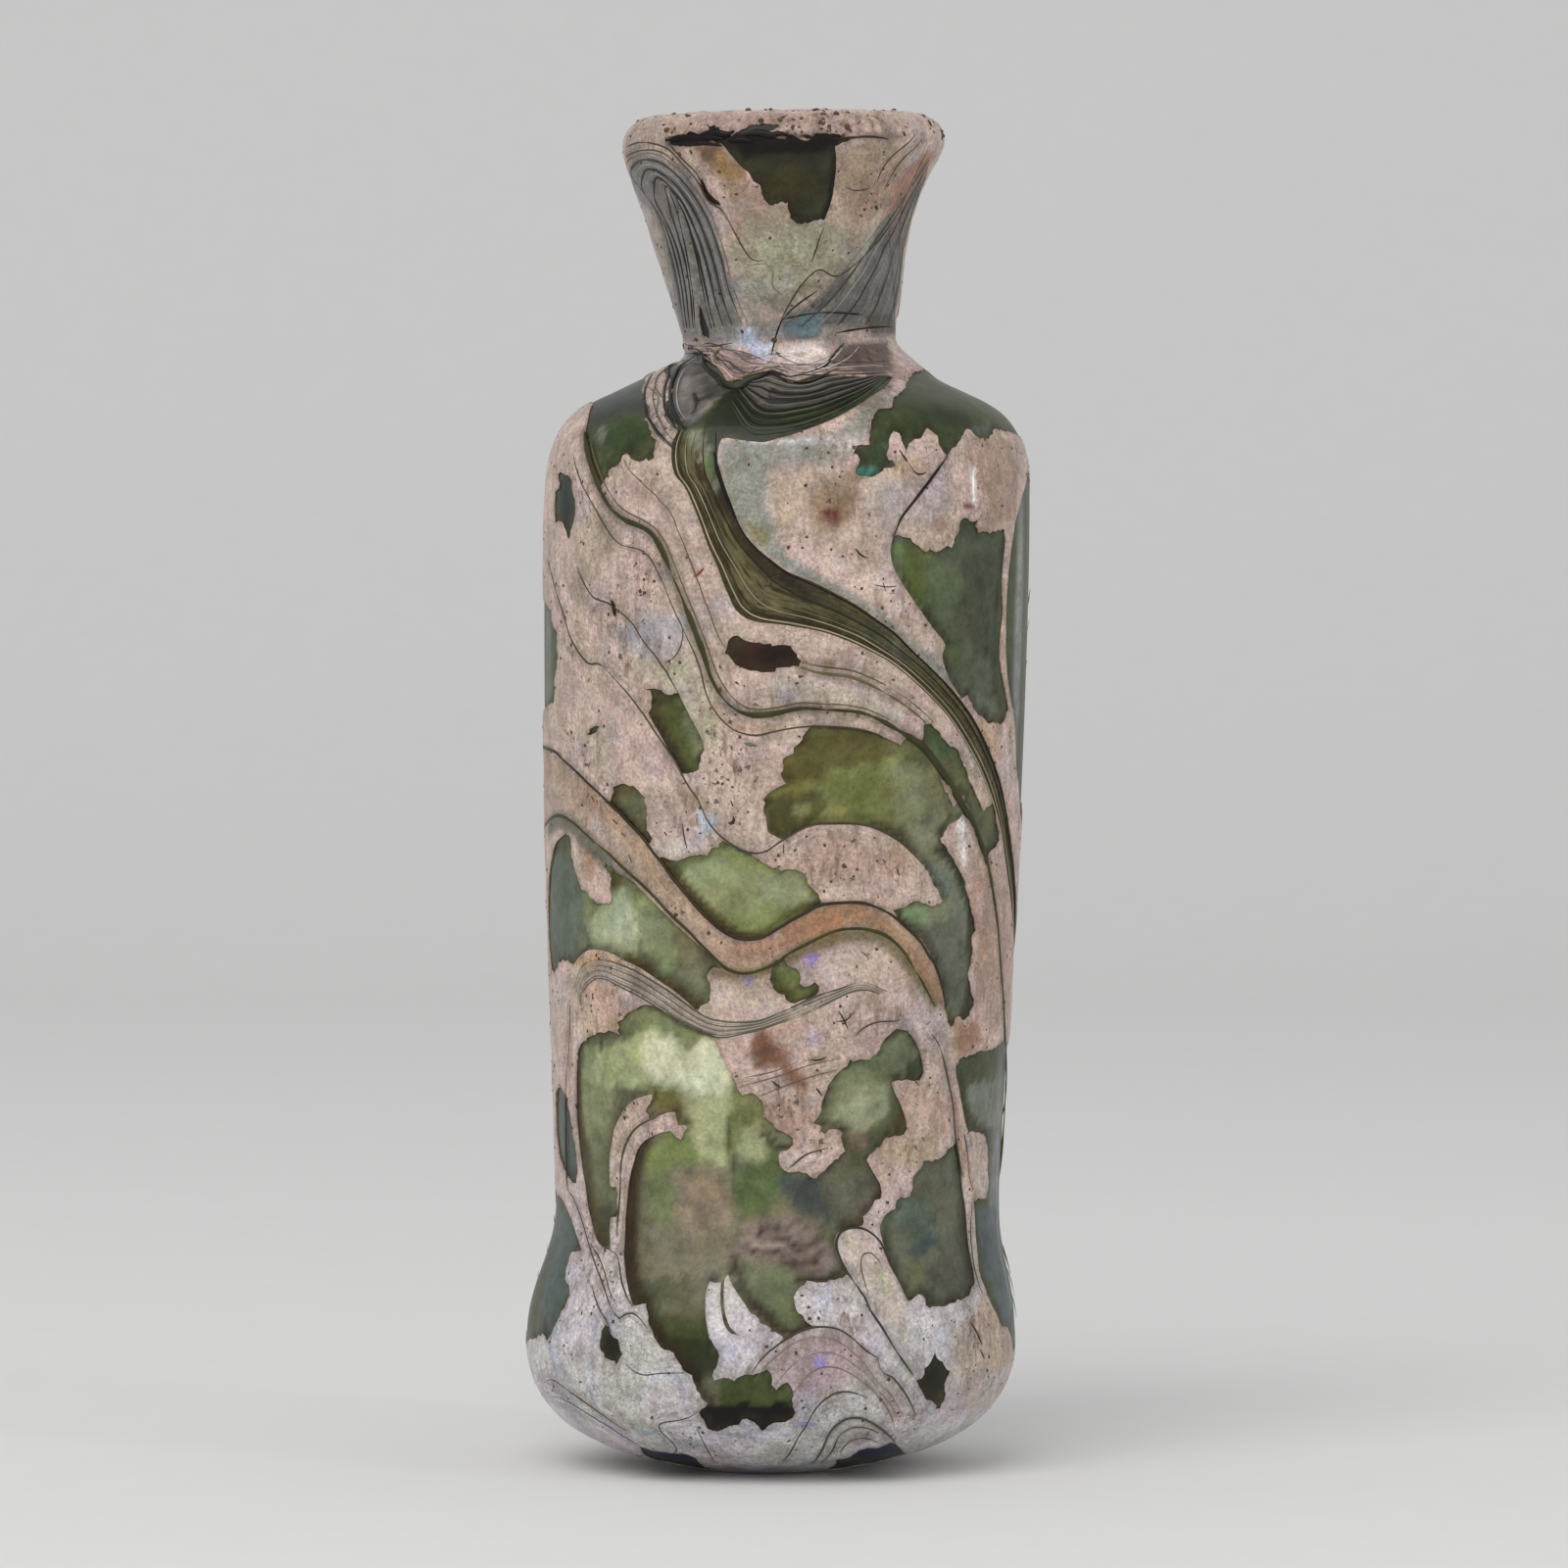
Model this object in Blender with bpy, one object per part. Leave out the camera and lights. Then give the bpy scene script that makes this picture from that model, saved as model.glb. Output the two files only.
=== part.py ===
"""A free-blown glass medicine bottle, one hollow solid with walls of true thickness.

The body is a slightly tapering cylinder with a pinched waist, a swollen heel and a rounded bottom. A sloping
shoulder meets a funnel neck in a sharp crease, and the neck ends in a thick lip, folded in and flattened.
The bottle was blown by hand: its body leans to +X, its neck leans back, and its crease and lip are out of level.
Metres, +Z up. It stands on its foot ring at z = 0, and the origin is under the middle of its bounding box.
"""

import math

import bmesh
import bpy
from mathutils import Matrix, Vector
from mathutils.geometry import interpolate_bezier

# Foot: a flat resting ring around a shallow kick, pushed up into the bottom.
FOOT_RADIUS = 0.0080
FOOT_RING_WIDTH = 0.0024
FOOT_RISE_DEG = 13.0
KICK_HEIGHT = 0.0018
KICK_EDGE_DEG = -35.0

# Body, from the bottom up: heel, waist, shoulder.
HEEL_RADIUS = 0.0219
HEEL_RISE = 0.0118
WAIST_RADIUS = 0.0199
WAIST_RISE = 0.0117
SHOULDER_RADIUS = 0.0217
SHOULDER_RISE = 0.0600
SHOULDER_TURN_INSET = 0.0039
SHOULDER_TURN_RISE = 0.0111
SHOULDER_SLOPE_DEG = 28.0
SHOULDER_SLOPE_RISE = 0.0057
CREASE_ENTRY_DEG = 48.0

# Neck: a funnel that starts at a crease on the shoulder.
NECK_BASE_RADIUS = 0.0094
NECK_RISE = 0.0160
CREASE_DEPTH = 0.0008
NECK_START_DEG = 14.0
NECK_FLARE_DEG = 25.0

# Lip: where the flare ends, its widest line, its flat top and the mouth inside it.
FLARE_RADIUS = 0.0140
LIP_OVERHANG = 0.0003
LIP_RISE = 0.0012
LIP_CROWN_RISE = 0.0025
LIP_CROWN_WIDTH = 0.0024
LIP_CROWN_DEG = 12.0
LIP_LAND_WIDTH = 0.0010
MOUTH_EDGE_WIDTH = 0.0005

# Heights above the foot, each stretch standing on the one below it.
HEEL_HEIGHT = HEEL_RISE
WAIST_HEIGHT = HEEL_HEIGHT + WAIST_RISE
SHOULDER_HEIGHT = WAIST_HEIGHT + SHOULDER_RISE
SHOULDER_TURN_HEIGHT = SHOULDER_HEIGHT + SHOULDER_TURN_RISE
NECK_BASE_HEIGHT = SHOULDER_TURN_HEIGHT + SHOULDER_SLOPE_RISE
FLARE_HEIGHT = NECK_BASE_HEIGHT + NECK_RISE
LIP_HEIGHT = FLARE_HEIGHT + LIP_RISE
TOP_HEIGHT = LIP_HEIGHT + LIP_CROWN_RISE

# Radii of the lip, from its widest line to the mouth.
LIP_RADIUS = FLARE_RADIUS + LIP_OVERHANG
LIP_LAND_RADIUS = LIP_RADIUS - LIP_CROWN_WIDTH
LIP_LAND_INSIDE = LIP_LAND_RADIUS - LIP_LAND_WIDTH
MOUTH_RADIUS = LIP_LAND_INSIDE - MOUTH_EDGE_WIDTH

# Walls.
BODY_WALL = 0.0022
NECK_WALL = 0.0020
BASE_THICKNESS = 0.0040
HEEL_WALL = 0.0030
FLOOR_EDGE_DEG = 45.0

# What the blower left out of true. Lean moves a ring sideways, tilt raises its +X side.
WAIST_SHIFT = 0.00045
BODY_LEAN_DEG = 0.82
NECK_LEAN_DEG = -6.0
NECK_LEAN_REACH = 0.0092
LIP_SHIFT = 0.0004
CREASE_TILT_DEG = 5.0
CREASE_TILT_REACH = 0.0035
LIP_TILT_DEG = 0.8

# How long each curve keeps the heading it starts with and the one it ends with, as shares of its length.
EVEN_PULLS = (0.4, 0.4)
HEEL_PULLS = (0.34, 0.48)
BODY_PULLS = (0.16, 0.5)
SHOULDER_PULLS = (0.42, 0.36)
SLOPE_PULLS = (0.3, 0.3)
LIP_PULLS = (0.42, 0.42)
FLOOR_PULLS = (0.35, 0.35)

# Facets round the bottle, and along each curve of its profile.
SEGMENTS = 48
HEEL_STEPS = 10
BODY_STEPS = 6
SLOPE_STEPS = 4
FLARE_STEPS = 2
ROLL_STEPS = 4
MOUTH_STEPS = 3
OUTER_STEPS_PER_INNER_STEP = 2
WELD_DISTANCE = 1e-6
SHARP_ANGLE_DEG = 35.0

# Glass.
GLASS_COLOUR = (0.20, 0.26, 0.09, 1.0)
GLASS_ROUGHNESS = 0.22
GLASS_IOR = 1.50
GLASS_TRANSMISSION = 0.75


def clear_scene():
    """Removes the startup scene's objects."""
    for obj in list(bpy.data.objects):
        bpy.data.objects.remove(obj, do_unlink=True)


def at(radius, height):
    """A point of the profile, in the XZ plane."""
    return Vector((radius, 0.0, height))


def heading(degrees):
    """A direction in the profile's plane: 0 points outwards, 90 straight up, 180 inwards."""
    angle = math.radians(degrees)
    return Vector((math.cos(angle), 0.0, math.sin(angle)))


def curve(start, start_heading, end, end_heading, steps, pulls=EVEN_PULLS):
    """Points of a smooth curve that leaves start and reaches end in the given headings."""
    span = (end - start).length
    start_handle = start + heading(start_heading) * span * pulls[0]
    end_handle = end - heading(end_heading) * span * pulls[1]
    return interpolate_bezier(start, start_handle, end_handle, end, steps + 1)


def joined(*runs):
    """One line of points from several that meet end to end."""
    line = list(runs[0])
    for run in runs[1:]:
        line.extend(run[1:] if (run[0] - line[-1]).length < WELD_DISTANCE else run)
    return line


def outer_body():
    """The outer profile from the foot ring up to the crease under the neck."""
    foot = at(FOOT_RADIUS, 0.0)
    heel = at(HEEL_RADIUS, HEEL_HEIGHT)
    waist = at(WAIST_RADIUS, WAIST_HEIGHT)
    shoulder = at(SHOULDER_RADIUS, SHOULDER_HEIGHT)
    turn = at(SHOULDER_RADIUS - SHOULDER_TURN_INSET, SHOULDER_TURN_HEIGHT)
    slope = 180.0 - SHOULDER_SLOPE_DEG
    crease = at(NECK_BASE_RADIUS, NECK_BASE_HEIGHT - CREASE_DEPTH)
    return joined(
        curve(foot, FOOT_RISE_DEG, heel, 90.0, HEEL_STEPS, HEEL_PULLS),
        curve(heel, 90.0, waist, 90.0, BODY_STEPS),
        curve(waist, 90.0, shoulder, 90.0, BODY_STEPS, BODY_PULLS),
        curve(shoulder, 90.0, turn, slope, BODY_STEPS, SHOULDER_PULLS),
        curve(turn, slope, crease, 180.0 - CREASE_ENTRY_DEG, SLOPE_STEPS, SLOPE_PULLS),
    )


def outer_neck():
    """The outer profile from the crease up to the widest line of the lip."""
    foot_of_neck = at(NECK_BASE_RADIUS, NECK_BASE_HEIGHT)
    flare = at(FLARE_RADIUS, FLARE_HEIGHT)
    lip = at(LIP_RADIUS, LIP_HEIGHT)
    return joined(
        curve(foot_of_neck, 90.0 - NECK_START_DEG, flare, 90.0 - NECK_FLARE_DEG, BODY_STEPS),
        curve(flare, 90.0 - NECK_FLARE_DEG, lip, 90.0, FLARE_STEPS),
    )


def lip_top():
    """The lip from its widest line over the flat land and down into the mouth."""
    lip = at(LIP_RADIUS, LIP_HEIGHT)
    land_outside = at(LIP_LAND_RADIUS, TOP_HEIGHT)
    land_inside = at(LIP_LAND_INSIDE, TOP_HEIGHT)
    mouth = at(MOUTH_RADIUS, (LIP_HEIGHT + TOP_HEIGHT) / 2)
    return joined(
        curve(lip, 90.0, land_outside, 180.0 - LIP_CROWN_DEG, ROLL_STEPS, LIP_PULLS),
        [land_inside],
        curve(land_inside, 180.0 + LIP_CROWN_DEG, mouth, 270.0, MOUTH_STEPS),
    )


def wall_at(height):
    """Wall thickness at a height: thick in the heel, even in the body, and thinner in the neck."""
    if height < HEEL_HEIGHT:
        return HEEL_WALL
    if height < WAIST_HEIGHT:
        share = (height - HEEL_HEIGHT) / (WAIST_HEIGHT - HEEL_HEIGHT)
        return HEEL_WALL + (BODY_WALL - HEEL_WALL) * share
    if height < SHOULDER_HEIGHT:
        return BODY_WALL
    share = min(1.0, (height - SHOULDER_HEIGHT) / (NECK_BASE_HEIGHT - SHOULDER_HEIGHT))
    return BODY_WALL + (NECK_WALL - BODY_WALL) * share


def offset_inwards(line):
    """The line moved into the wall by its thickness, along the line's own normals."""
    moved = []
    for i, point in enumerate(line):
        ahead = line[min(i + 1, len(line) - 1)] - line[max(i - 1, 0)]
        inwards = Vector((-ahead.z, 0.0, ahead.x)).normalized()
        moved.append(point + inwards * wall_at(point.z))
    return moved


def inner_wall(body, neck):
    """The inner profile from the mouth down to the middle of the floor."""
    floor = at(0.0, KICK_HEIGHT + BASE_THICKNESS)
    neck_inside = [p for p in offset_inwards(neck) if NECK_BASE_HEIGHT < p.z < LIP_HEIGHT - NECK_WALL]
    body_inside = [p for p in offset_inwards(body) if floor.z < p.z < NECK_BASE_HEIGHT]
    coarser = slice(None, None, OUTER_STEPS_PER_INNER_STEP)
    down = list(reversed(body_inside[coarser] + neck_inside[coarser]))
    return joined(down, curve(down[-1], 180.0 + FLOOR_EDGE_DEG, floor, 180.0, ROLL_STEPS, FLOOR_PULLS))


def underside():
    """The bottom from the middle of the kick out to the edge of the resting ring."""
    kick = at(0.0, KICK_HEIGHT)
    ring_inside = at(FOOT_RADIUS - FOOT_RING_WIDTH, 0.0)
    ring_outside = at(FOOT_RADIUS, 0.0)
    return joined(curve(kick, 0.0, ring_inside, KICK_EDGE_DEG, ROLL_STEPS), [ring_outside])


def smoothstep(low, high, value):
    """0 below low, 1 above high, and an even S in between."""
    share = min(1.0, max(0.0, (value - low) / (high - low)))
    return share * share * (3.0 - 2.0 * share)


def lean_at(height):
    """How far the ring at this height has moved to +X."""
    waist = WAIST_SHIFT * smoothstep(HEEL_HEIGHT, WAIST_HEIGHT, height)
    in_body = max(0.0, min(height, NECK_BASE_HEIGHT) - HEEL_HEIGHT)
    in_neck = min(NECK_LEAN_REACH, max(0.0, height - NECK_BASE_HEIGHT))
    body = math.tan(math.radians(BODY_LEAN_DEG)) * in_body
    neck = math.tan(math.radians(NECK_LEAN_DEG)) * in_neck
    lip = LIP_SHIFT * smoothstep(FLARE_HEIGHT - NECK_WALL, LIP_HEIGHT, height)
    return waist + body + neck + lip


def tilt_at(height):
    """Slope of the ring at this height, raised on +X: most at the crease, little at the lip."""
    away = abs(height - NECK_BASE_HEIGHT) / CREASE_TILT_REACH
    crease = math.tan(math.radians(CREASE_TILT_DEG)) * (1.0 - smoothstep(0.0, 1.0, away))
    lip = math.tan(math.radians(LIP_TILT_DEG)) * smoothstep(NECK_BASE_HEIGHT, LIP_HEIGHT, height)
    return crease + lip


def blown_out_of_true(point):
    """Where a point of the true turned shape lies on the hand-blown one."""
    return Vector((point.x + lean_at(point.z), point.y, point.z + point.x * tilt_at(point.z)))


def glass_material():
    """Olive-green glass, dulled by burial."""
    material = bpy.data.materials.new("olive_glass")
    material.use_nodes = True
    shader = material.node_tree.nodes["Principled BSDF"]
    shader.inputs["Base Color"].default_value = GLASS_COLOUR
    shader.inputs["Metallic"].default_value = 0.0
    shader.inputs["Roughness"].default_value = GLASS_ROUGHNESS
    shader.inputs["IOR"].default_value = GLASS_IOR
    shader.inputs["Transmission Weight"].default_value = GLASS_TRANSMISSION
    return material


def turned(profile):
    """A bmesh of the profile turned once round the Z axis."""
    mesh = bmesh.new()
    points = [mesh.verts.new(p) for p in profile]
    edges = [mesh.edges.new(pair) for pair in zip(points, points[1:])]
    bmesh.ops.spin(
        mesh,
        geom=points + edges,
        cent=(0.0, 0.0, 0.0),
        axis=(0.0, 0.0, 1.0),
        angle=math.tau,
        steps=SEGMENTS,
        use_merge=True,
    )
    bmesh.ops.remove_doubles(mesh, verts=mesh.verts, dist=WELD_DISTANCE)
    bmesh.ops.recalc_face_normals(mesh, faces=mesh.faces)
    return mesh


def centred_in_plan(mesh):
    """Moves the mesh so that the Z axis runs through the middle of its box."""
    across = [v.co.x for v in mesh.verts]
    deep = [v.co.y for v in mesh.verts]
    middle = Vector(((min(across) + max(across)) / 2, (min(deep) + max(deep)) / 2, 0.0))
    bmesh.ops.transform(mesh, matrix=Matrix.Translation(-middle), verts=mesh.verts)


def make_bottle():
    """The bottle, one closed solid: underside, outer wall, lip, inner wall and floor."""
    body = outer_body()
    neck = outer_neck()
    profile = joined(underside(), body, neck, lip_top(), inner_wall(body, neck))
    mesh = turned(profile)
    for vert in mesh.verts:
        vert.co = blown_out_of_true(vert.co)
    centred_in_plan(mesh)
    data = bpy.data.meshes.new("bottle")
    mesh.to_mesh(data)
    mesh.free()
    data.shade_smooth()
    data.set_sharp_from_angle(angle=math.radians(SHARP_ANGLE_DEG))
    data.materials.append(glass_material())
    bottle = bpy.data.objects.new("bottle", data)
    bpy.context.scene.collection.objects.link(bottle)
    return bottle


clear_scene()
make_bottle()
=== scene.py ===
"""Looks of a free-blown glass medicine bottle that burial has weathered.

The bottle stands on its foot with +Z up through the neck, and the side that the camera sees faces -Y. Under
its weathering crust it is clear olive-green glass, which shows where the crust has flaked away.

All lengths here are in millimetres, and MM turns them to metres where a mesh is made. A place on the wall is
given either as x and z in the picture plane, which goes through the bottle's axis and faces the camera, or as
an azimuth in degrees round the bottle (0 faces the camera, 90 is its right side) and a height.
"""

import logging
import math
from collections import Counter
from collections.abc import Iterable, Sequence
from dataclasses import dataclass, field
from enum import Enum

import bpy
import numpy as np
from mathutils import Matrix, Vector, noise
from mathutils.bvhtree import BVHTree
from mathutils.geometry import delaunay_2d_cdt
from mathutils.kdtree import KDTree


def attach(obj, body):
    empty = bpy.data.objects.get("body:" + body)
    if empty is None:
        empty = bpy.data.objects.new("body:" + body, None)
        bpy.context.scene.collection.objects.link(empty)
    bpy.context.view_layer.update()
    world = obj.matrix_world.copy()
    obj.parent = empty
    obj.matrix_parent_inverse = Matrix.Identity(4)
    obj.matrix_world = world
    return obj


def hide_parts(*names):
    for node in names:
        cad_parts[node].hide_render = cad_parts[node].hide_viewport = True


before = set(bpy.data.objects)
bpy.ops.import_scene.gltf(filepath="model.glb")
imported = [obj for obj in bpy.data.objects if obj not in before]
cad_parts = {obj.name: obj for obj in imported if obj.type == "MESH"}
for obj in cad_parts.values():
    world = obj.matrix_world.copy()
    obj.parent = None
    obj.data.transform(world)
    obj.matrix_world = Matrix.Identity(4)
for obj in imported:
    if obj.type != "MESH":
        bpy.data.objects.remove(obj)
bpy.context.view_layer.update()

LOG = logging.getLogger("bottle")
MM = 0.001
UNROLL_RADIUS = 20.0
BODY = "root"
NODE = "bottle"
SEED = 7138

# How far the clear glass, its film and the crust's inner face lie below the outside of the CAD solid.
GLASS_DEPTH = 0.20
FILM_DEPTH = 0.17
CRUST_SEAT = 0.14

Pair = tuple[float, float]
Triangle = tuple[int, int, int]
Socket = bpy.types.NodeSocket
Tree = bpy.types.NodeTree
Values = dict[str | int, object]
Thread = tuple[np.ndarray, float, str, float]

# How the colour-mixing and number nodes are set, and the stretch of patterns that run up the bottle.
MIX_COLOURS = {"data_type": "RGBA"}
MULTIPLY = {"operation": "MULTIPLY"}
SCALE = {"operation": "SCALE"}
DRAWN_UPRIGHT = (1.0, 1.0, 0.35)


def linear(code: str) -> tuple[float, float, float, float]:
    """Turns an sRGB hex colour to linear light.

    Args:
        code: the colour, such as "#b7a196".

    Returns:
        Red, green, blue and an alpha of 1.
    """
    parts = [int(code[i : i + 2], 16) / 255 for i in (1, 3, 5)]
    light = [p / 12.92 if p <= 0.04045 else ((p + 0.055) / 1.055) ** 2.4 for p in parts]
    return (*light, 1.0)


def add(
    tree: Tree,
    kind: str,
    settings: Values | None = None,
    inputs: Values | None = None,
) -> bpy.types.Node:
    """Adds a node with its settings and links.

    Args:
        tree: the node tree.
        kind: the node's type name.
        settings: values of the node's own properties.
        inputs: by socket name or number, a value or the socket of another node to link.

    Returns:
        The new node.
    """
    node = tree.nodes.new(kind)
    for name, value in (settings or {}).items():
        setattr(node, name, value)
    for key, value in (inputs or {}).items():
        if isinstance(value, Socket):
            tree.links.new(value, node.inputs[key])
        else:
            node.inputs[key].default_value = value
    return node


def smooth_step(value: np.ndarray) -> np.ndarray:
    """Eases a value from 0 to 1 with no corner at either end."""
    held = np.clip(value, 0.0, 1.0)
    return held * held * (3 - 2 * held)


def path_lengths(line: np.ndarray) -> np.ndarray:
    """How far along a line each of its points lies."""
    return np.concatenate(([0.0], np.cumsum(np.linalg.norm(np.diff(line, axis=0), axis=1))))


def tube_faces(rows: int, columns: int) -> list[tuple[int, int, int, int]]:
    """Lists the faces of a tube whose points run round it, row by row.

    Args:
        rows: how many rows of points it has.
        columns: how many points there are in a row.

    Returns:
        The point numbers of each face.
    """
    sides = [(c, (c + 1) % columns) for c in range(columns)]
    starts = range(0, (rows - 1) * columns, columns)
    return [(s + a, s + b, s + columns + b, s + columns + a) for s in starts for a, b in sides]


@dataclass(frozen=True)
class Viewpoint:
    """Where the camera stands, which is also how places in the picture plane are read."""

    distance: float = 750.0
    across: float = 0.54
    height: float = 85.0
    pitch_degrees: float = -1.858
    lens: float = 193.5
    sensor: float = 36.0

    def eye(self) -> Vector:
        """The camera's place, in millimetres."""
        return Vector((self.across, -self.distance, self.height))

    def ray(self, x: float, z: float) -> Vector:
        """The direction from the eye to a place in the picture plane."""
        return (Vector((x, 0.0, z)) - self.eye()).normalized()

    def make_camera(self) -> bpy.types.Object:
        """Makes the camera and gives it to the scene.

        Returns:
            The camera object.
        """
        data = bpy.data.cameras.new("camera")
        data.lens = self.lens
        data.sensor_width = self.sensor
        data.clip_start = 0.01
        data.clip_end = 20.0
        camera = bpy.data.objects.new("camera", data)
        camera.location = self.eye() * MM
        camera.rotation_euler = (math.radians(90.0 + self.pitch_degrees), 0.0, 0.0)
        bpy.context.scene.collection.objects.link(camera)
        bpy.context.scene.camera = camera
        return camera


class Profile:
    """The wall's rings, read from the CAD solid and joined by a smooth curve.

    The path runs from the middle of the kick under the bottle, out round the heel, up the outside, over the
    lip and down the inside to the middle of the floor. Each ring has a centre, a height, a reach and a slope
    across it.
    """

    TOUCH = 1e-6
    CLIMB_STEPS = 2000
    NORMAL_STEP = 0.05

    def __init__(self, node: bpy.types.Object) -> None:
        """Reads the rings where the solid meets the plane y = 0.

        Args:
            node: the CAD node.
        """
        right, left = self._halves(node)
        width = right[:, 0] - left[:, 0]
        wide = width > self.TOUCH
        slope = np.zeros(len(width))
        slope[wide] = (right[wide, 1] - left[wide, 1]) / width[wide]
        slope[0], slope[-1] = slope[1], slope[-2]
        middle = (right + left) / 2
        self._rings = np.column_stack((middle, width / 2, slope))
        steps = np.hypot(np.diff(self._rings[:, 1]), np.diff(self._rings[:, 2]))
        self._path = np.concatenate(([0.0], np.cumsum(steps)))
        gaps = np.diff(self._path)[:, None]
        rates = np.diff(self._rings, axis=0) / gaps
        inner = (rates[1:] * gaps[:-1] + rates[:-1] * gaps[1:]) / (gaps[1:] + gaps[:-1])
        self._tangents = np.vstack((rates[:1], inner, rates[-1:]))
        self.length = float(self._path[-1])
        crown = int(np.argmax(self._rings[:, 1]))
        foot = int(np.argmin(self._rings[:crown, 1]))
        self.crown = float(self._path[crown])
        self.foot = float(self._path[foot])
        self._climb = np.linspace(self.foot, self.crown, self.CLIMB_STEPS)
        self._climb_heights = np.maximum.accumulate(self.rings(self._climb)[:, 1])

    @classmethod
    def _halves(cls, node: bpy.types.Object) -> tuple[np.ndarray, np.ndarray]:
        """Walks the section from pole to pole on both sides.

        Args:
            node: the CAD node.

        Returns:
            The x and z of each ring on its right and its left side, in millimetres.
        """
        places = np.array([v.co for v in node.data.vertices], float) / MM
        keys: dict[tuple[int, ...], int] = {}
        index = [keys.setdefault(tuple(np.round(p / cls.TOUCH / 100).astype(int)), len(keys)) for p in places]
        merged = np.zeros((len(keys), 3))
        merged[index] = places
        flat = np.abs(merged[:, 1]) < 1e-3
        near: dict[int, set[int]] = {}
        links: dict[int, int] = {}
        for edge in {tuple(sorted((index[a], index[b]))) for a, b in (e.vertices for e in node.data.edges)}:
            for a, b in (edge, edge[::-1]):
                links[a] = links.get(a, 0) + 1
                if a != b and flat[a] and flat[b]:
                    near.setdefault(a, set()).add(b)
        poles = sorted(sorted(near, key=lambda v: -links[v])[:2], key=lambda v: merged[v, 2])
        sides = []
        for first in sorted(near[poles[0]], key=lambda v: -merged[v, 0]):
            walk = [poles[0], first]
            while walk[-1] != poles[1]:
                walk.append(next(v for v in near[walk[-1]] if v != walk[-2]))
            sides.append(merged[walk][:, [0, 2]])
        return sides[0], sides[1]

    def rings(self, path: np.ndarray) -> np.ndarray:
        """Reads rings anywhere along the path.

        Args:
            path: places along the path.

        Returns:
            One row for each: centre x, height, reach and slope.
        """
        path = np.clip(np.atleast_1d(path), 0.0, self.length)
        i = np.clip(np.searchsorted(self._path, path, side="right") - 1, 0, len(self._path) - 2)
        gap = (self._path[i + 1] - self._path[i])[:, None]
        t = (path - self._path[i])[:, None] / gap
        return (
            (2 * t**3 - 3 * t**2 + 1) * self._rings[i]
            + (t**3 - 2 * t**2 + t) * gap * self._tangents[i]
            + (3 * t**2 - 2 * t**3) * self._rings[i + 1]
            + (t**3 - t**2) * gap * self._tangents[i + 1]
        )

    def normals(self, path: np.ndarray, azimuth: np.ndarray) -> np.ndarray:
        """The directions that face out of the glass.

        Args:
            path: places along the path.
            azimuth: azimuths in radians.

        Returns:
            One unit vector for each place.
        """
        ahead, behind = self.rings(path + self.NORMAL_STEP), self.rings(path - self.NORMAL_STEP)
        reach, rise = (ahead - behind)[:, 2], (ahead - behind)[:, 1]
        size = np.hypot(reach, rise) + 1e-12
        out, up = rise / size, -reach / size
        return np.column_stack((out * np.sin(azimuth), -out * np.cos(azimuth), up))

    def place(self, path: np.ndarray, azimuth: np.ndarray, lift: np.ndarray | float = 0.0) -> np.ndarray:
        """Places on the wall, in millimetres.

        Args:
            path: places along the path.
            azimuth: azimuths in radians.
            lift: how far each place stands out from the wall.

        Returns:
            One point for each place.
        """
        ring = self.rings(path)
        across = ring[:, 2] * np.sin(azimuth)
        points = np.column_stack(
            (ring[:, 0] + across, -ring[:, 2] * np.cos(azimuth), ring[:, 1] + across * ring[:, 3])
        )
        return points + self.normals(path, azimuth) * np.reshape(lift, (-1, 1))

    def climb(self, height: float) -> float:
        """The place along the path where the outside has this height."""
        return float(np.interp(height, self._climb_heights, self._climb))

    def locate(self, point: Sequence[float]) -> Pair:
        """Finds the azimuth and the place along the path of a point on the outside.

        Args:
            point: the point, in millimetres.

        Returns:
            The azimuth in radians and the place along the path.
        """
        height = point[2]
        for _ in range(3):
            path = self.climb(height)
            centre, _, _, slope = self.rings(path)[0]
            height = point[2] - (point[0] - centre) * slope
        return math.atan2(point[0] - centre, -point[1]), self.climb(height)


class Skin:
    """The outside of the wall, unrolled flat: x is the azimuth times UNROLL_RADIUS, and y the path."""

    COLUMNS = 240
    ROWS = 420
    LOWEST = 0.6

    def __init__(self, profile: Profile, view: Viewpoint) -> None:
        """Makes a fine copy of the outside for the camera's rays to meet.

        Args:
            profile: the wall.
            view: where the camera stands.
        """
        self.profile = profile
        self.view = view
        azimuth = np.linspace(-math.pi, math.pi, self.COLUMNS, endpoint=False)
        path = np.linspace(profile.foot * self.LOWEST, profile.crown, self.ROWS)
        points = profile.place(np.repeat(path, self.COLUMNS), np.tile(azimuth, self.ROWS))
        self._form = BVHTree.FromPolygons([Vector(p) for p in points], tube_faces(self.ROWS, self.COLUMNS))

    def from_picture(self, place: Pair) -> Pair:
        """Finds where the camera sees a place of the picture plane on the wall.

        Args:
            place: x and z in the picture plane.

        Returns:
            The place on the unrolled wall.
        """
        hit = self._form.ray_cast(self.view.eye(), self.view.ray(*place))[0]
        if hit is None:
            hit = self._form.find_nearest(Vector((place[0], 0.0, place[1])))[0]
        azimuth, path = self.profile.locate(hit)
        return azimuth * UNROLL_RADIUS, path

    def from_round(self, place: Pair) -> Pair:
        """Unrolls a place given by its azimuth in degrees and its height."""
        return math.radians(place[0]) * UNROLL_RADIUS, self.profile.climb(place[1])

    def place(self, flat: np.ndarray, lift: np.ndarray | float = 0.0) -> np.ndarray:
        """Rolls flat places up again.

        Args:
            flat: one row of x and y for each place.
            lift: how far each place stands out from the wall.

        Returns:
            Points in millimetres.
        """
        return self.profile.place(flat[:, 1], flat[:, 0] / UNROLL_RADIUS, lift)


class Edge(Enum):
    """How the crust ends along a stretch of an outline."""

    FLAKED = "F"
    FLOW = "S"


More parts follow.
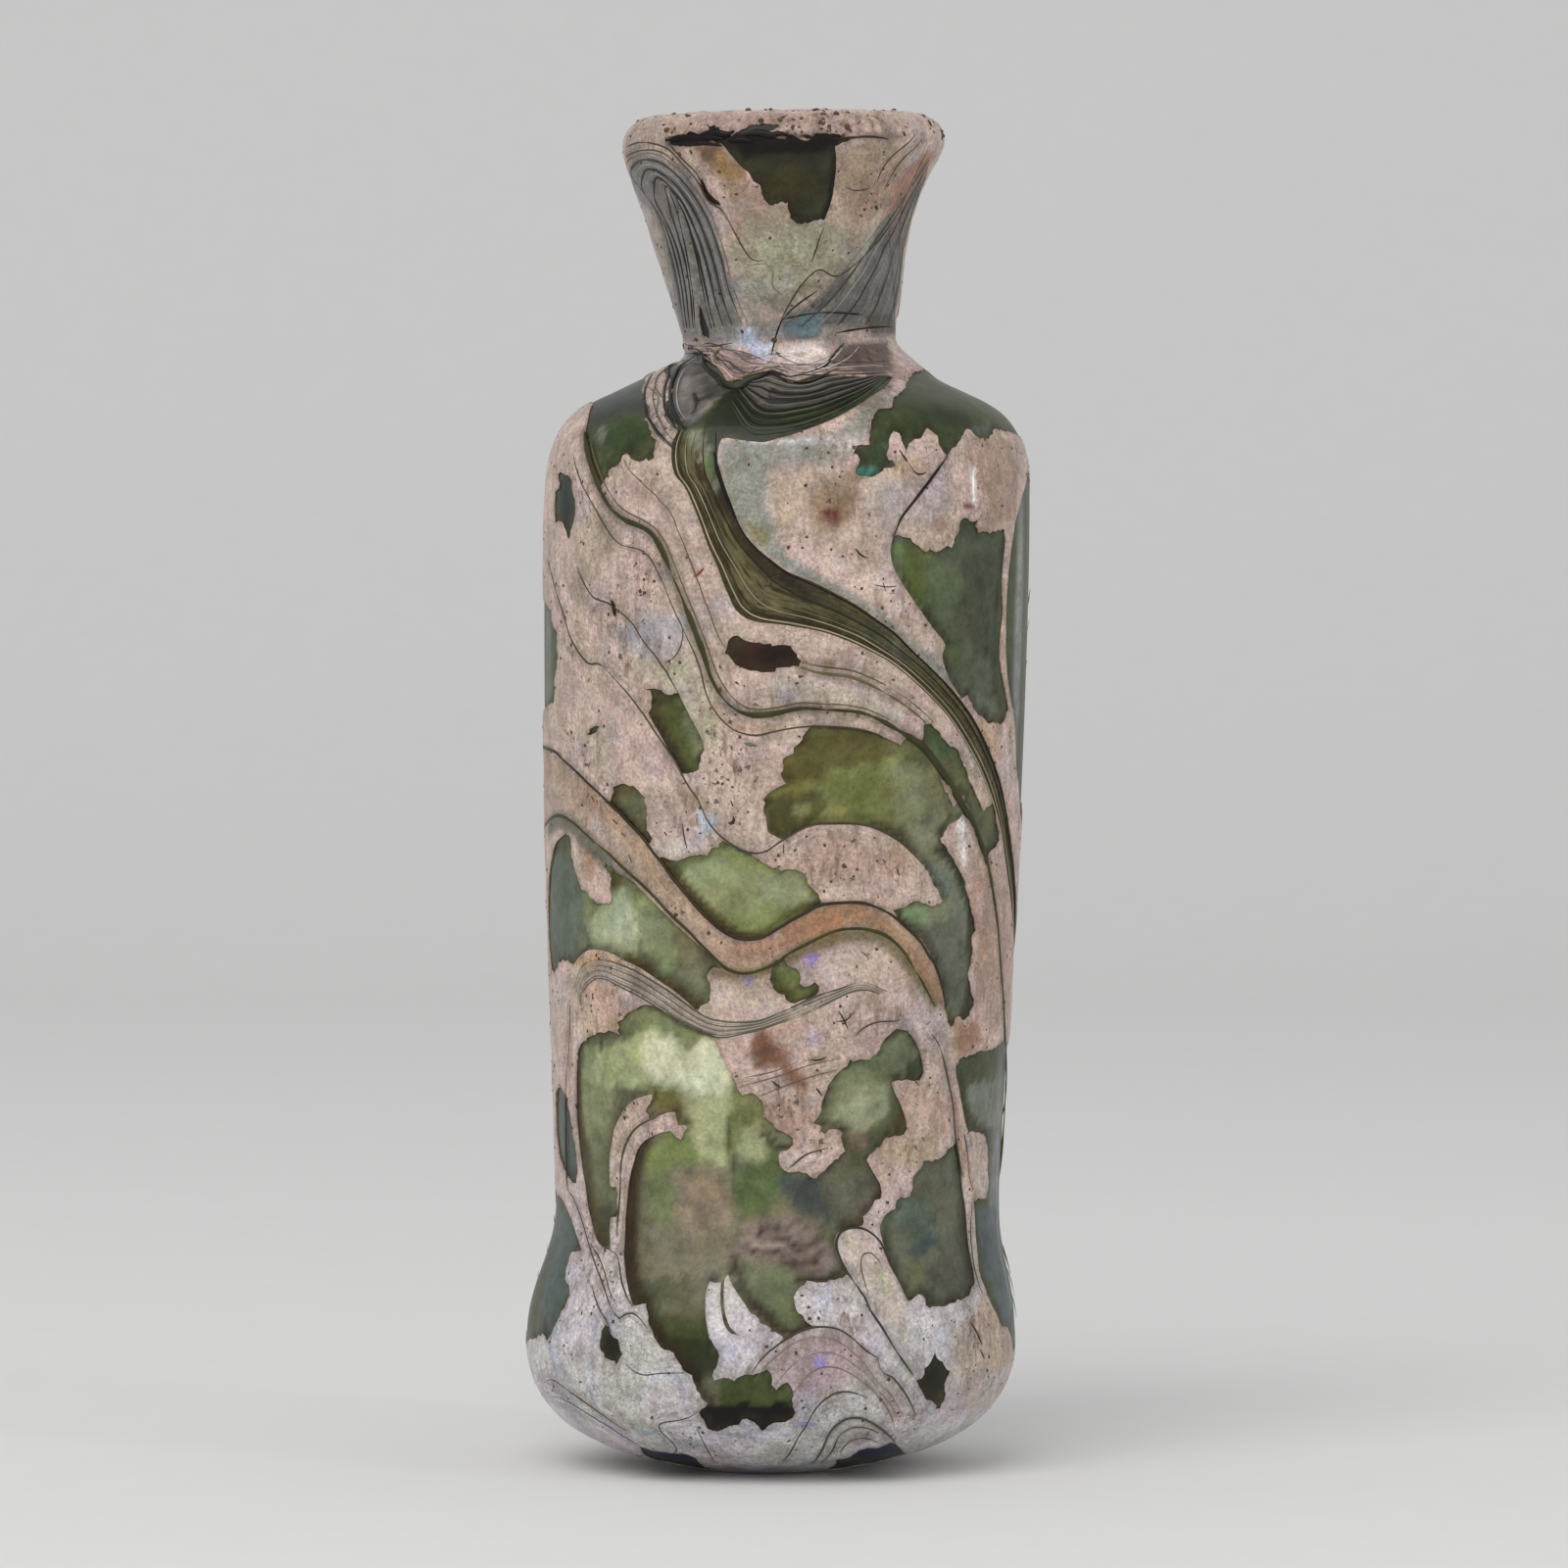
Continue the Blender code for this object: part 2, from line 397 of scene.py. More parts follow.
def read_path(path: str, skin: Skin) -> tuple[np.ndarray, list[Edge]]:
    """Reads a path that is written as words.

    Two numbers with a comma are a place. F and S say that the places after them are joined by a ragged break
    or a smooth flow line, and R and P that they are given round the bottle or in the picture plane.

    Args:
        path: the words.
        skin: the unrolled wall.

    Returns:
        The places on the unrolled wall, and how each is joined to the next.
    """
    edge, read = Edge.FLAKED, skin.from_picture
    points: list[Pair] = []
    edges: list[Edge] = []
    for word in path.split():
        if word in "FS":
            edge = Edge(word)
        elif word in "RP":
            read = skin.from_round if word == "R" else skin.from_picture
        else:
            points.append(read(tuple(float(n) for n in word.split(","))))
            edges.append(edge)
    return np.array(points), edges


@dataclass(frozen=True)
class Outline:
    """A closed outline on the wall, with its path as read_path reads it."""

    name: str
    path: str
    ragged_step: float = 0.42
    ragged_depth: float = 0.13
    flow_step: float = 0.5

    def trace(self, skin: Skin, random: np.random.Generator) -> np.ndarray:
        """Follows the outline on the unrolled wall.

        Args:
            skin: the unrolled wall.
            random: the source of the ragged edge.

        Returns:
            The outline's points, without the first again at the end.
        """
        corners, kinds = read_path(self.path, skin)
        count = len(corners)
        traced: list[np.ndarray] = []
        for i in range(count):
            before, start, end, after = (corners[(i + k) % count] for k in (-2, -1, 0, 1))
            length = float(np.linalg.norm(end - start))
            if kinds[i] is Edge.FLAKED:
                steps = max(1, round(length / self.ragged_step))
                along = np.arange(steps)[:, None] / steps
                wander = random.uniform(-self.ragged_depth, self.ragged_depth, (steps, 2))
                wander[0] = 0.0
                traced.append(start + (end - start) * along + wander)
                continue
            if kinds[i - 1] is not Edge.FLOW:
                before = start
            if kinds[(i + 1) % count] is not Edge.FLOW:
                after = end
            steps = max(1, round(length / self.flow_step))
            t = np.arange(steps)[:, None] / steps
            traced.append(curve_between(before, start, end, after, t))
        return np.vstack(traced)


def curve_between(
    before: np.ndarray, start: np.ndarray, end: np.ndarray, after: np.ndarray, t: np.ndarray
) -> np.ndarray:
    """A smooth curve from start to end that also heeds the points on both sides.

    Args:
        before: the point before start.
        start: where the curve starts.
        end: where it ends.
        after: the point after end.
        t: shares of the way, as a column.

    Returns:
        One row for each share.
    """
    return 0.5 * (
        2 * start
        + (end - before) * t
        + (2 * before - 5 * start + 4 * end - after) * t**2
        + (3 * start - before - 3 * end + after) * t**3
    )


def smooth_line(points: np.ndarray, step: float) -> np.ndarray:
    """Draws a smooth open line through points.

    Args:
        points: one row for each point.
        step: about how far apart the line's points are.

    Returns:
        The line's points.
    """
    padded = np.vstack((points[:1], points, points[-1:]))
    parts = []
    for i in range(1, len(padded) - 2):
        steps = max(1, round(float(np.linalg.norm(padded[i + 1] - padded[i])) / step))
        parts.append(curve_between(*padded[i - 1 : i + 3], np.arange(steps)[:, None] / steps))
    return np.vstack((*parts, points[-1:]))


def drawn_line(path: str, skin: Skin, step: float) -> np.ndarray:
    """Draws a path as a smooth open line on the unrolled wall."""
    return smooth_line(read_path(path, skin)[0], step)


def nearest_of(points: np.ndarray, flat: np.ndarray) -> tuple[np.ndarray, np.ndarray, np.ndarray]:
    """Finds the nearest of many points for each of many flat places.

    Args:
        points: the points, one row of x and y for each.
        flat: the places.

    Returns:
        For each place, the nearest point, its number and its distance.
    """
    tree = KDTree(len(points))
    for i, (x, y) in enumerate(points):
        tree.insert((x, y, 0.0), i)
    tree.balance()
    found = [tree.find((x, y, 0.0)) for x, y in flat]
    places, numbers, gaps = zip(*found)
    return np.array(places)[:, :2], np.array(numbers), np.array(gaps)


def inside(points: np.ndarray, outline: np.ndarray) -> np.ndarray:
    """Tells which points lie inside a closed outline.

    Args:
        points: one row for each point.
        outline: the outline's points.

    Returns:
        True for each point inside.
    """
    low, high = outline.min(axis=0), outline.max(axis=0)
    near = np.nonzero(np.all((points > low) & (points < high), axis=1))[0]
    within = np.zeros(len(points), bool)
    x, y = points[near, 0], points[near, 1]
    odd = np.zeros(len(near), bool)
    for (x1, y1), (x2, y2) in zip(outline, np.roll(outline, -1, axis=0)):
        if y1 != y2:
            odd ^= ((y1 > y) != (y2 > y)) & (x < (x2 - x1) * (y - y1) / (y2 - y1) + x1)
    within[near] = odd
    return within


@dataclass(frozen=True)
class Flake:
    """A flaked patch on a side that the picture doesn't show.

    Its place is its azimuth and height, its width and height are across its middle, and lean turns it. Lobes
    is how far its waves go, and nicks how far single corners do.
    """

    azimuth: float
    height: float
    wide: float
    tall: float
    lean: float
    corners: int = 40
    lobes: float = 0.3
    nicks: float = 0.07

    def trace(self, skin: Skin, random: np.random.Generator) -> np.ndarray:
        """Makes the patch's ragged outline on the unrolled wall.

        Args:
            skin: the unrolled wall.
            random: the source of its shape.

        Returns:
            The outline's points.
        """
        angles = np.linspace(0, 2 * math.pi, self.corners, endpoint=False)
        waves = []
        for k in range(2, 8):
            height = random.uniform(-self.lobes, self.lobes) / k**0.7
            waves.append(height * np.cos(k * angles + random.uniform(0, 2 * math.pi)))
        nicks = random.uniform(-self.nicks, self.nicks, self.corners)
        reach = np.clip(1.0 + sum(waves) + nicks, 0.35, 1.6)
        x, y = reach * np.cos(angles) * self.wide / 2, reach * np.sin(angles) * self.tall / 2
        lean = math.radians(self.lean)
        across = x * math.cos(lean) - y * math.sin(lean)
        along = x * math.sin(lean) + y * math.cos(lean)
        return np.column_stack((across, along)) + np.array(skin.from_round((self.azimuth, self.height)))


@dataclass(frozen=True)
class Dab:
    """A soft dab of colour on the wall: a place in the picture plane, or round the bottle, and two radii."""

    place: Pair
    radii: Pair
    colour: str
    strength: float = 1.0
    cover: float = 0.0
    turn: float = 0.0
    round: bool = False


@dataclass(frozen=True)
class FlowLine:
    """A thread that the blowing drew out, with its width, its tone and how far it lies below the wall."""

    path: str
    width: float = 0.2
    tone: str = "#4b4234"
    sunk: float = 0.0


@dataclass(frozen=True)
class FlowBand:
    """Threads that run side by side between two lines.

    Each thread is its share of the way from the first line to the last, its width and its tone. Sunk is how
    far they lie below the wall, and wander how far each sways from its course.
    """

    first: str
    last: str
    threads: tuple[tuple[float, float, str], ...]
    sunk: float = 0.0
    wander: float = 0.12


@dataclass(frozen=True)
class Marbling:
    """Soft streaks of two tones between two lines.

    Amount is how strongly they show, streak about how wide each is, cover how much a film hides the glass
    there, and fade and ends how softly they stop at the lines and at the lines' ends.
    """

    first: str
    last: str
    pale: str
    dark: str
    amount: float = 0.9
    streak: float = 0.3
    cover: float = 0.9
    fade: float = 0.45
    ends: float = 2.0


@dataclass(frozen=True)
class Stroke:
    """A soft brush stroke along a line or, where its path starts with A, over the area inside it.

    Width is how broad the line is, or how soft the area's edge is. Cover is how much a film hides the glass
    there.
    """

    path: str
    width: float
    colour: str
    strength: float = 0.9
    cover: float = 0.88


PEACH_TOP = (
    "R -108,62.5 -92,63.5 P -21,64 -20,63.6 -19,62.7 -18,61.8 -17,60.8 -16,59.9 -15,58.9 -14,58 -13,56.9 "
    "-12,55.8 -11,54.4 -10.3,53.6 -9.5,52.4 -8.5,51.2 -7.5,50 -6.5,48.9 -5.5,48 -4.5,47.3 -3.5,46.9 "
    "-2.5,46.8 -1.5,46.95 -0.5,47.5 0.5,48.1 1.5,48.7 2.5,49.2 3.5,49.8 4.5,50 6,50.1 7.3,50.1 8.5,49.8 "
    "9.8,49.2 10.8,48.5 11.8,47.6 12.7,46.6 13.5,45.3 13.95,44.8 14.5,43.2 14.8,41.9 14.95,40.6"
)
PEACH_FOOT = (
    "R -112,54 -96,56 P -20.7,57 -19.9,57.8 -19,57.7 -18,57 -17,56.1 -16,55.2 -15,54.4 -14,53.4 -13,52.5 "
    "-12,51.6 -11,50.6 -10,49.5 -9,48.5 -8,47.6 -7,46.5 -6,45.5 -4.8,44.35 -3.65,43.85 -2.35,43.85 "
    "-1.05,44.3 0,44.8 0.85,45.5 2.15,46.2 3.75,47 5.2,47.6 6.8,47.8 8.25,47.65 9.55,47.2 10.6,46.4 "
    "11.45,45.4 12.1,44.2 12.75,43.2 13.35,42.05 14,40.85"
)
RIBBON_LEFT = (
    "-8.9,92.2 -9.4,91 -9.5,89.5 -9.2,88.2 -8.4,87.2 -7.8,86 -7,84 -6.3,82 -5.4,80 -4.9,78.6 -4.3,77.2 "
    "-3.8,76.2 -2.8,75.4 -1.5,75.05 0,74.9 2,74.6 4,74.2 6,73.5 8,72.6 10,71.5 12,69.9 13.5,68.5 15,66.9 "
    "16.3,65 17.6,62.8 18.6,60.6 19.5,58 20,56 20.4,53 R 82,47 94,41 108,37 121,35.8"
)
RIBBON_RIGHT = (
    "-5.4,92 -5.4,91 -5.4,90 -5.2,88 -4.6,86.2 -3.8,84.5 -3,83 -1.8,81.6 -0.3,80.4 1,79.5 3,78.7 5,77.7 "
    "7,76.6 9,75.2 10.5,74.1 12,72.6 13.5,71.2 15,69.7 16.3,68.2 17.5,66.5 18.4,64.8 19.3,62.7 20,60.5 "
    "20.5,58 20.9,55 R 86,49 96,43.5 110,38.5 123,36"
)
ARM_TOP = (
    "-3.1,96.6 -2.4,96.7 -1.6,96.9 -0.8,97.3 0.2,97.1 1,96.7 2.5,96.6 4.1,97.2 6.2,97.4 8.3,97.5 9.7,97.6"
)
ARM_MIDDLE = "-3.2,96.3 -2.6,95.5 -1.6,94.5 -0.3,94.2 1.5,94.4 3.6,94.8 6.2,95.7 8.3,96.5 9.8,97.3"
ARM_FOOT = (
    "-4.3,94.7 -3.6,93.5 -2.9,92.4 -2.2,91.9 -0.9,91.9 1,92.2 3.1,92.8 5.2,93.7 7.3,94.9 8.8,96.1 9.9,97.2"
)
COLLAR_TOP = "-7.9,99.7 -5.7,99.9 -2.5,99 -0.6,98.2 2.5,98.1 6.3,98.4 10.1,98.4"
COLLAR_FOOT = "-7.6,98.9 -5.4,98.6 -4.1,97.2 -2.5,97.2 -0.6,97.6 2.5,97 6.9,97.1 10.1,97.2"
CLUSTER_TOP = (
    "-18.05,42.6 -17.75,43.9 -17.2,44.65 -16.3,44.95 -15.15,44.9 -13.85,44.5 -12.5,43.9 -11.2,43.1 "
    "-9.75,42.2 -8.3,41.1 -7,40.2 -6,39.7 -4.5,39.45 -3.1,39.4 -1.6,39.55 0,40.2 1.15,40.7 2.6,41.4 4.05,42 "
    "5.5,42.4 6.5,42.8 7.55,43 8.25,42.85 9.15,42.4 9.7,42.2"
)
CLUSTER_FOOT = (
    "-17.6,40.9 -17.5,41.9 -16.9,42.8 -16.15,43.35 -15.15,43.2 -14.1,42.6 -12.95,42.05 -11.8,41.4 "
    "-10.35,40.45 -8.9,39.4 -7.45,38.7 -6,38.2 -5,38.05 -3.8,38.25 -1.5,38.8 0,39.3 2.6,40.2 4.8,41.3 "
    "6.2,42 7.4,42.3 8.4,42.2 9,41.95"
)
LOOP_OUTER = (
    "-8.3,101.2 -8.8,104.5 -9.6,108 -10.6,111.2 -11.9,113.2 -13,114.7 -12.7,115.8 -11.5,116.15 -10.1,115.7 "
    "-8.6,114.4 -7.1,112.4 -5.9,110 -5,107.2 -4.3,104.4 -3.2,101.6"
)
LOOP_INNER = (
    "-7.3,101.2 -7.5,104 -7.9,107 -8.4,109.8 -9,112 -9.5,113.1 -9.55,113.45 -9.3,113.3 -9,112.9 -8.5,111.8 "
    "-7.9,110 -7.3,107.6 -6.9,105.5 -6.5,103.5 -6,101.2"
)
SWEEP_UPPER = "13.4,116.4 11.7,114 10,111.6 8.3,109.4 6.6,107.4 5,105.6 3.2,103.8 1.6,102.4 0.2,101.3"
SWEEP_LOWER = "13.1,114.4 12,111.4 11.3,108.6 10.9,105.6 10.5,103 10.1,101.4"
HEEL_ARCH = (
    "-2.25,8.2 -1.8,8.9 -0.95,9.85 0,10.6 0.7,11.1 1.85,11.75 3,12.15 4.2,12.2 5.35,12 6.4,11.4 7.4,10.5 "
    "8.25,9.8 8.85,9.45 9,8.8 9.4,8.05 10.15,7.75 10.9,6.9 11.6,5.85 12.25,4.4"
)
HEEL_INNER = "0.9,4.6 1.8,6 2.8,7.3 4,7.9 5.2,7.9 6.3,7.4 7.4,6.6 8.4,5.7 9.3,4.6 10,3.4 10.4,2.6"
BACK_FLOW_TOP = "R 78,38 92,32 108,30 126,35 144,45 160,54 176,58 190,57 206,54 222,53 236,56 248,61"
BACK_FLOW_FOOT = "R 84,31 98,25 114,23 132,28 148,38 164,47 180,51 194,50 210,47 226,46 240,49 250,53.5"

FLOW_LINES: tuple[FlowLine, ...] = (
    FlowLine(
        "-17.2,92 -16.9,89.8 -16.3,87.9 -15.5,86.2 -14.6,84.9 -13.5,84.1 -12.3,83.6 -11.2,82.9 -10.5,81.8 "
        "-9.9,80.5 -9.3,79 -8.7,77.6 -8,75.8 -7.2,73.8 -6.6,72.2 -6.1,70.5 -5.6,69.4 -4.8,68.2 -3.6,67.2 "
        "-2,66.8 0,67 2,67.4 4,67.3 6,67.2 7.5,67 9,66.4 10.5,65.6 12,64.7 13,64 14.2,62.5 15.5,60.6 "
        "16.6,58.7 17.6,56.8 18.5,54.3 19.2,51 19.6,48 19.9,44 R 78,38",
        0.72, "#3f3c22",
    ),
    FlowLine(
        "-16.7,91.5 -16.3,89.6 -15.7,88 -14.9,86.5 -14.1,85.4 -13.1,84.7 -11.9,84.1 -10.8,83.3 -10,82.1 "
        "-9.4,80.7 -8.8,79.2 -8.2,77.7 -7.5,76 -6.7,74 -6.1,72.4 -5.6,70.9 -5.1,69.9 -4.4,68.8 -3.4,67.8 "
        "-2,67.3 0,67.5 2,67.9 4,67.8 6,67.7 8,67.3 10,66.4",
        0.16, "#6b5d45",
    ),
    FlowLine(
        "-18.2,90 -17.5,87.5 -16.6,85.8 -15.2,83.3 -14.5,82.4 -13.8,81.9 -12.5,81.6 -11.8,81.2 -11.2,80.5 "
        "-10.2,78.5 -9.6,77 -9,75.6 -8.5,74.6 -8.5,73.6 -8.8,72.6 -9.3,71.9 -10,71.5",
        0.14,
    ),
    FlowLine(
        "-8.5,74.6 -8,73.5 -7.4,72.2 -6.9,70.8 -6.6,69.5 -6.2,68.2 -5.5,67 -4.5,65.9 -3.5,65.3 -2,65 "
        "-0.5,65.3 1,65.6 3,65.8 6,65.7 8,65.4 9.3,64.9",
        0.16,
    ),
    FlowLine(
        "-20.4,80.5 -20,78.8 -19.5,77 -19,75.5 -18.6,74 -18,72.8 -17.4,71.9 -16.8,71.35 -16,71.4 -15.4,71 "
        "-14.6,70.1 -13.6,69 -12.8,68 -12,66.9 -11.4,66 -10.6,64.8 -9.9,63.8 -9.2,62.8 -8.5,61.4 -7.8,60.2 "
        "-7.2,59.4 -6.7,58.3 -6.2,57.3 -5.5,56.4 -4.6,55.6 -3.7,55 -2.8,54.6 -1.7,54.5 -0.8,54.8 0,55.4 "
        "1,56 2,56.6 3.2,57.05 5,57.15 7,57.1 8.5,56.8 10,56.1 11.2,55.3 12.2,54.3 12.9,53.5",
        0.18,
    ),
    FlowLine(
        "-17.9,80 -17.3,78.6 -16.7,77.6 -16.2,77.15 -15.2,76.8 -14.6,76.4 -13.6,75.6 -12.9,74.9 -12.3,73.9 "
        "-11.7,73 -11,72.2 -10.4,71.3 -9.9,70.6 -9.3,69.5 -8.7,68.5",
        0.16,
    ),
    FlowLine(
        "-13.7,89.6 -13.2,88.6 -12.4,87.8 -11.6,87 -10.9,86.4 -10.4,85.7 -9.8,85.2 -9.3,84.3 -8.9,83.2 "
        "-8.5,82.3 -8,81 -7.6,80 -7.2,78.9 -6.9,78.2 -6.6,77.2 -6.1,76 -5.7,74.8 -5.2,73.6 -4.7,72.8",
        0.14, "#6a5746",
    ),
    FlowLine("2,71.05 3.5,70.6 5,70.4 6.5,70.2 8,69.6 9.5,68.8 11,67.9 12.3,66.9 13.2,66.1", 0.3, "#6b6145"),
    FlowLine(
        "1.9,71.6 3.5,71.2 5,71 6.5,70.8 8.1,70.2 9.7,69.4 11.4,68.3 12.8,67.2 13.8,66.2",
        0.14, "#5d5038",
    ),
    FlowLine(
        PEACH_TOP,
        0.3,
        "#3a3020",
    ),
    FlowLine(
        PEACH_FOOT,
        0.34,
        "#45401e",
    ),
    FlowLine("15.1,89.9 14.2,88.6 13,87 12,85.7 11.2,84.7 10.8,84 10.5,83.2 10.3,82.8", 0.3, "#1f1610"),
    FlowLine("-12,96.2 -11.7,94.5 -11.4,93 -10.6,91.6 -9.4,90.6", 0.14, "#5a5148"),
    FlowLine("-10,97.6 -10.2,95 -10,93.3 -9.2,92.4 -8.6,92.2", 0.14, "#5a5148"),
    FlowLine("-10.9,97.4 -11,95.6 -10.7,93.6 -9.9,92.2", 0.1, "#6d655c"),
    FlowLine(
        "-18.5,41 -18.6,37.5 -18.9,34 R -70,30 P -18.8,24.95 -18.2,23.65 -17.5,21.75 -16.9,19.7 -16.3,17.8 "
        "-15.6,15.95 -15,14.2 -14.5,13.3 -14.15,12.95 -13.7,13.3 -13,13.45 -12.25,12.9 -11.7,12.1",
        0.18,
    ),
    FlowLine("-16.75,19.7 -15.9,18.25 -15.3,16.5 -14.9,15.05 -14.3,14.05", 0.16),
    FlowLine("-16.6,15.95 -16.05,14.05 -15.3,12.75 -14.9,11.7", 0.13),
    FlowLine("-14.95,19 -14.3,18.55 -14,16.5 -13.55,15.05 -13,14.1", 0.16, "#3f3625"),
    FlowLine(
        "-10.8,31 -11.8,30.55 -12.7,29.95 -13.4,28.95 -13.85,27.65 -14.05,26 -14.05,24.65 -14.3,22.05 "
        "-14.35,20.3",
        0.2, "#54452c",
    ),
    FlowLine(
        "13.65,38.4 14.2,37.7 14.65,36.5 14.95,35.35 15.25,33.9 15.55,32.45 15.7,31 15.8,29.55 16.4,25.8",
        0.22,
    ),
    FlowLine("16.6,29.5 16.85,28.1 17.1,25.4 17.4,24.5", 0.14),
    FlowLine("17.3,23.4 17.2,20.4 17.6,17.2 18.2,15.2", 0.14),
    FlowLine("6.95,38.3 7.55,38.85 8.4,39.3 9.4,39.5 10.3,39.5 11,39.7", 0.16),
    FlowLine("1,26.4 1.7,27 2.7,27.7 4.5,28.2", 0.14),
    FlowLine("-3.4,33.7 0,34.6 2.5,35.5 5.4,36.2", 0.1, "#7a5a42"),
    FlowLine("-1.7,32.8 1,33.9 3.4,34.7 5.4,35.2", 0.1, "#7a5a42"),
    FlowLine("-3,34.5 -0.5,35 1.5,35.8", 0.1, "#7a5a42"),
    FlowLine("2.9,36.1 3.6,36 4.3,36.3", 0.22, "#3a2c20"),
    FlowLine("-20.85,7.2 -20.25,7.5 -19.5,7.1 -18.35,6.25 -16.9,5.2 -15.45,4.2 -14.3,3.4 -13.55,2.95", 0.16),
    FlowLine("-20.1,5.95 -19.5,5.9 -18.35,5.3 -16.75,4.3 -15,3.2 -13.55,2.25 -12.25,1.6", 0.13),
    FlowLine("-13.55,8.9 -13,8.35 -11.95,7.9 -10.5,8.05 -8.3,8.1", 0.13),
    FlowLine(
        "-7.1,4.7 -7.75,4.2 -8.8,3.85 -10.2,3.65 -10.65,3.35 -10.35,2.75 -9.65,2.1 -9.15,1.5 -9.05,1.15 "
        "-9.4,0.85",
        0.13,
    ),
    FlowLine("-7.25,3.1 -6.75,2.1 -6.15,0.95 -5.6,0.1", 0.13),
    FlowLine(HEEL_ARCH, 0.22),
    FlowLine("0.2,-0.05 1,0.8 1.7,2.1 2.45,3.25 3.05,4.4 3.75,5.3 4.75,6.1 5.8,6.4 6.8,6.3 8,5.85", 0.16),
    FlowLine(
        "3,-0.05 3.9,1.1 4.5,2.5 5.2,3.4 6.2,4 7.25,4.05 8.25,3.7 9.4,2.9 10.45,1.95",
        0.28,
        "#57554b",
    ),
    FlowLine("3.75,0 4.75,0.95 5.35,2.25 6.1,2.95 7.1,3.25 8.1,3.1 9,2.7", 0.16),
    FlowLine("5.5,0.95 6.2,1.8 7.1,2.2 7.95,2.2 9,1.9", 0.13),
    FlowLine(
        "12.05,7.9 11.45,8.8 10.6,9.95 10,10.95 9.15,12.4 8.25,13.7 7.8,14.75 6.8,16.2 5.95,17.5 5.35,18.85 "
        "5.2,19.7 5.5,20.6 6.2,21 7.1,21.1 7.95,20.85 8.7,20.3 9.3,19.55 10,17.95 10.75,16.5 11.45,15.05",
        0.24,
        "#3a382e",
    ),
    FlowLine(
        "8.05,15.05 7.75,16.2 7.45,17.25 7.4,18.1 7.6,18.7 8.1,18.9 8.6,18.6 9.15,17.95",
        0.15, "#5a584c",
    ),
    FlowLine(
        "-13.4,117.3 -12,117.7 -10,117.2 -8.6,115.9 -7.2,114.3 -6.2,112.5 -5,111.7 -4,110 -3.2,108.5 "
        "-2.3,107.3 -1.3,107.2",
        0.18,
    ),
    FlowLine("-9.7,117.6 -8.4,116.1 -7.2,114.9 -6.6,113.5", 0.2),
    FlowLine("-13.5,116.4 -11.9,117 -10.1,116.7 -8.7,115.4", 0.12),
    FlowLine("12.2,118.4 10.3,116.6 9.2,115.2 8.6,113.9 7,113.4 5.9,113.8", 0.16),
    FlowLine("12.8,118 11,116.1 10,114.6 9.4,113.4", 0.12),
    FlowLine(
        "13.3,117 11.6,113.5 10.4,111 8.8,108.8 7,107 5.2,105.8 3.8,106.4 2.9,105.9 2,104.9 1.1,103.5 "
        "0.3,102",
        0.16,
    ),
    FlowLine("0.4,102 -0.1,100.8 -0.4,99.6 -0.6,98.8", 0.24, "#16130f"),
    FlowLine("0.4,102 3,102.5 5,102.6 7.5,102.4", 0.22, "#2c2a28"),
    FlowLine("0.4,102 1.6,103.2 3.6,104.6", 0.18, "#2c2a28"),
    FlowLine("4.1,110.2 3.7,109.2 3.4,108.2 3,107.1", 0.14, "#2a231a"),
    FlowLine("-2.4,106.8 -1,106.9 -0.4,106.1 -0.5,105 0.3,104.2", 0.12, "#6d6248"),
    FlowLine("-9.6,99.9 -8,99.7 -6,99.6 -4,99.9", 0.16, "#4a423a"),
    FlowLine("5.2,100.8 7,101.1 8.8,101.3 10.2,101.3", 0.2, "#221c16"),
    FlowLine("-6.8,98.9 -5.7,98.2 -4.6,98 -3.9,97.2 -4.1,96.3", 0.16, "#77706a"),
    FlowLine("-6.4,99.5 -5.2,98.9 -4.4,98.6", 0.14, "#77706a"),
    FlowLine("-3,97.1 -1.5,97.7 0,98.1 0.6,97.5 2,97.1 4,97.6 6,98.4 7.2,99.6", 0.18, "#c9bdb4"),
    FlowLine("-3.4,98.4 -1.6,98.6 -0.2,98.9 2,98 4.4,98.6 6.2,99.8", 0.12, "#7b7069"),
    FlowLine("R 62,112 70,108 80,104 88,101.6", 0.2, "#5b5a55"),
    FlowLine("R 54,111 62,107 72,103 78,101", 0.16, "#5b5a55"),
)

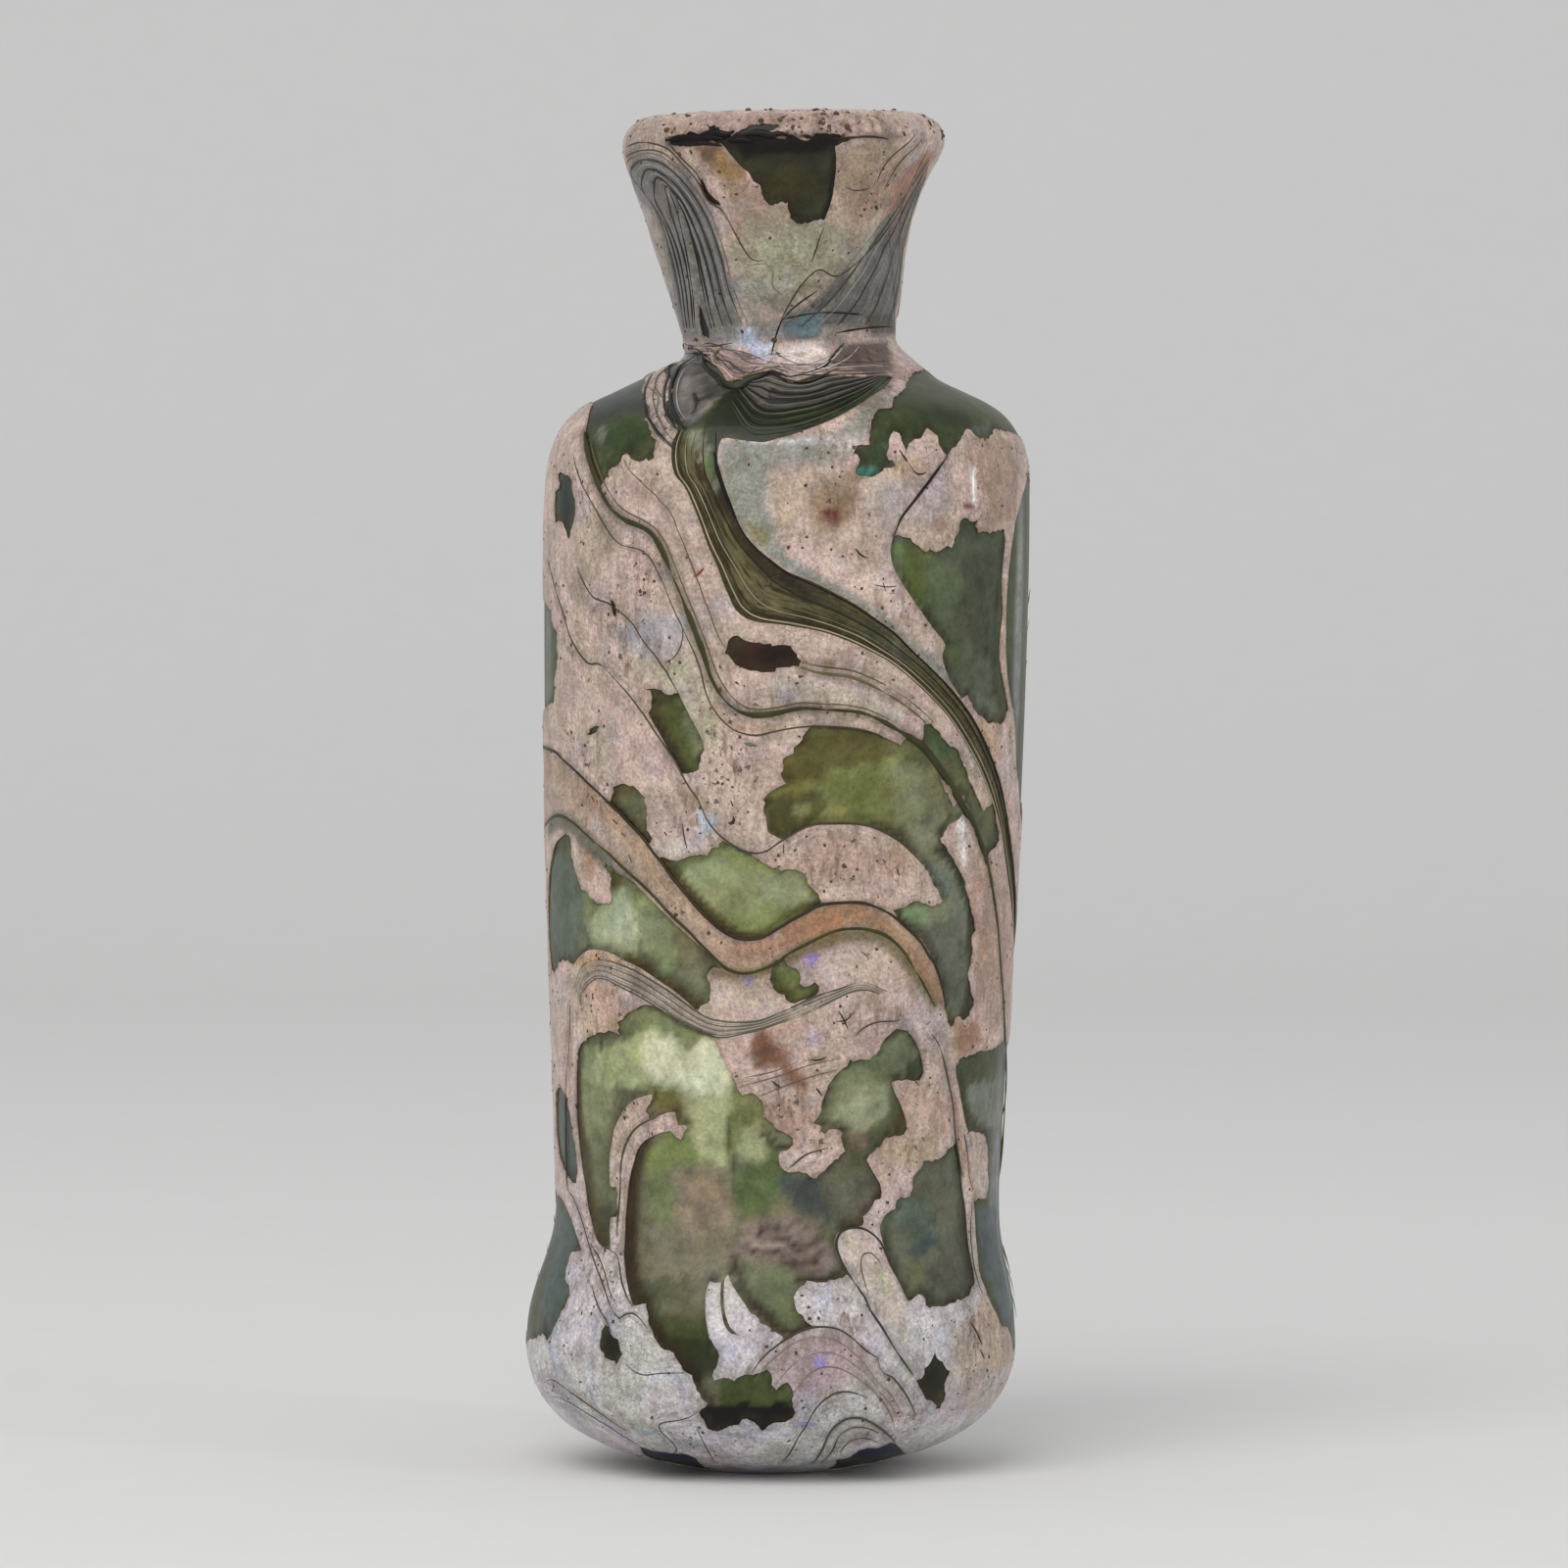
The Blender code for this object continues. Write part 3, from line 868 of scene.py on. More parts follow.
MARKS: tuple[FlowLine, ...] = (
    FlowLine(
        "-7.9,99.4 -7,99.2 -6.5,97.9 -5.5,97.2 -5,96.6 -4.3,96 -3.3,96 -2.5,96.6 -1.6,96.9 -0.8,97.4 "
        "0.2,97.2 1,96.9 2.5,97.2 4.1,97.8 5,98.9 5.9,99.9",
        0.36, "#262523",
    ),
    FlowLine("-5.8,99.2 -5.3,98.4 -4.3,98.2 -3.5,97.5 -2.5,97.2 -1.9,97.8", 0.26, "#4b4540"),
    FlowLine("-4.5,99.3 -3.5,98.9 -2.7,98.2 -1.6,98 -0.6,97.6", 0.2, "#6e645c"),
    FlowLine("-6.1,99.3 -5.8,98.2 -4.8,97.6 -4,96.8 -3.1,96.7", 0.16, "#cdb9ae"),
    FlowLine("-0.9,97.7 0.4,97.6 1.8,97.3 3.3,97.6 4.6,98.3 5.7,99.4", 0.2, "#cfc6bf"),
    FlowLine("-0.3,97.2 1,96.6 2.5,96.5 4.1,97.1 5.4,97.6", 0.3, "#3d3935"),
    FlowLine("-7.3,99 -8.4,98.1 -9.3,96.9 -9.6,95.5 -9.3,93.9 -8.7,92.8 -8.2,92.3", 0.36, "#2a2e30"),
    FlowLine("-6.7,98.7 -6.3,97.6 -5.4,96.7 -4.7,95.8", 0.3, "#2a2a28"),
    FlowLine("-7.8,93.5 -7.3,94.4 -7.5,95.5 -7.1,94.9 -6.4,95.2 -5.7,95.5", 0.26, "#33342c"),
    FlowLine("-8.2,97.7 -8.8,96.6 -9,95.3 -8.8,94 -8.2,93.1", 0.12, "#b3aea6"),
    FlowLine("-9,98.3 -9.8,97.2 -10.1,95.7 -10,94 -9.3,92.7 -8.8,92.1", 0.3, "#2e2b28"),
    FlowLine("-10,97.6 -10.8,96.4 -11.1,94.9 -10.7,93.4 -9.9,91.9 -9,91", 0.14, "#6a5f55"),
    FlowLine("-10.9,97.3 -11.6,96.3 -11.9,94.8 -11.5,93.2 -10.6,91.9 -9.4,90.7", 0.3, "#2e2b28"),
    FlowLine("-5.7,90.2 -5.4,88.7 -4.7,86.6 -3.7,84.3", 0.4, "#15160e"),
    FlowLine("-10,117.9 -8.6,118.1 -7.2,118 -6,118.1 -4.8,118", 0.8, "#120c08"),
    FlowLine("-6.9,118.4 -5.7,118.6 -4.6,118.4 -3.9,118.7", 0.8, "#140d09"),
    FlowLine("-9.4,117.5 -8,117.6 -6.4,117.5", 0.4, "#1c130d"),
    # Painted highlight: a white streak of reflected light, laid on as a thread.
    FlowLine("17.35,88.6 17.4,87.4 17.4,86.2", 0.3, "#fdfaf4"),
    FlowLine("-3,118.4 -1.6,118.6 -0.6,118.3 0.2,118.5 1.2,118.2", 0.6, "#1c130d"),
    FlowLine("2.2,118.3 3.1,118.1", 0.4, "#2a1c14"),
    FlowLine("-8.3,117.4 -6.6,117.6 -5,117.4", 0.45, "#2a1c14"),
    FlowLine("4.7,118 6.3,118.1 8.2,118.2 9.8,118", 0.24, "#3a2a1e"),
    FlowLine("-4.3,117.8 -3.2,117.9 -2.2,117.7", 0.6, "#0f0a07"),
    FlowLine("-8.5,57.1 -8.4,56.2 -8.1,54.9", 0.14, "#4a3a2c"),
    FlowLine("-13.3,54.4 -13,53.6", 0.14, "#4a3a2c"),
    FlowLine("7.4,45.7 7.8,45.5 8.1,45", 0.16, "#5a4636"),
    FlowLine("10.6,53.1 10.8,52.5", 0.42, "#2e2418"),
    FlowLine("-3,64.3 -2.5,64.2 -1.9,64.1", 0.4, "#6e6a58"),
    FlowLine("-4.2,59.2 -4,58.7", 0.4, "#3b2f22"),
    FlowLine("-10.1,56.4 -9.9,56.1", 0.36, "#2e2418"),
    FlowLine("-16.6,59.6 -16.4,59.1", 0.3, "#3b2f22"),
    FlowLine("-14.7,57.5 -14.3,57.1", 0.34, "#3b2f22"),
    FlowLine("-13.9,56.3 -13.6,56", 0.3, "#2e2418"),
    FlowLine("-3.9,66.9 -3.7,66.8", 0.4, "#2a2018"),
    FlowLine("0.5,55.3 0.5,54.5", 0.24, "#3b2f22"),
    FlowLine("8.6,78.4 9.6,78.2 10.6,78.3", 0.12, "#3b2f22"),
    FlowLine("9.3,78.7 9.6,77.8", 0.12, "#3b2f22"),
    FlowLine("10.8,90.4 11.6,89.2 12.4,88.2 13.2,88.4", 0.24, "#3a2a1c"),
    FlowLine("6.9,81.6 7.4,81 8,80.8", 0.22, "#3a2a1c"),
    FlowLine("17.2,12.6 17.8,11.6 18.2,10.6", 0.34, "#4a3a34"),
    FlowLine("18,10.2 18.4,9.4", 0.26, "#4a3a34"),
    FlowLine("-14.8,77 -14.6,76.4 -14.5,75.6", 0.56, "#17110e"),
    FlowLine("-7.5,79.1 -7,79.4 -6.6,79.9", 0.2, "#7a3c24"),
    FlowLine("-11.9,40.9 -9.6,40 -7,38.8 -5.2,37.9", 0.12, "#5f5a44"),
    FlowLine("3.4,33.6 3.9,32.9", 0.2, "#3a2a1c"),
    FlowLine("5.4,40.4 5.8,39.8 6.2,38.9", 0.16, "#2e2418"),
    FlowLine("6.6,40.2 6.1,39.6 5.2,39.5", 0.16, "#2e2418"),
    FlowLine("13.2,39.2 13.6,39.5", 0.16, "#3a2a1c"),
    FlowLine("12.2,34.2 12.6,33.8", 0.3, "#5a4a44"),
    FlowLine("-0.6,34.2 0.2,33.6", 0.2, "#3a2a1c"),
)

FLOW_BANDS: tuple[FlowBand, ...] = (
    FlowBand(
        ARM_TOP,
        ARM_MIDDLE,
        (
            (0.02, 0.3, "#23211f"),
            (0.16, 0.12, "#8f8880"),
            (0.27, 0.24, "#2b2926"),
            (0.4, 0.12, "#7d766f"),
            (0.52, 0.3, "#262421"),
            (0.66, 0.12, "#746d66"),
            (0.78, 0.26, "#22211d"),
            (0.92, 0.12, "#6f6a62"),
        ),
        sunk=0.13,
        wander=0.12,
    ),
    FlowBand(
        ARM_MIDDLE,
        ARM_FOOT,
        (
            (0.1, 0.26, "#15170d"),
            (0.26, 0.1, "#6a6b5a"),
            (0.42, 0.2, "#15180c"),
            (0.58, 0.08, "#4f5640"),
            (0.72, 0.18, "#14180b"),
            (0.86, 0.1, "#5c614c"),
            (1.0, 0.12, "#3d4530"),
        ),
        sunk=0.13,
        wander=0.1,
    ),
    FlowBand(
        RIBBON_LEFT,
        RIBBON_RIGHT,
        (
            (0.03, 0.12, "#4a4222"),
            (0.1, 0.14, "#b3a58b"),
            (0.16, 0.1, "#3a3018"),
            (0.31, 0.1, "#a39a7c"),
            (0.46, 0.08, "#757150"),
            (0.7, 0.1, "#2e2514"),
            (0.95, 0.14, "#1f1710"),
        ),
        sunk=0.13,
        wander=0.2,
    ),
    FlowBand(
        COLLAR_TOP,
        COLLAR_FOOT,
        ((0.1, 0.1, "#4f4641"), (0.4, 0.08, "#cdbdb4"), (0.7, 0.1, "#58504a"), (0.95, 0.1, "#3c3835")),
        wander=0.5,
    ),
    FlowBand(
        CLUSTER_TOP,
        CLUSTER_FOOT,
        (
            (0.0, 0.2, "#5c574a"),
            (0.16, 0.1, "#a3998a"),
            (0.3, 0.13, "#6a6355"),
            (0.45, 0.1, "#ada294"),
            (0.58, 0.12, "#756d5f"),
            (0.72, 0.1, "#aba091"),
            (0.86, 0.12, "#6e6759"),
            (1.0, 0.14, "#5c5544"),
        ),
        wander=0.06,
    ),
    FlowBand(
        LOOP_OUTER,
        LOOP_INNER,
        (
            (-0.16, 0.12, "#716c66"),
            (0.0, 0.3, "#474745"),
            (0.14, 0.14, "#9a9892"),
            (0.28, 0.3, "#333434"),
            (0.42, 0.12, "#8e8d88"),
            (0.56, 0.3, "#2e2f2f"),
            (0.7, 0.12, "#93918b"),
            (0.84, 0.28, "#292a2a"),
            (0.97, 0.2, "#1b1d1d"),
        ),
        wander=0.05,
    ),
    FlowBand(
        SWEEP_UPPER,
        SWEEP_LOWER,
        (
            (0.02, 0.16, "#77746c"),
            (0.14, 0.3, "#4a4946"),
            (0.26, 0.12, "#918e86"),
            (0.4, 0.26, "#3f403e"),
            (0.52, 0.12, "#8a8880"),
            (0.64, 0.28, "#474846"),
            (0.78, 0.14, "#8a8982"),
            (0.92, 0.24, "#4c4d4b"),
        ),
        wander=0.2,
    ),
    FlowBand(
        "-2.1,7.3 -1.2,8.6 0,9.7 1,10.5 2.1,11 3.2,11.3 4.2,11.3 5.2,11 6.1,10.4 7,9.6 7.8,8.9 8.4,8 9,7.1 "
        "9.9,6.4 10.6,5.3 11.2,4.2",
        "0.9,5.6 1.8,6.9 2.8,8 4,8.6 5.2,8.6 6.3,8.1 7.4,7.4 8.4,6.6 9.3,5.6 10,4.4 10.4,3.2",
        ((0.0, 0.1, "#847b74"), (0.5, 0.1, "#8b827c"), (1.0, 0.1, "#7d746d")),
    ),
)

BACK_BANDS: tuple[FlowBand, ...] = (
    FlowBand(
        BACK_FLOW_TOP,
        BACK_FLOW_FOOT,
        ((0.0, 0.3, "#3a3020"), (0.5, 0.12, "#6a5f4a"), (0.62, 0.12, "#6a5f4a"), (1.0, 0.45, "#6e6a34")),
    ),
    FlowBand(
        "R 92,78 106,74 122,76 138,83 152,87 168,85 184,79 200,74 216,73 232,77 246,81 262,80.5",
        "R 96,69 110,65 126,67 142,74 156,79 170,77 186,70 202,65 218,64 234,67 248,70 262,70",
        ((0.0, 0.16, "#4b4234"), (0.3, 0.1, "#77705f"), (0.7, 0.14, "#5b523f"), (1.0, 0.3, "#3f3d22")),
    ),
    FlowBand(
        "R 88,17 102,20 118,17 136,12 152,13 168,19 184,24 200,23 216,17 232,14 248,18 266,22",
        "R 92,9 106,12 122,10 138,6 154,6.5 170,11 186,15 202,15 218,10 234,7.5 250,9 264,12",
        ((0.0, 0.16, "#4b4234"), (0.25, 0.1, "#847b74"), (0.5, 0.1, "#847b74"), (1.0, 0.2, "#57554b")),
    ),
    FlowBand(
        "R 106,98.5 122,97 138,95.5 154,96 170,97.8 186,98 202,96.6 218,95.4 234,96 250,97.6",
        "R 108,93.5 124,91 140,89.5 156,91 172,93.5 188,94 204,92 220,89.5 236,88.5 250,90",
        ((0.0, 0.14, "#5a5148"), (0.35, 0.12, "#857d73"), (0.55, 0.12, "#857d73"), (1.0, 0.2, "#4b4234")),
    ),
    FlowBand(
        "R 92,116 106,112 120,107 134,104 150,104 166,108 182,112 198,114 214,112 230,107 246,103",
        "R 96,109 112,105 126,102 140,100.8 156,101 172,103 188,106 204,108 220,106 236,102.4 250,100.8",
        ((0.0, 0.16, "#55534e"), (0.3, 0.24, "#85837d"), (0.6, 0.14, "#4b4a46"), (1.0, 0.2, "#6e6d68")),
    ),
    FlowBand(
        "R 100,46 114,52 130,60 146,66 162,67 178,64 194,63 210,66 226,69 242,68 256,66",
        "R 104,41 118,47 134,55 150,61 166,62 182,59.5 198,58.5 214,61 230,63.5 246,64.5 258,64",
        ((0.0, 0.14, "#6a5746"), (1.0, 0.16, "#4b4234")),
    ),
)


CRUST_MARBLING: tuple[Marbling, ...] = (
    Marbling(PEACH_TOP, PEACH_FOOT, "#b39c8b", "#ab8a70", 0.6, 0.7, fade=0.3),
    Marbling(CLUSTER_TOP, CLUSTER_FOOT, "#b9ac9e", "#857c70", 0.7, 0.16, fade=0.2),
    Marbling(COLLAR_TOP, COLLAR_FOOT, "#c0aaa0", "#6b5c55", 0.9, 0.22, fade=0.3, ends=1.0),
    Marbling(LOOP_OUTER, LOOP_INNER, "#737169", "#262828", 0.95, 0.4, fade=0.25, ends=1.0),
    Marbling(SWEEP_UPPER, SWEEP_LOWER, "#7d7b75", "#3a3c3d", 0.95, 0.4, fade=0.4, ends=1.0),
    Marbling(HEEL_ARCH, HEEL_INNER, "#b5a8a6", "#8d817c", 0.6, 0.4),
    Marbling(BACK_FLOW_TOP, BACK_FLOW_FOOT, "#b39a88", "#a27651", 0.6, 0.7),
)

FILM_MARBLING: tuple[Marbling, ...] = (
    Marbling(ARM_TOP, ARM_MIDDLE, "#68635d", "#262421", 0.95, 0.28, 0.96, fade=0.15, ends=0.6),
    Marbling(ARM_MIDDLE, ARM_FOOT, "#2c3518", "#171c0b", 0.9, 0.22, 0.96, fade=0.15, ends=0.6),
    Marbling(RIBBON_LEFT, RIBBON_RIGHT, "#68643f", "#332b17", 0.95, 0.24, 0.94, fade=0.2),
)

CRUST_DABS: tuple[Dab, ...] = (
    Dab((0, 119.6), (16, 1.4), "#a1897d", 0.8),
    Dab((2.5, 107.5), (7, 4.5), "#98937f", 0.85),
    Dab((-2.5, 104.5), (3, 3), "#97968a", 0.8),
    Dab((-0.5, 111), (2.6, 1.5), "#9f987c", 0.7),
    Dab((8.6, 113.5), (3.4, 3), "#a4836f", 0.85),
    Dab((11.6, 111), (2, 4), "#a07b64", 0.8, turn=-25),
    Dab((-5.2, 115.8), (2.4, 1.2), "#9c7648", 0.85, turn=-50),
    Dab((-3.4, 113), (1.4, 2.2), "#a1866a", 0.8, turn=25),
    Dab((-3.2, 110), (1.6, 2.4), "#a8907e", 0.7),
    Dab((-12.6, 116.6), (3, 1.4), "#7a7267", 0.85),
    Dab((-11.6, 109.5), (1.4, 3.6), "#a09b98", 0.8, turn=12),
    Dab((-9.8, 104), (1.3, 3), "#85827f", 0.8),
    Dab((2, 101.2), (3, 1), "#6b818b", 0.85),
    Dab((6.5, 101.4), (3, 0.9), "#6f6e6c", 0.6),
    # Pale pearly crust brightened into painted highlights (these two dabs).
    Dab((-3, 100.4), (3, 0.9), "#c9ced6", 0.9),
    Dab((3.6, 110.5), (0.8, 0.35), "#cfdfe4", 0.9),
    Dab((8, 98.8), (3, 1.8), "#78594a", 0.9),
    Dab((10.4, 97.4), (2, 1.5), "#8a7263", 0.7),
    Dab((-2.8, 87), (2, 5.5), "#86897e", 0.95, turn=-14),
    Dab((1.5, 90.3), (5.4, 1.5), "#8d8f88", 0.95),
    Dab((4.6, 85.8), (2.2, 2.5), "#8b7450", 0.85),
    Dab((9.5, 86), (1.8, 2), "#a69fa6", 0.5),
    Dab((8.6, 82), (3, 2.5), "#b0988f", 0.5),
    Dab((12, 88.4), (2.2, 1.5), "#b59a78", 0.75),
    Dab((14.4, 83.8), (0.8, 0.8), "#9a7058", 0.7),
    Dab((18.8, 86), (1.4, 4), "#a48d7c", 0.7),
    Dab((-11.4, 74.4), (3.2, 2.4), "#aaaaad", 0.6),
    Dab((-14.7, 76.4), (0.45, 0.8), "#1c1614", 0.95),
    Dab((-12.5, 71), (2.2, 1.5), "#b3ad99", 0.6),
    Dab((-15.5, 83), (2.4, 2.6), "#9a8a7e", 0.6),
    Dab((-12, 87), (2, 2), "#b59c92", 0.6),
    Dab((-17.5, 79), (1.6, 4), "#a99586", 0.6),
    Dab((4.5, 71.3), (0.8, 0.6), "#786528", 0.9),
    Dab((-7, 79.6), (0.7, 0.3), "#8a4a2e", 0.8, turn=30),
    Dab((-15.5, 64), (2.6, 3), "#b5aaa0", 0.6),
    Dab((-9, 59), (3, 2), "#b1a197", 0.6),
    Dab((-1.5, 61.8), (2, 2), "#b09a90", 0.6),
    Dab((4.5, 54), (4.5, 2.4), "#b09486", 0.7),
    Dab((10.5, 53.8), (2.4, 1.6), "#ad8c76", 0.7),
    Dab((5.6, 49), (4, 1), "#a07850", 0.8, turn=10),
    Dab((12.6, 45.6), (1.2, 2.4), "#b28a66", 0.8, turn=-20),
    Dab((-13, 55.4), (2, 1), "#b59d8a", 0.6, turn=-45),
    Dab((17.6, 52), (0.9, 5), "#b0937e", 0.7),
    Dab((18.2, 44), (1.2, 5), "#b08e76", 0.7),
    Dab((16.7, 37.9), (1.8, 1.5), "#a17c60", 0.6),
    Dab((-16.8, 53.8), (1.2, 1.6), "#b28f72", 0.8),
    Dab((-15.5, 42), (2.6, 1.2), "#bd9c7c", 0.75),
    Dab((0, 43), (5, 1.6), "#ae9c92", 0.5),
    Dab((-1.1, 37.4), (1, 1.5), "#774426", 0.95, turn=15),
    Dab((0, 36.4), (1.2, 1.1), "#865133", 0.9),
    Dab((1.6, 34.7), (1.6, 0.6), "#8a5736", 0.85, turn=-35),
    Dab((1, 38.8), (2, 0.8), "#b28e7e", 0.6),
    Dab((0.5, 31.2), (2.6, 2.4), "#ab8c80", 0.75),
    Dab((9.4, 27), (1.6, 2), "#b5978a", 0.6),
    Dab((14.4, 31), (1.6, 3), "#b39a8a", 0.6),
    Dab((-18.6, 37), (0.8, 4), "#ab9484", 0.7),
    Dab((-12.5, 7), (7.5, 5.5), "#d0d0cf", 0.75),
    Dab((-19, 6), (2, 4), "#a9aaae", 0.6),
    Dab((4, 8.6), (5, 3), "#b09fa3", 0.7),
    Dab((-9, 1.7), (4, 1), "#93a3a8", 0.6),
    Dab((-12, 2.9), (1.5, 0.3), "#72b0c8", 0.8, turn=-10),
    Dab((6.4, 2.4), (3, 1.6), "#8f8d8e", 0.6),
    Dab((17, 9), (3, 6), "#b1a198", 0.6),
    Dab((175, 84), (6, 3), "#a7adb6", 0.7, round=True),
    Dab((150, 68), (4, 5), "#b08e70", 0.6, round=True),
    Dab((-140, 62), (5, 3), "#a58872", 0.6, round=True),
    Dab((-165, 29), (4, 4), "#ab9a90", 0.6, round=True),
    Dab((120, 70), (4, 6), "#b5ad99", 0.6, round=True),
    Dab((-120, 36), (3, 5), "#a8734c", 0.6, round=True),
    Dab((170, 42), (1.4, 1), "#774426", 0.8, round=True),
    Dab((-150, 86), (1, 1), "#6e201a", 0.7, round=True),
    Dab((160, 109), (8, 4), "#a3a080", 0.7, round=True),
    Dab((-120, 112), (6, 4), "#98979a", 0.7, round=True),
    Dab((110, 110), (4, 5), "#a07b64", 0.6, round=True),
    Dab((165, 12), (7, 5), "#b3b1ae", 0.6, round=True),
)

FILM_DABS: tuple[Dab, ...] = (
    Dab((-1, 116), (9, 6), "#15150f", cover=0.94),
    Dab((0.6, 113.5), (2.6, 1.9), "#413f1b", cover=0.88),
    Dab((-2, 115.6), (1.6, 1.2), "#26260f", cover=0.92),
    Dab((-6.1, 113.2), (1.5, 1.6), "#1c150f", cover=0.95),
    Dab((-6.6, 101.8), (1.2, 2), "#16272b", cover=0.95),
    Dab((-13.6, 91.4), (2.4, 1.8), "#36451f", cover=0.85),
    Dab((-13, 96.9), (6, 1.4), "#56605a", cover=0.85),
    Dab((-95, 96), (8, 3), "#4d574c", cover=0.8, round=True),
    Dab((12.5, 94), (7.5, 4.5), "#43532a", cover=0.82),
    Dab((15, 93.6), (3, 1.5), "#2c3a1a", cover=0.9),
    Dab((15, 96.8), (4.5, 1.1), "#59625a", cover=0.85),
    Dab((92, 94.5), (7, 4), "#4d5a40", cover=0.8, round=True),
    Dab((-8, 96), (2.6, 4.5), "#7c7c73", cover=0.94),
    Dab((-7, 98.6), (2.4, 0.8), "#9a948c", cover=0.94),
    Dab((-1, 92.6), (5, 1.6), "#2b3318", cover=0.93),
    Dab((-7.3, 89.6), (2.4, 3.4), "#49572e", cover=0.9),
    Dab((-6.5, 85), (2, 3), "#45472a", cover=0.92),
    Dab((-19.1, 85.5), (1.8, 3.6), "#22302c", cover=0.93),
    Dab((-20.6, 72), (1.6, 7), "#6c766e", cover=0.88),
    Dab((-100, 72), (4, 6), "#6a7362", cover=0.75, round=True),
    Dab((17, 75.5), (5.5, 10), "#56604a", cover=0.88),
    Dab((12.6, 79), (2.2, 4), "#5f7038", cover=0.85),
    Dab((15.6, 72.5), (1.5, 3), "#4c5a38", 0.8, 0.9),
    # Painted shadow of the crust's edge on the bare glass.
    Dab((19.4, 75), (0.6, 10), "#39422f", 0.9, 0.93),
    Dab((21.6, 75), (1.3, 15), "#8e9996", cover=0.9),
    Dab((97, 74), (4, 13), "#7c8878", cover=0.75, round=True),
    Dab((-0.9, 72.2), (5.5, 2.6), "#3a2318", cover=0.97),
    Dab((-2, 51), (11, 5), "#8b9a5c", cover=0.85),
    Dab((-6.4, 51.6), (2.8, 2), "#abb87e", cover=0.82),
    Dab((-9.4, 53.3), (1.6, 0.8), "#55653a", cover=0.9),
    Dab((2.4, 50.8), (1.6, 1.6), "#76813f", cover=0.88),
    Dab((5, 61), (9, 6), "#7f8648", cover=0.86),
    Dab((1, 62.6), (2.6, 3), "#6a662a", cover=0.9),
    Dab((6.5, 61.6), (3.4, 3.2), "#90985c", cover=0.84),
    Dab((6, 64.8), (5.5, 0.9), "#565326", cover=0.9),
    Dab((15, 51), (4, 12), "#7f8868", cover=0.86),
    Dab((16.2, 46), (1.6, 6), "#7b8470", cover=0.88),
    # Painted shadow of the crust's edge on the bare glass.
    Dab((17.1, 47), (0.5, 7), "#382f1c", 0.85, 0.93),
    Dab((-16, 50), (6, 7), "#77855a", cover=0.85),
    Dab((-14.4, 47.8), (2.8, 2.4), "#c3d09c", cover=0.72),
    Dab((-12.4, 49.4), (1.8, 1.4), "#9bab6c", cover=0.8),
    Dab((-9.4, 46.6), (3, 1.6), "#868f4a", cover=0.85, turn=-40),
    Dab((-19, 29.5), (1.2, 5), "#5b6a64", cover=0.9),
    Dab((-6, 24), (13, 22), "#7d7f63", cover=0.86),
    # Painted glow of light shining through the glass from behind, on a pale patch of film (these three dabs).
    Dab((-8, 36), (4.4, 3.2), "#dbe5bb", cover=0.7),
    Dab((-6, 33), (2.6, 2.6), "#c6d2a0", cover=0.75),
    Dab((-12.2, 36.8), (2, 1.6), "#a9b877", cover=0.8),
    Dab((-10.6, 32.6), (2.4, 1), "#5f6a36", cover=0.88),
    Dab((-0.8, 26.5), (1.5, 2.4), "#5e7443", cover=0.9),
    Dab((-8, 22.5), (4, 4), "#88806a", cover=0.88),
    Dab((-2.6, 23.6), (2.4, 1.8), "#5f6e3f", cover=0.9),
    Dab((3, 24), (2.2, 1.8), "#28322e", cover=0.94),
    Dab((7.4, 32.6), (3, 3), "#8a986e", cover=0.86),
    Dab((9.6, 36.4), (2.2, 1.6), "#6a7955", cover=0.9),
    Dab((2, 17.8), (2, 0.8), "#4c4038", cover=0.93),
    Dab((-2, 15), (3, 1.6), "#5a693c", cover=0.9),
    Dab((0.6, 13.4), (2, 1.2), "#434d2c", cover=0.92),
    Dab((-9.5, 15.5), (3.4, 2.4), "#52603a", cover=0.88),
    Dab((-8.2, 11), (3.2, 3), "#39441f", cover=0.92),
    # Painted shadow of the crust's edge on the bare glass.
    Dab((-12.9, 21), (0.5, 8), "#4a3f26", 0.9, 0.94),
    Dab((13.6, 21), (5, 9), "#5a6552", cover=0.88),
    # Painted shadow of the crust's edge on the bare glass.
    Dab((16.8, 20), (0.5, 8), "#35301f", 0.85, 0.93),
    Dab((19.6, 27), (2.2, 12), "#76807a", cover=0.9),
    Dab((20.4, 14), (1.6, 3), "#48565a", cover=0.92),
    Dab((97, 22), (4, 14), "#66725e", cover=0.75, round=True),
    Dab((-20, 17.5), (1.8, 7), "#55605e", cover=0.9),
    Dab((-20.6, 12.4), (1.4, 1.6), "#2c363a", cover=0.93),
    Dab((-14.9, 10.6), (1.6, 2.2), "#1e2015", cover=0.94),
    Dab((14.1, 7.5), (2, 3.2), "#222418", cover=0.94),
    Dab((1.4, 43), (2.8, 2.4), "#687236", cover=0.88),
    Dab((-9.6, 0.6), (5, 2), "#0d1542", cover=0.99),
    Dab((8.4, 0.8), (5, 2), "#0d1542", cover=0.99),
    Dab((161, 61), (4, 5), "#7b8450", cover=0.86, round=True),
    Dab((-158, 38), (3, 4), "#8b9464", cover=0.84, round=True),
    Dab((-136, 48), (3, 4), "#5d6c3e", cover=0.88, round=True),
    Dab((147, 79), (2, 3), "#3d4b2b", cover=0.9, round=True),
    Dab((147, 18), (3, 3), "#66744e", cover=0.87, round=True),
    Dab((-163, 22), (3, 2), "#6f7754", cover=0.88, round=True),
    Dab((-130, 20), (3, 5), "#4c5c4a", cover=0.88, round=True),
    Dab((118, 52), (3, 5), "#6c7848", cover=0.87, round=True),
    Dab((-122, 84), (2, 4), "#36442c", cover=0.9, round=True),
    Dab((163, 91), (3, 2), "#56643a", cover=0.88, round=True),
    Dab((-150, 110), (5, 3), "#45461f", cover=0.9, round=True),
    Dab((140, 106), (3, 3), "#26260f", cover=0.92, round=True),
)

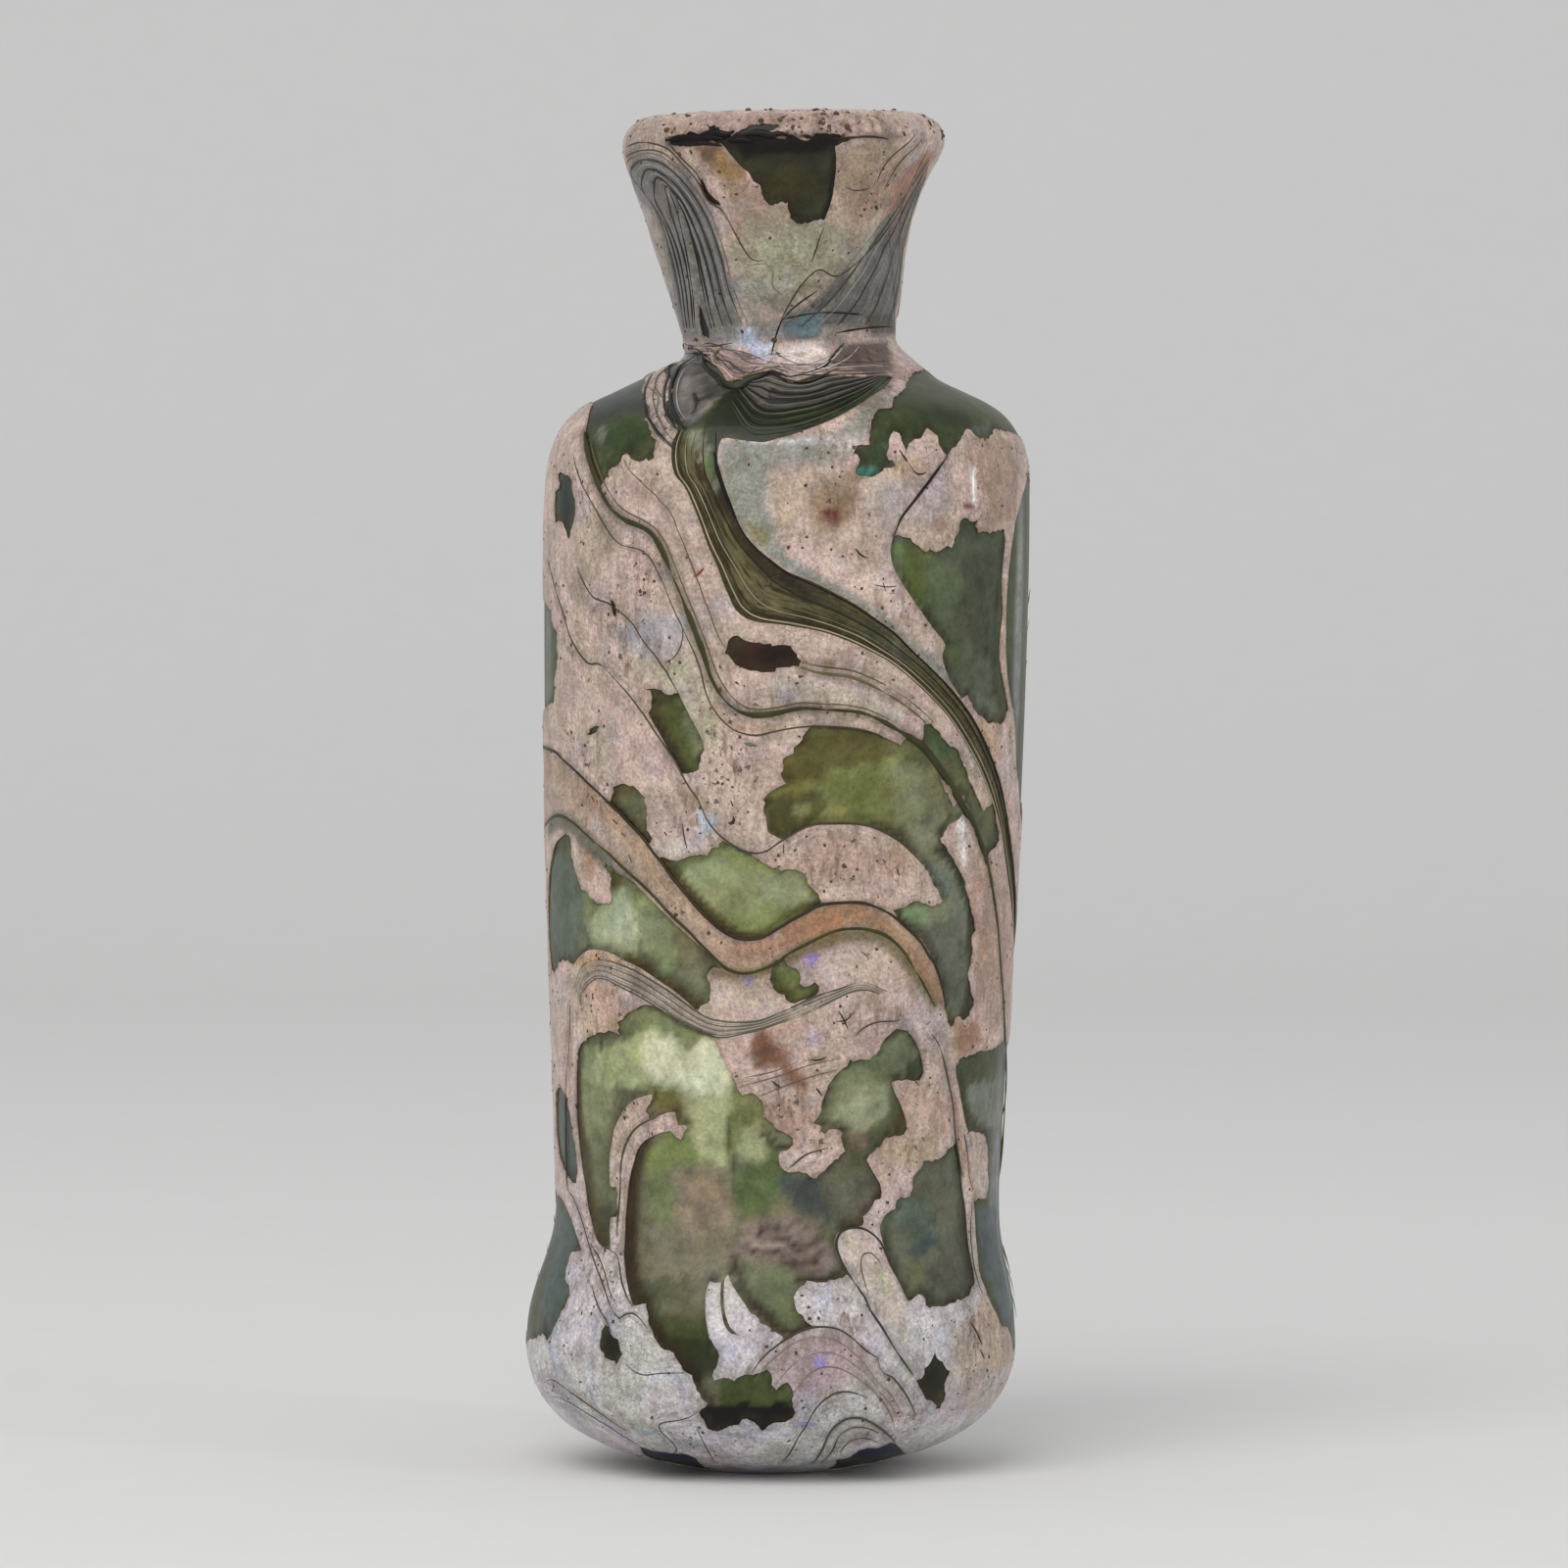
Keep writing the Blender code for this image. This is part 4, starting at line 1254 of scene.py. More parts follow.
CRUST_STROKES: tuple[Stroke, ...] = (
    Stroke(
        "A -13.3,115.7 -11.1,116.7 -7.9,115.4 -5.7,111.3 -3.8,104 -3.2,100.3 -8.4,99.9 -9.8,105.3 "
        "-11.4,111.3 -13,113.8",
        1.2, "#7d7c7c",
    ),
    Stroke(
        "A -12.3,112.6 -10.7,111.3 -9.2,104 -8.4,100.3 -9.2,99.9 -11.1,106.6",
        0.6, "#b0a79e", strength=0.8,
    ),
    Stroke("A -8.8,106.6 -7,106.6 -4.1,104 -3.2,100.6 -7.9,100.3", 0.8, "#84847f", strength=0.7),
    Stroke(
        "A -7.9,117.3 -5.1,117.3 -2.5,114.8 -2.5,114.1 -4.4,114.5 -5.7,115.4",
        0.6, "#97774c", strength=0.85,
    ),
    Stroke("A -4.4,114.1 -1.6,113.8 -1,111.6 -2.5,111", 0.6, "#a08b7c", strength=0.7),
    Stroke("A -2.5,111 5,110.4 6.9,109.1 5,106.6 3.1,104 -1.9,102.8 -3.8,106.9 -3.8,109.1", 1.5, "#9a9784"),
    Stroke("A -1.3,106.6 1.2,106.9 1.9,104.7 -0.6,104", 0.7, "#b2b09c", strength=0.6),
    Stroke("2.5,104 3.8,105.9 5,104.7 6.6,105.9 8.2,107.8", 0.6, "#7c6c58", strength=0.5),
    Stroke("A 5.4,117.3 9.5,118.2 12,117 10.1,112.3 6.6,110.4 5.4,111", 1, "#a5927f", strength=0.7),
    Stroke("A 10.1,113.8 13.2,117 14.2,116.7 12,113.5 11,109.7 9.8,109.1", 0.8, "#a1745e", strength=0.8),
    Stroke("A 0.6,102.8 4.4,102.8 3.8,100.3 0.3,100.3", 0.5, "#5f7a86", strength=0.85),
    Stroke("0,101.5 1.2,102.3 3.5,103.7", 0.5, "#3f4242", strength=0.8),
    Stroke("-0.3,99.9 3.8,100.7 6.9,101.1 10.1,101.2", 0.5, "#3b3836", strength=0.8),
    # Pale pearly crust brightened into painted highlights at the foot of the neck (these two strokes).
    Stroke("A -2.9,99.9 -0.6,99.9 -1,98.1 -1.9,98.4", 0.4, "#dfe2e6"),
    Stroke("A 0,99.6 4.4,99.6 5,98.4 2.5,97.7 0,98.4", 0.5, "#c6bcb8", strength=0.8),
    Stroke("A -3.8,101.2 -1.3,101.5 -1.3,99.9 -3.2,99.9", 0.5, "#aebccc", strength=0.8),
    Stroke("A 5.4,99.9 9.8,100.3 10.1,98.4 8.8,96.5 6.9,97.7 5.7,98.7", 0.8, "#4f443c"),
    Stroke(
        "-10,117.7 -7.6,118 -5.7,118.4 -4.4,117.9 -1.9,118.6 0,118.1 2.5,118.4 5,118.2",
        1, "#2a1c14", strength=0.92,
    ),
    Stroke("5.4,118 8.8,118.2 11,118.4", 0.6, "#46352a", strength=0.75),
    # Pearly crust on the lip, brightened into a painted highlight.
    Stroke("A -0.6,119.3 2.5,119.3 5,118.6 2.5,118.4 0,118.6", 0.5, "#cbb6ae", strength=0.7),
    Stroke(
        "A -5.1,91.1 -3,91.6 -0.7,91.2 1.7,91.3 0.9,91.6 3.7,91.6 6,92.8 7.9,93.9 10.2,95.3 11,95.9 "
        "10.6,94.7 9.6,94.2 8.2,93 7.9,91.4 6.5,90.2 3.7,89.5 1.2,89.7 -0.8,88.6 -1.3,86.9 -0.8,84.1 "
        "0.4,81.8 1.7,79.5 -0.7,81 -2.5,83.1 -4,85.4 -4.9,87.8",
        0.5, "#8b8f85", strength=0.92,
    ),
    Stroke("A -3,84 -1.1,83.5 -0.7,81.7 -2.1,82.4", 0.6, "#7a764c", strength=0.8),
    # Painted highlight: a row of glints along the shoulder.
    Stroke("-3.2,91.1 -1.6,91.1 0.8,91.1 3.1,91.3 0.9,91.2 4.6,91.1 7.6,91.5", 0.6, "#cdd2d0", strength=0.8),
    Stroke("A -0.7,88 3.1,89 3.1,85 0.8,83.1 -0.7,85", 0.8, "#b39d88", strength=0.5),
    Stroke("A 2.9,86.3 6.5,88.8 7.4,86.9 6,83.5 3.7,82.7", 0.9, "#937a5c", strength=0.7),
    Stroke("A 4,84.9 5.1,85.5 5.9,84.6 5,83.7 4.1,84.1", 0.4, "#66160f", strength=0.95),
    Stroke("A 9,86.9 12.1,88.6 14.9,87.4 15.5,85.2 13.3,83.8 9.9,84.6", 0.8, "#aaa3ac", strength=0.45),
    Stroke(
        "A 16.6,91.9 20.6,91.1 21.4,88.6 21.1,84.1 19.4,83.8 17.7,87.4 16.6,89.7",
        0.8, "#a58a76", strength=0.7,
    ),
    Stroke("A 16.3,85.8 17.5,86 17.3,84.9 16.3,84.9", 0.4, "#5c261c"),
    Stroke("-0.6,81.3 1.8,79.8 4.1,78.5 6.5,77.2 8.9,75.7 11.3,73.6 13.6,71.6 15.6,69.6", 1.1, "#8b9389"),
    Stroke("A 3.6,71.7 5.2,71.8 5.3,70.8 4,70.6", 0.7, "#6b5a24", strength=0.9),
    Stroke("A 3.8,69 4.8,69 4.7,68.2 3.8,68.2", 0.6, "#70502c", strength=0.9),
    Stroke("A 0.1,68.9 1.4,69 1.4,68.2 0.2,68.2", 0.5, "#6a5f9c", strength=0.9),
    Stroke(
        "A -1.2,70.3 2.4,70 7.7,68.8 11.3,67.1 10.7,66.2 7.1,67.4 1.8,68.1 -1.2,67.8",
        0.5, "#b9b5a6", strength=0.6,
    ),
    Stroke("A 16.6,64.1 17.8,63.8 18.1,61.4 17.2,61.1 16.3,62.9", 0.5, "#857a70", strength=0.7),
    Stroke(
        "A -14.5,74.9 -10.1,75.9 -8.4,74.7 -8.7,72.7 -10.1,71.5 -12.3,71.5 -14.3,73",
        0.8, "#acacb2", strength=0.6,
    ),
    Stroke(
        "A -11.4,71.2 -8.2,72 -5.7,68.6 -5.2,63.7 -6.7,63.7 -8.7,68.1 -9.6,69",
        0.8, "#b5b29b", strength=0.85,
    ),
    Stroke("-6.1,67.8 -5,66.6 -3.5,65.6 -1.8,65.5 0.1,65.6", 0.7, "#a98a60", strength=0.55),
    Stroke("A -15.5,74.9 -14,74.9 -14.3,73 -15.3,73.2", 0.7, "#8e8985", strength=0.6),
    Stroke("A -7.2,58.3 -5.2,57.8 -5.7,55.6 -7,55.9", 0.6, "#aec6d6", strength=0.75),
    Stroke("A -11.1,55.4 -6.7,55.9 -5.7,54.9 -9.6,53.7", 0.6, "#c3bbbe", strength=0.6),
    Stroke("A -8.5,60.5 -6.7,59.5 -7.2,58.7 -8.4,59.2", 0.6, "#866644", strength=0.6),
    Stroke(
        "A 0.5,48.1 3.5,49.5 6.9,49.9 9.9,48.8 12.3,46.1 14.3,42.7 15,40.5 14.3,40.7 12.8,43.9 10.4,47.1 "
        "7.4,48.3 4,48.1 0.5,46.1",
        0.5, "#9a6e44", strength=0.75,
    ),
    Stroke("A 2.2,47.5 5.8,49.6 5.8,47.5 3.3,46.5", 0.5, "#a5744e", strength=0.8),
    Stroke("A -4.6,46.4 2.2,47.5 2.2,46.5 -3.5,44.9", 0.6, "#aa8264", strength=0.7),
    Stroke(
        "-9.3,46.2 -7.2,44.9 -5.1,43.9 -3,43.6 -0.4,44.4 2.2,45.7 5.8,47.1 2,46 3.5,46.6 5.4,47 7.7,47.1 "
        "9.4,46.6 11.3,44.9 12.8,42.9 13.9,41.1",
        1.3, "#665a26", strength=0.9,
    ),
    Stroke(
        "-20.4,56.8 -19.7,57.7 -18.2,57.3 -16.7,55.6 -15,53.7 -16.2,54.6 -14.1,52.3 -12,49.6 -9.3,46.5",
        1.2, "#5f6a5a", strength=0.85,
    ),
    Stroke("A -17.5,38.6 -17,40.7 -15.4,41.7 -13.5,39.9 -14.1,38.6 -16.4,38.1", 0.6, "#c8a892", strength=0.7),
    Stroke(
        "A -18.3,44.6 -17.8,45.4 -16.7,45.7 -15.1,45.4 -13.5,44.9 -15.1,44.6 -17.5,44.1",
        0.4, "#bb9872", strength=0.75,
    ),
    Stroke("-19.9,43.6 -20,37 -19.9,31.7", 0.7, "#c8c1b7", strength=0.8),
    Stroke("A -2.2,38.3 -1.2,38.5 -0.4,37 0.4,36 -0.1,35.4 -2,35.4 -2.5,37", 0.5, "#744a2b", strength=0.9),
    Stroke("-2,36.4 -0.9,37 -0.3,37.3", 0.6, "#4f2f20", strength=0.8),
    Stroke("A 0.4,36 2,34.6 2.8,33.3 1.5,33.6 0.4,34.4", 0.5, "#744c2f", strength=0.85),
    Stroke("A 2.8,38.3 3.8,38.2 3.7,37.7 2.9,37.7", 0.4, "#a79ec4", strength=0.6),
    Stroke("A -3,43.5 -2.2,43.5 -2.2,42.9 -2.9,42.8", 0.5, "#736ad0", strength=0.8),
    Stroke("A 2.7,45.4 3.6,45.4 3.5,44.6 2.8,44.6", 0.5, "#8c83dc", strength=0.85),
    Stroke("A 15.3,39.2 17.7,39.5 18.2,37.8 16.2,36.3 15.5,37.5", 0.8, "#a0714e", strength=0.6),
    Stroke("A 10.8,41.7 14.3,40.7 15.8,38.7 15.3,37.3 13.3,38.3 11.3,39.7", 0.8, "#b0a9ae", strength=0.5),
    Stroke("9.9,39.5 11.1,39.7 11.9,38.7 12.6,36.8 13.1,34.6", 0.7, "#80848b", strength=0.85),
    Stroke("A 17.7,53 20.9,54 20.7,40.7 19.2,38.3 17.7,41.7", 0.9, "#b08e7e", strength=0.5),
    Stroke(
        "A 5.6,20.6 7.7,20.9 9.3,19.3 11.4,14.6 11.4,10.9 8.7,14.1 6.1,18.3",
        0.6, "#c3b4a2", strength=0.6,
    ),
    Stroke("A 8.5,17.7 9.8,17.5 10,15.1 9,15.7", 0.6, "#a6a484", strength=0.6),
    Stroke("A 18.2,16.2 19.7,14.1 21,10.9 21,8.5 18.7,8.5 17.1,12", 0.8, "#be9f80", strength=0.7),
    Stroke("A 10.8,33.7 13.2,34 13.5,31.4 11.4,29.5 10.8,31.9", 0.6, "#b78f78", strength=0.4),
    Stroke("15.5,32.9 16.1,29.3 16.9,26.6 17.6,23.5", 0.7, "#a5704a", strength=0.75),
    Stroke("A 8.7,29.3 13.5,29.3 14.5,28.2 13.5,27.2 11.4,26.6 8.7,27.7", 0.7, "#b8a68a", strength=0.7),
    Stroke("A -0.7,9.5 4.7,11.3 7.4,9.5 6.5,6.9 2,6 -0.7,7.8", 0.9, "#b39da6", strength=0.65),
    Stroke("A 3.3,9.5 4.5,9.4 4.2,8.6 3.4,8.6", 0.4, "#7f86dc", strength=0.85),
    Stroke("A 1.2,3.8 3.3,3.6 2.9,3.1 1.4,3.1", 0.4, "#7f80cc", strength=0.7),
    Stroke("A 15.4,10.9 20.8,10.9 19.9,4.6 16.3,4.6", 0.9, "#b7a290", strength=0.5),
    Stroke(
        "A -6.5,99.1 -3.7,99.1 -2.2,98.3 -0.6,98.1 -2.6,97 -3.3,96.3 -4.3,96.4 -4.9,97.2 -5.6,97.6 -6.3,98",
        0.3, "#a98f87",
    ),
    Stroke(
        "-7,99.2 -6.5,97.9 -5.5,97.2 -5,96.6 -4.3,96 -3.3,96 -2.5,96.6 -1.6,96.9 -0.8,97.4 0.2,97.2 1,96.9 "
        "2.5,97.2 4.1,97.8 5,98.9",
        0.5, "#2b2a29", strength=0.95,
    ),
    Stroke("-5.8,99.2 -5.3,98.4 -4.3,98.2 -3.5,97.5 -2.5,97.2 -1.9,97.8", 0.35, "#3a3735"),
    Stroke("-4.5,99.3 -3.5,98.9 -2.7,98.2 -1.6,98", 0.3, "#54504c", strength=0.8),
    # Pale pearly crust brightened into painted highlights at the foot of the neck (these two strokes).
    Stroke("A -0.1,99.5 2.5,99.7 4.6,99.4 4.4,98.6 2.5,97.8 1,97.9 -0.3,98.3", 0.5, "#dccfca", strength=0.85),
    Stroke("A -2.3,100 -0.6,100 -0.5,98.9 -1.6,98.5 -2.3,99", 0.5, "#cfd9ec"),
    Stroke("A 5.2,99.4 9.7,99.7 9.9,97.8 7.8,97.4 6.2,97.6 4.6,98", 0.8, "#544842"),
    Stroke("5,98.2 5.5,97.9 5.8,98.1", 0.5, "#2a221c"),
    Stroke(
        "A -10.5,97.3 -8.4,98 -9.5,96.8 -9.8,94.7 -9,92.6 -9.5,91 -10.7,92.2 -11.5,93.9 -11.8,95.7",
        0.4, "#b8a396", strength=0.85,
    ),
    Stroke("-9.5,97.4 -10,96 -9.9,94.2 -9.2,92.8 -8.7,92.3", 0.45, "#2e2b28"),
    Stroke("-11.5,96.5 -11.8,94.9 -11.3,93.4 -10.5,92 -9.2,90.8", 0.45, "#2e2b28"),
    Stroke("-10.5,96.9 -10.9,95.2 -10.5,93.4 -9.5,92.1", 0.35, "#6a5f55", strength=0.8),
    # Painted highlights: white streaks of reflected light on the right side (these three strokes).
    Stroke("17.35,88.7 17.4,87.3 17.4,86", 0.7, "#ffffff", strength=1.0),
    Stroke("15.9,58.4 16.3,57 16.3,55.4 16.6,53.8", 0.9, "#f6f1ea", strength=0.9),
    Stroke("16.4,64.8 16.8,63.6 17.2,62.8", 0.7, "#efe8e0", strength=0.8),
    Stroke("A 17.9,68.2 19.7,66.9 20,62.8 18.5,62.8", 1.4, "#c2a686", strength=0.6),
    Stroke("A 6.5,94.6 8.8,96.3 10.4,96.9 10.2,95.6 8.6,94 6.8,93.2", 0.7, "#77786f", strength=0.8),
    Stroke(
        "A 5.6,106.9 8.4,109.6 10.6,112.4 10.8,108 10.2,102.2 6.4,101.6 3.6,102.2",
        1.4, "#66666a", strength=0.6,
    ),
    Stroke("-10.9,113.6 -9.2,114.2 -7.6,112 -6.5,109 -5.7,105.8 -4.9,102.6", 1.1, "#474745", strength=0.6),
    Stroke("-9.7,110.6 -8.9,112.2 -8,109.6 -7.2,106 -6.5,102.6", 0.8, "#3c3d3c", strength=0.6),
    Stroke("1.4,104 2.6,105 4.2,104.6", 0.7, "#4c443c", strength=0.6),
    Stroke("A -2.4,101.8 -0.4,101.8 0.2,100.6 -1.6,100", 0.9, "#848b89", strength=0.8),
    Stroke("A 7.6,102.4 10.2,102.6 10.6,100.8 8,100.6", 1.0, "#4a453d", strength=0.85),
    Stroke("A -0.8,104 1.6,104.2 1.4,102.6 -0.2,102.4", 1.0, "#757869", strength=0.7),
    Stroke("A 3.8,100.6 6,100.6 5.8,99.4 4,99.4", 0.8, "#7d7a76", strength=0.7),
    Stroke("6.4,105.8 7.8,108.4 9,111.4", 1.2, "#b6b5a8", strength=0.7),
    Stroke("A -1.8,108.8 1.6,109.2 3.4,107.6 0.4,106.2 -2,107", 1.4, "#b4b79c", strength=0.5),
    Stroke("A -7.2,117.6 -5.4,117.4 -5.6,115.6 -7,115.8", 1.0, "#634a39", strength=0.8),
    Stroke("-8.9,116.2 -8.2,114.8 -7.6,113.4", 1.1, "#5e4e44", strength=0.6),
    Stroke("A 5.6,116 7.8,116.2 7.6,113.6 5.8,113.6", 1.2, "#977f6e", strength=0.5),
    # Painted highlight on the shoulder, at the end of the row of glints.
    Stroke("A 4.2,91.8 7.6,92 7.4,90.6 4.4,90.4", 1.2, "#e2d8d1", strength=0.6),
    Stroke("A -17.8,41 -16,41.2 -15.8,38.8 -17.4,38.4", 1.2, "#dcc5ae", strength=0.6),
    Stroke("A 9.6,48 11.8,48 12.6,46.2 10.8,46.4", 1.0, "#c0a486", strength=0.5),
    Stroke("A 9.4,56.2 12.4,55.8 12.8,53.4 10,53.6", 1.4, "#ccb299", strength=0.5),
    Stroke("A -12.6,89.6 -11,90 -10.8,88 -12.4,87.8", 1.6, "#ad9c90", strength=0.6),
    Stroke("A 15.8,9.6 18,9.6 18,7 16,7", 1.6, "#cab8ae", strength=0.5),
    Stroke(
        "-20.4,56.5 -18.8,57 -17.2,55.2 -15.1,53.3 -13,51 -10.9,48.3 -9.1,46.4",
        1.2, "#50523a", strength=0.8,
    ),
)

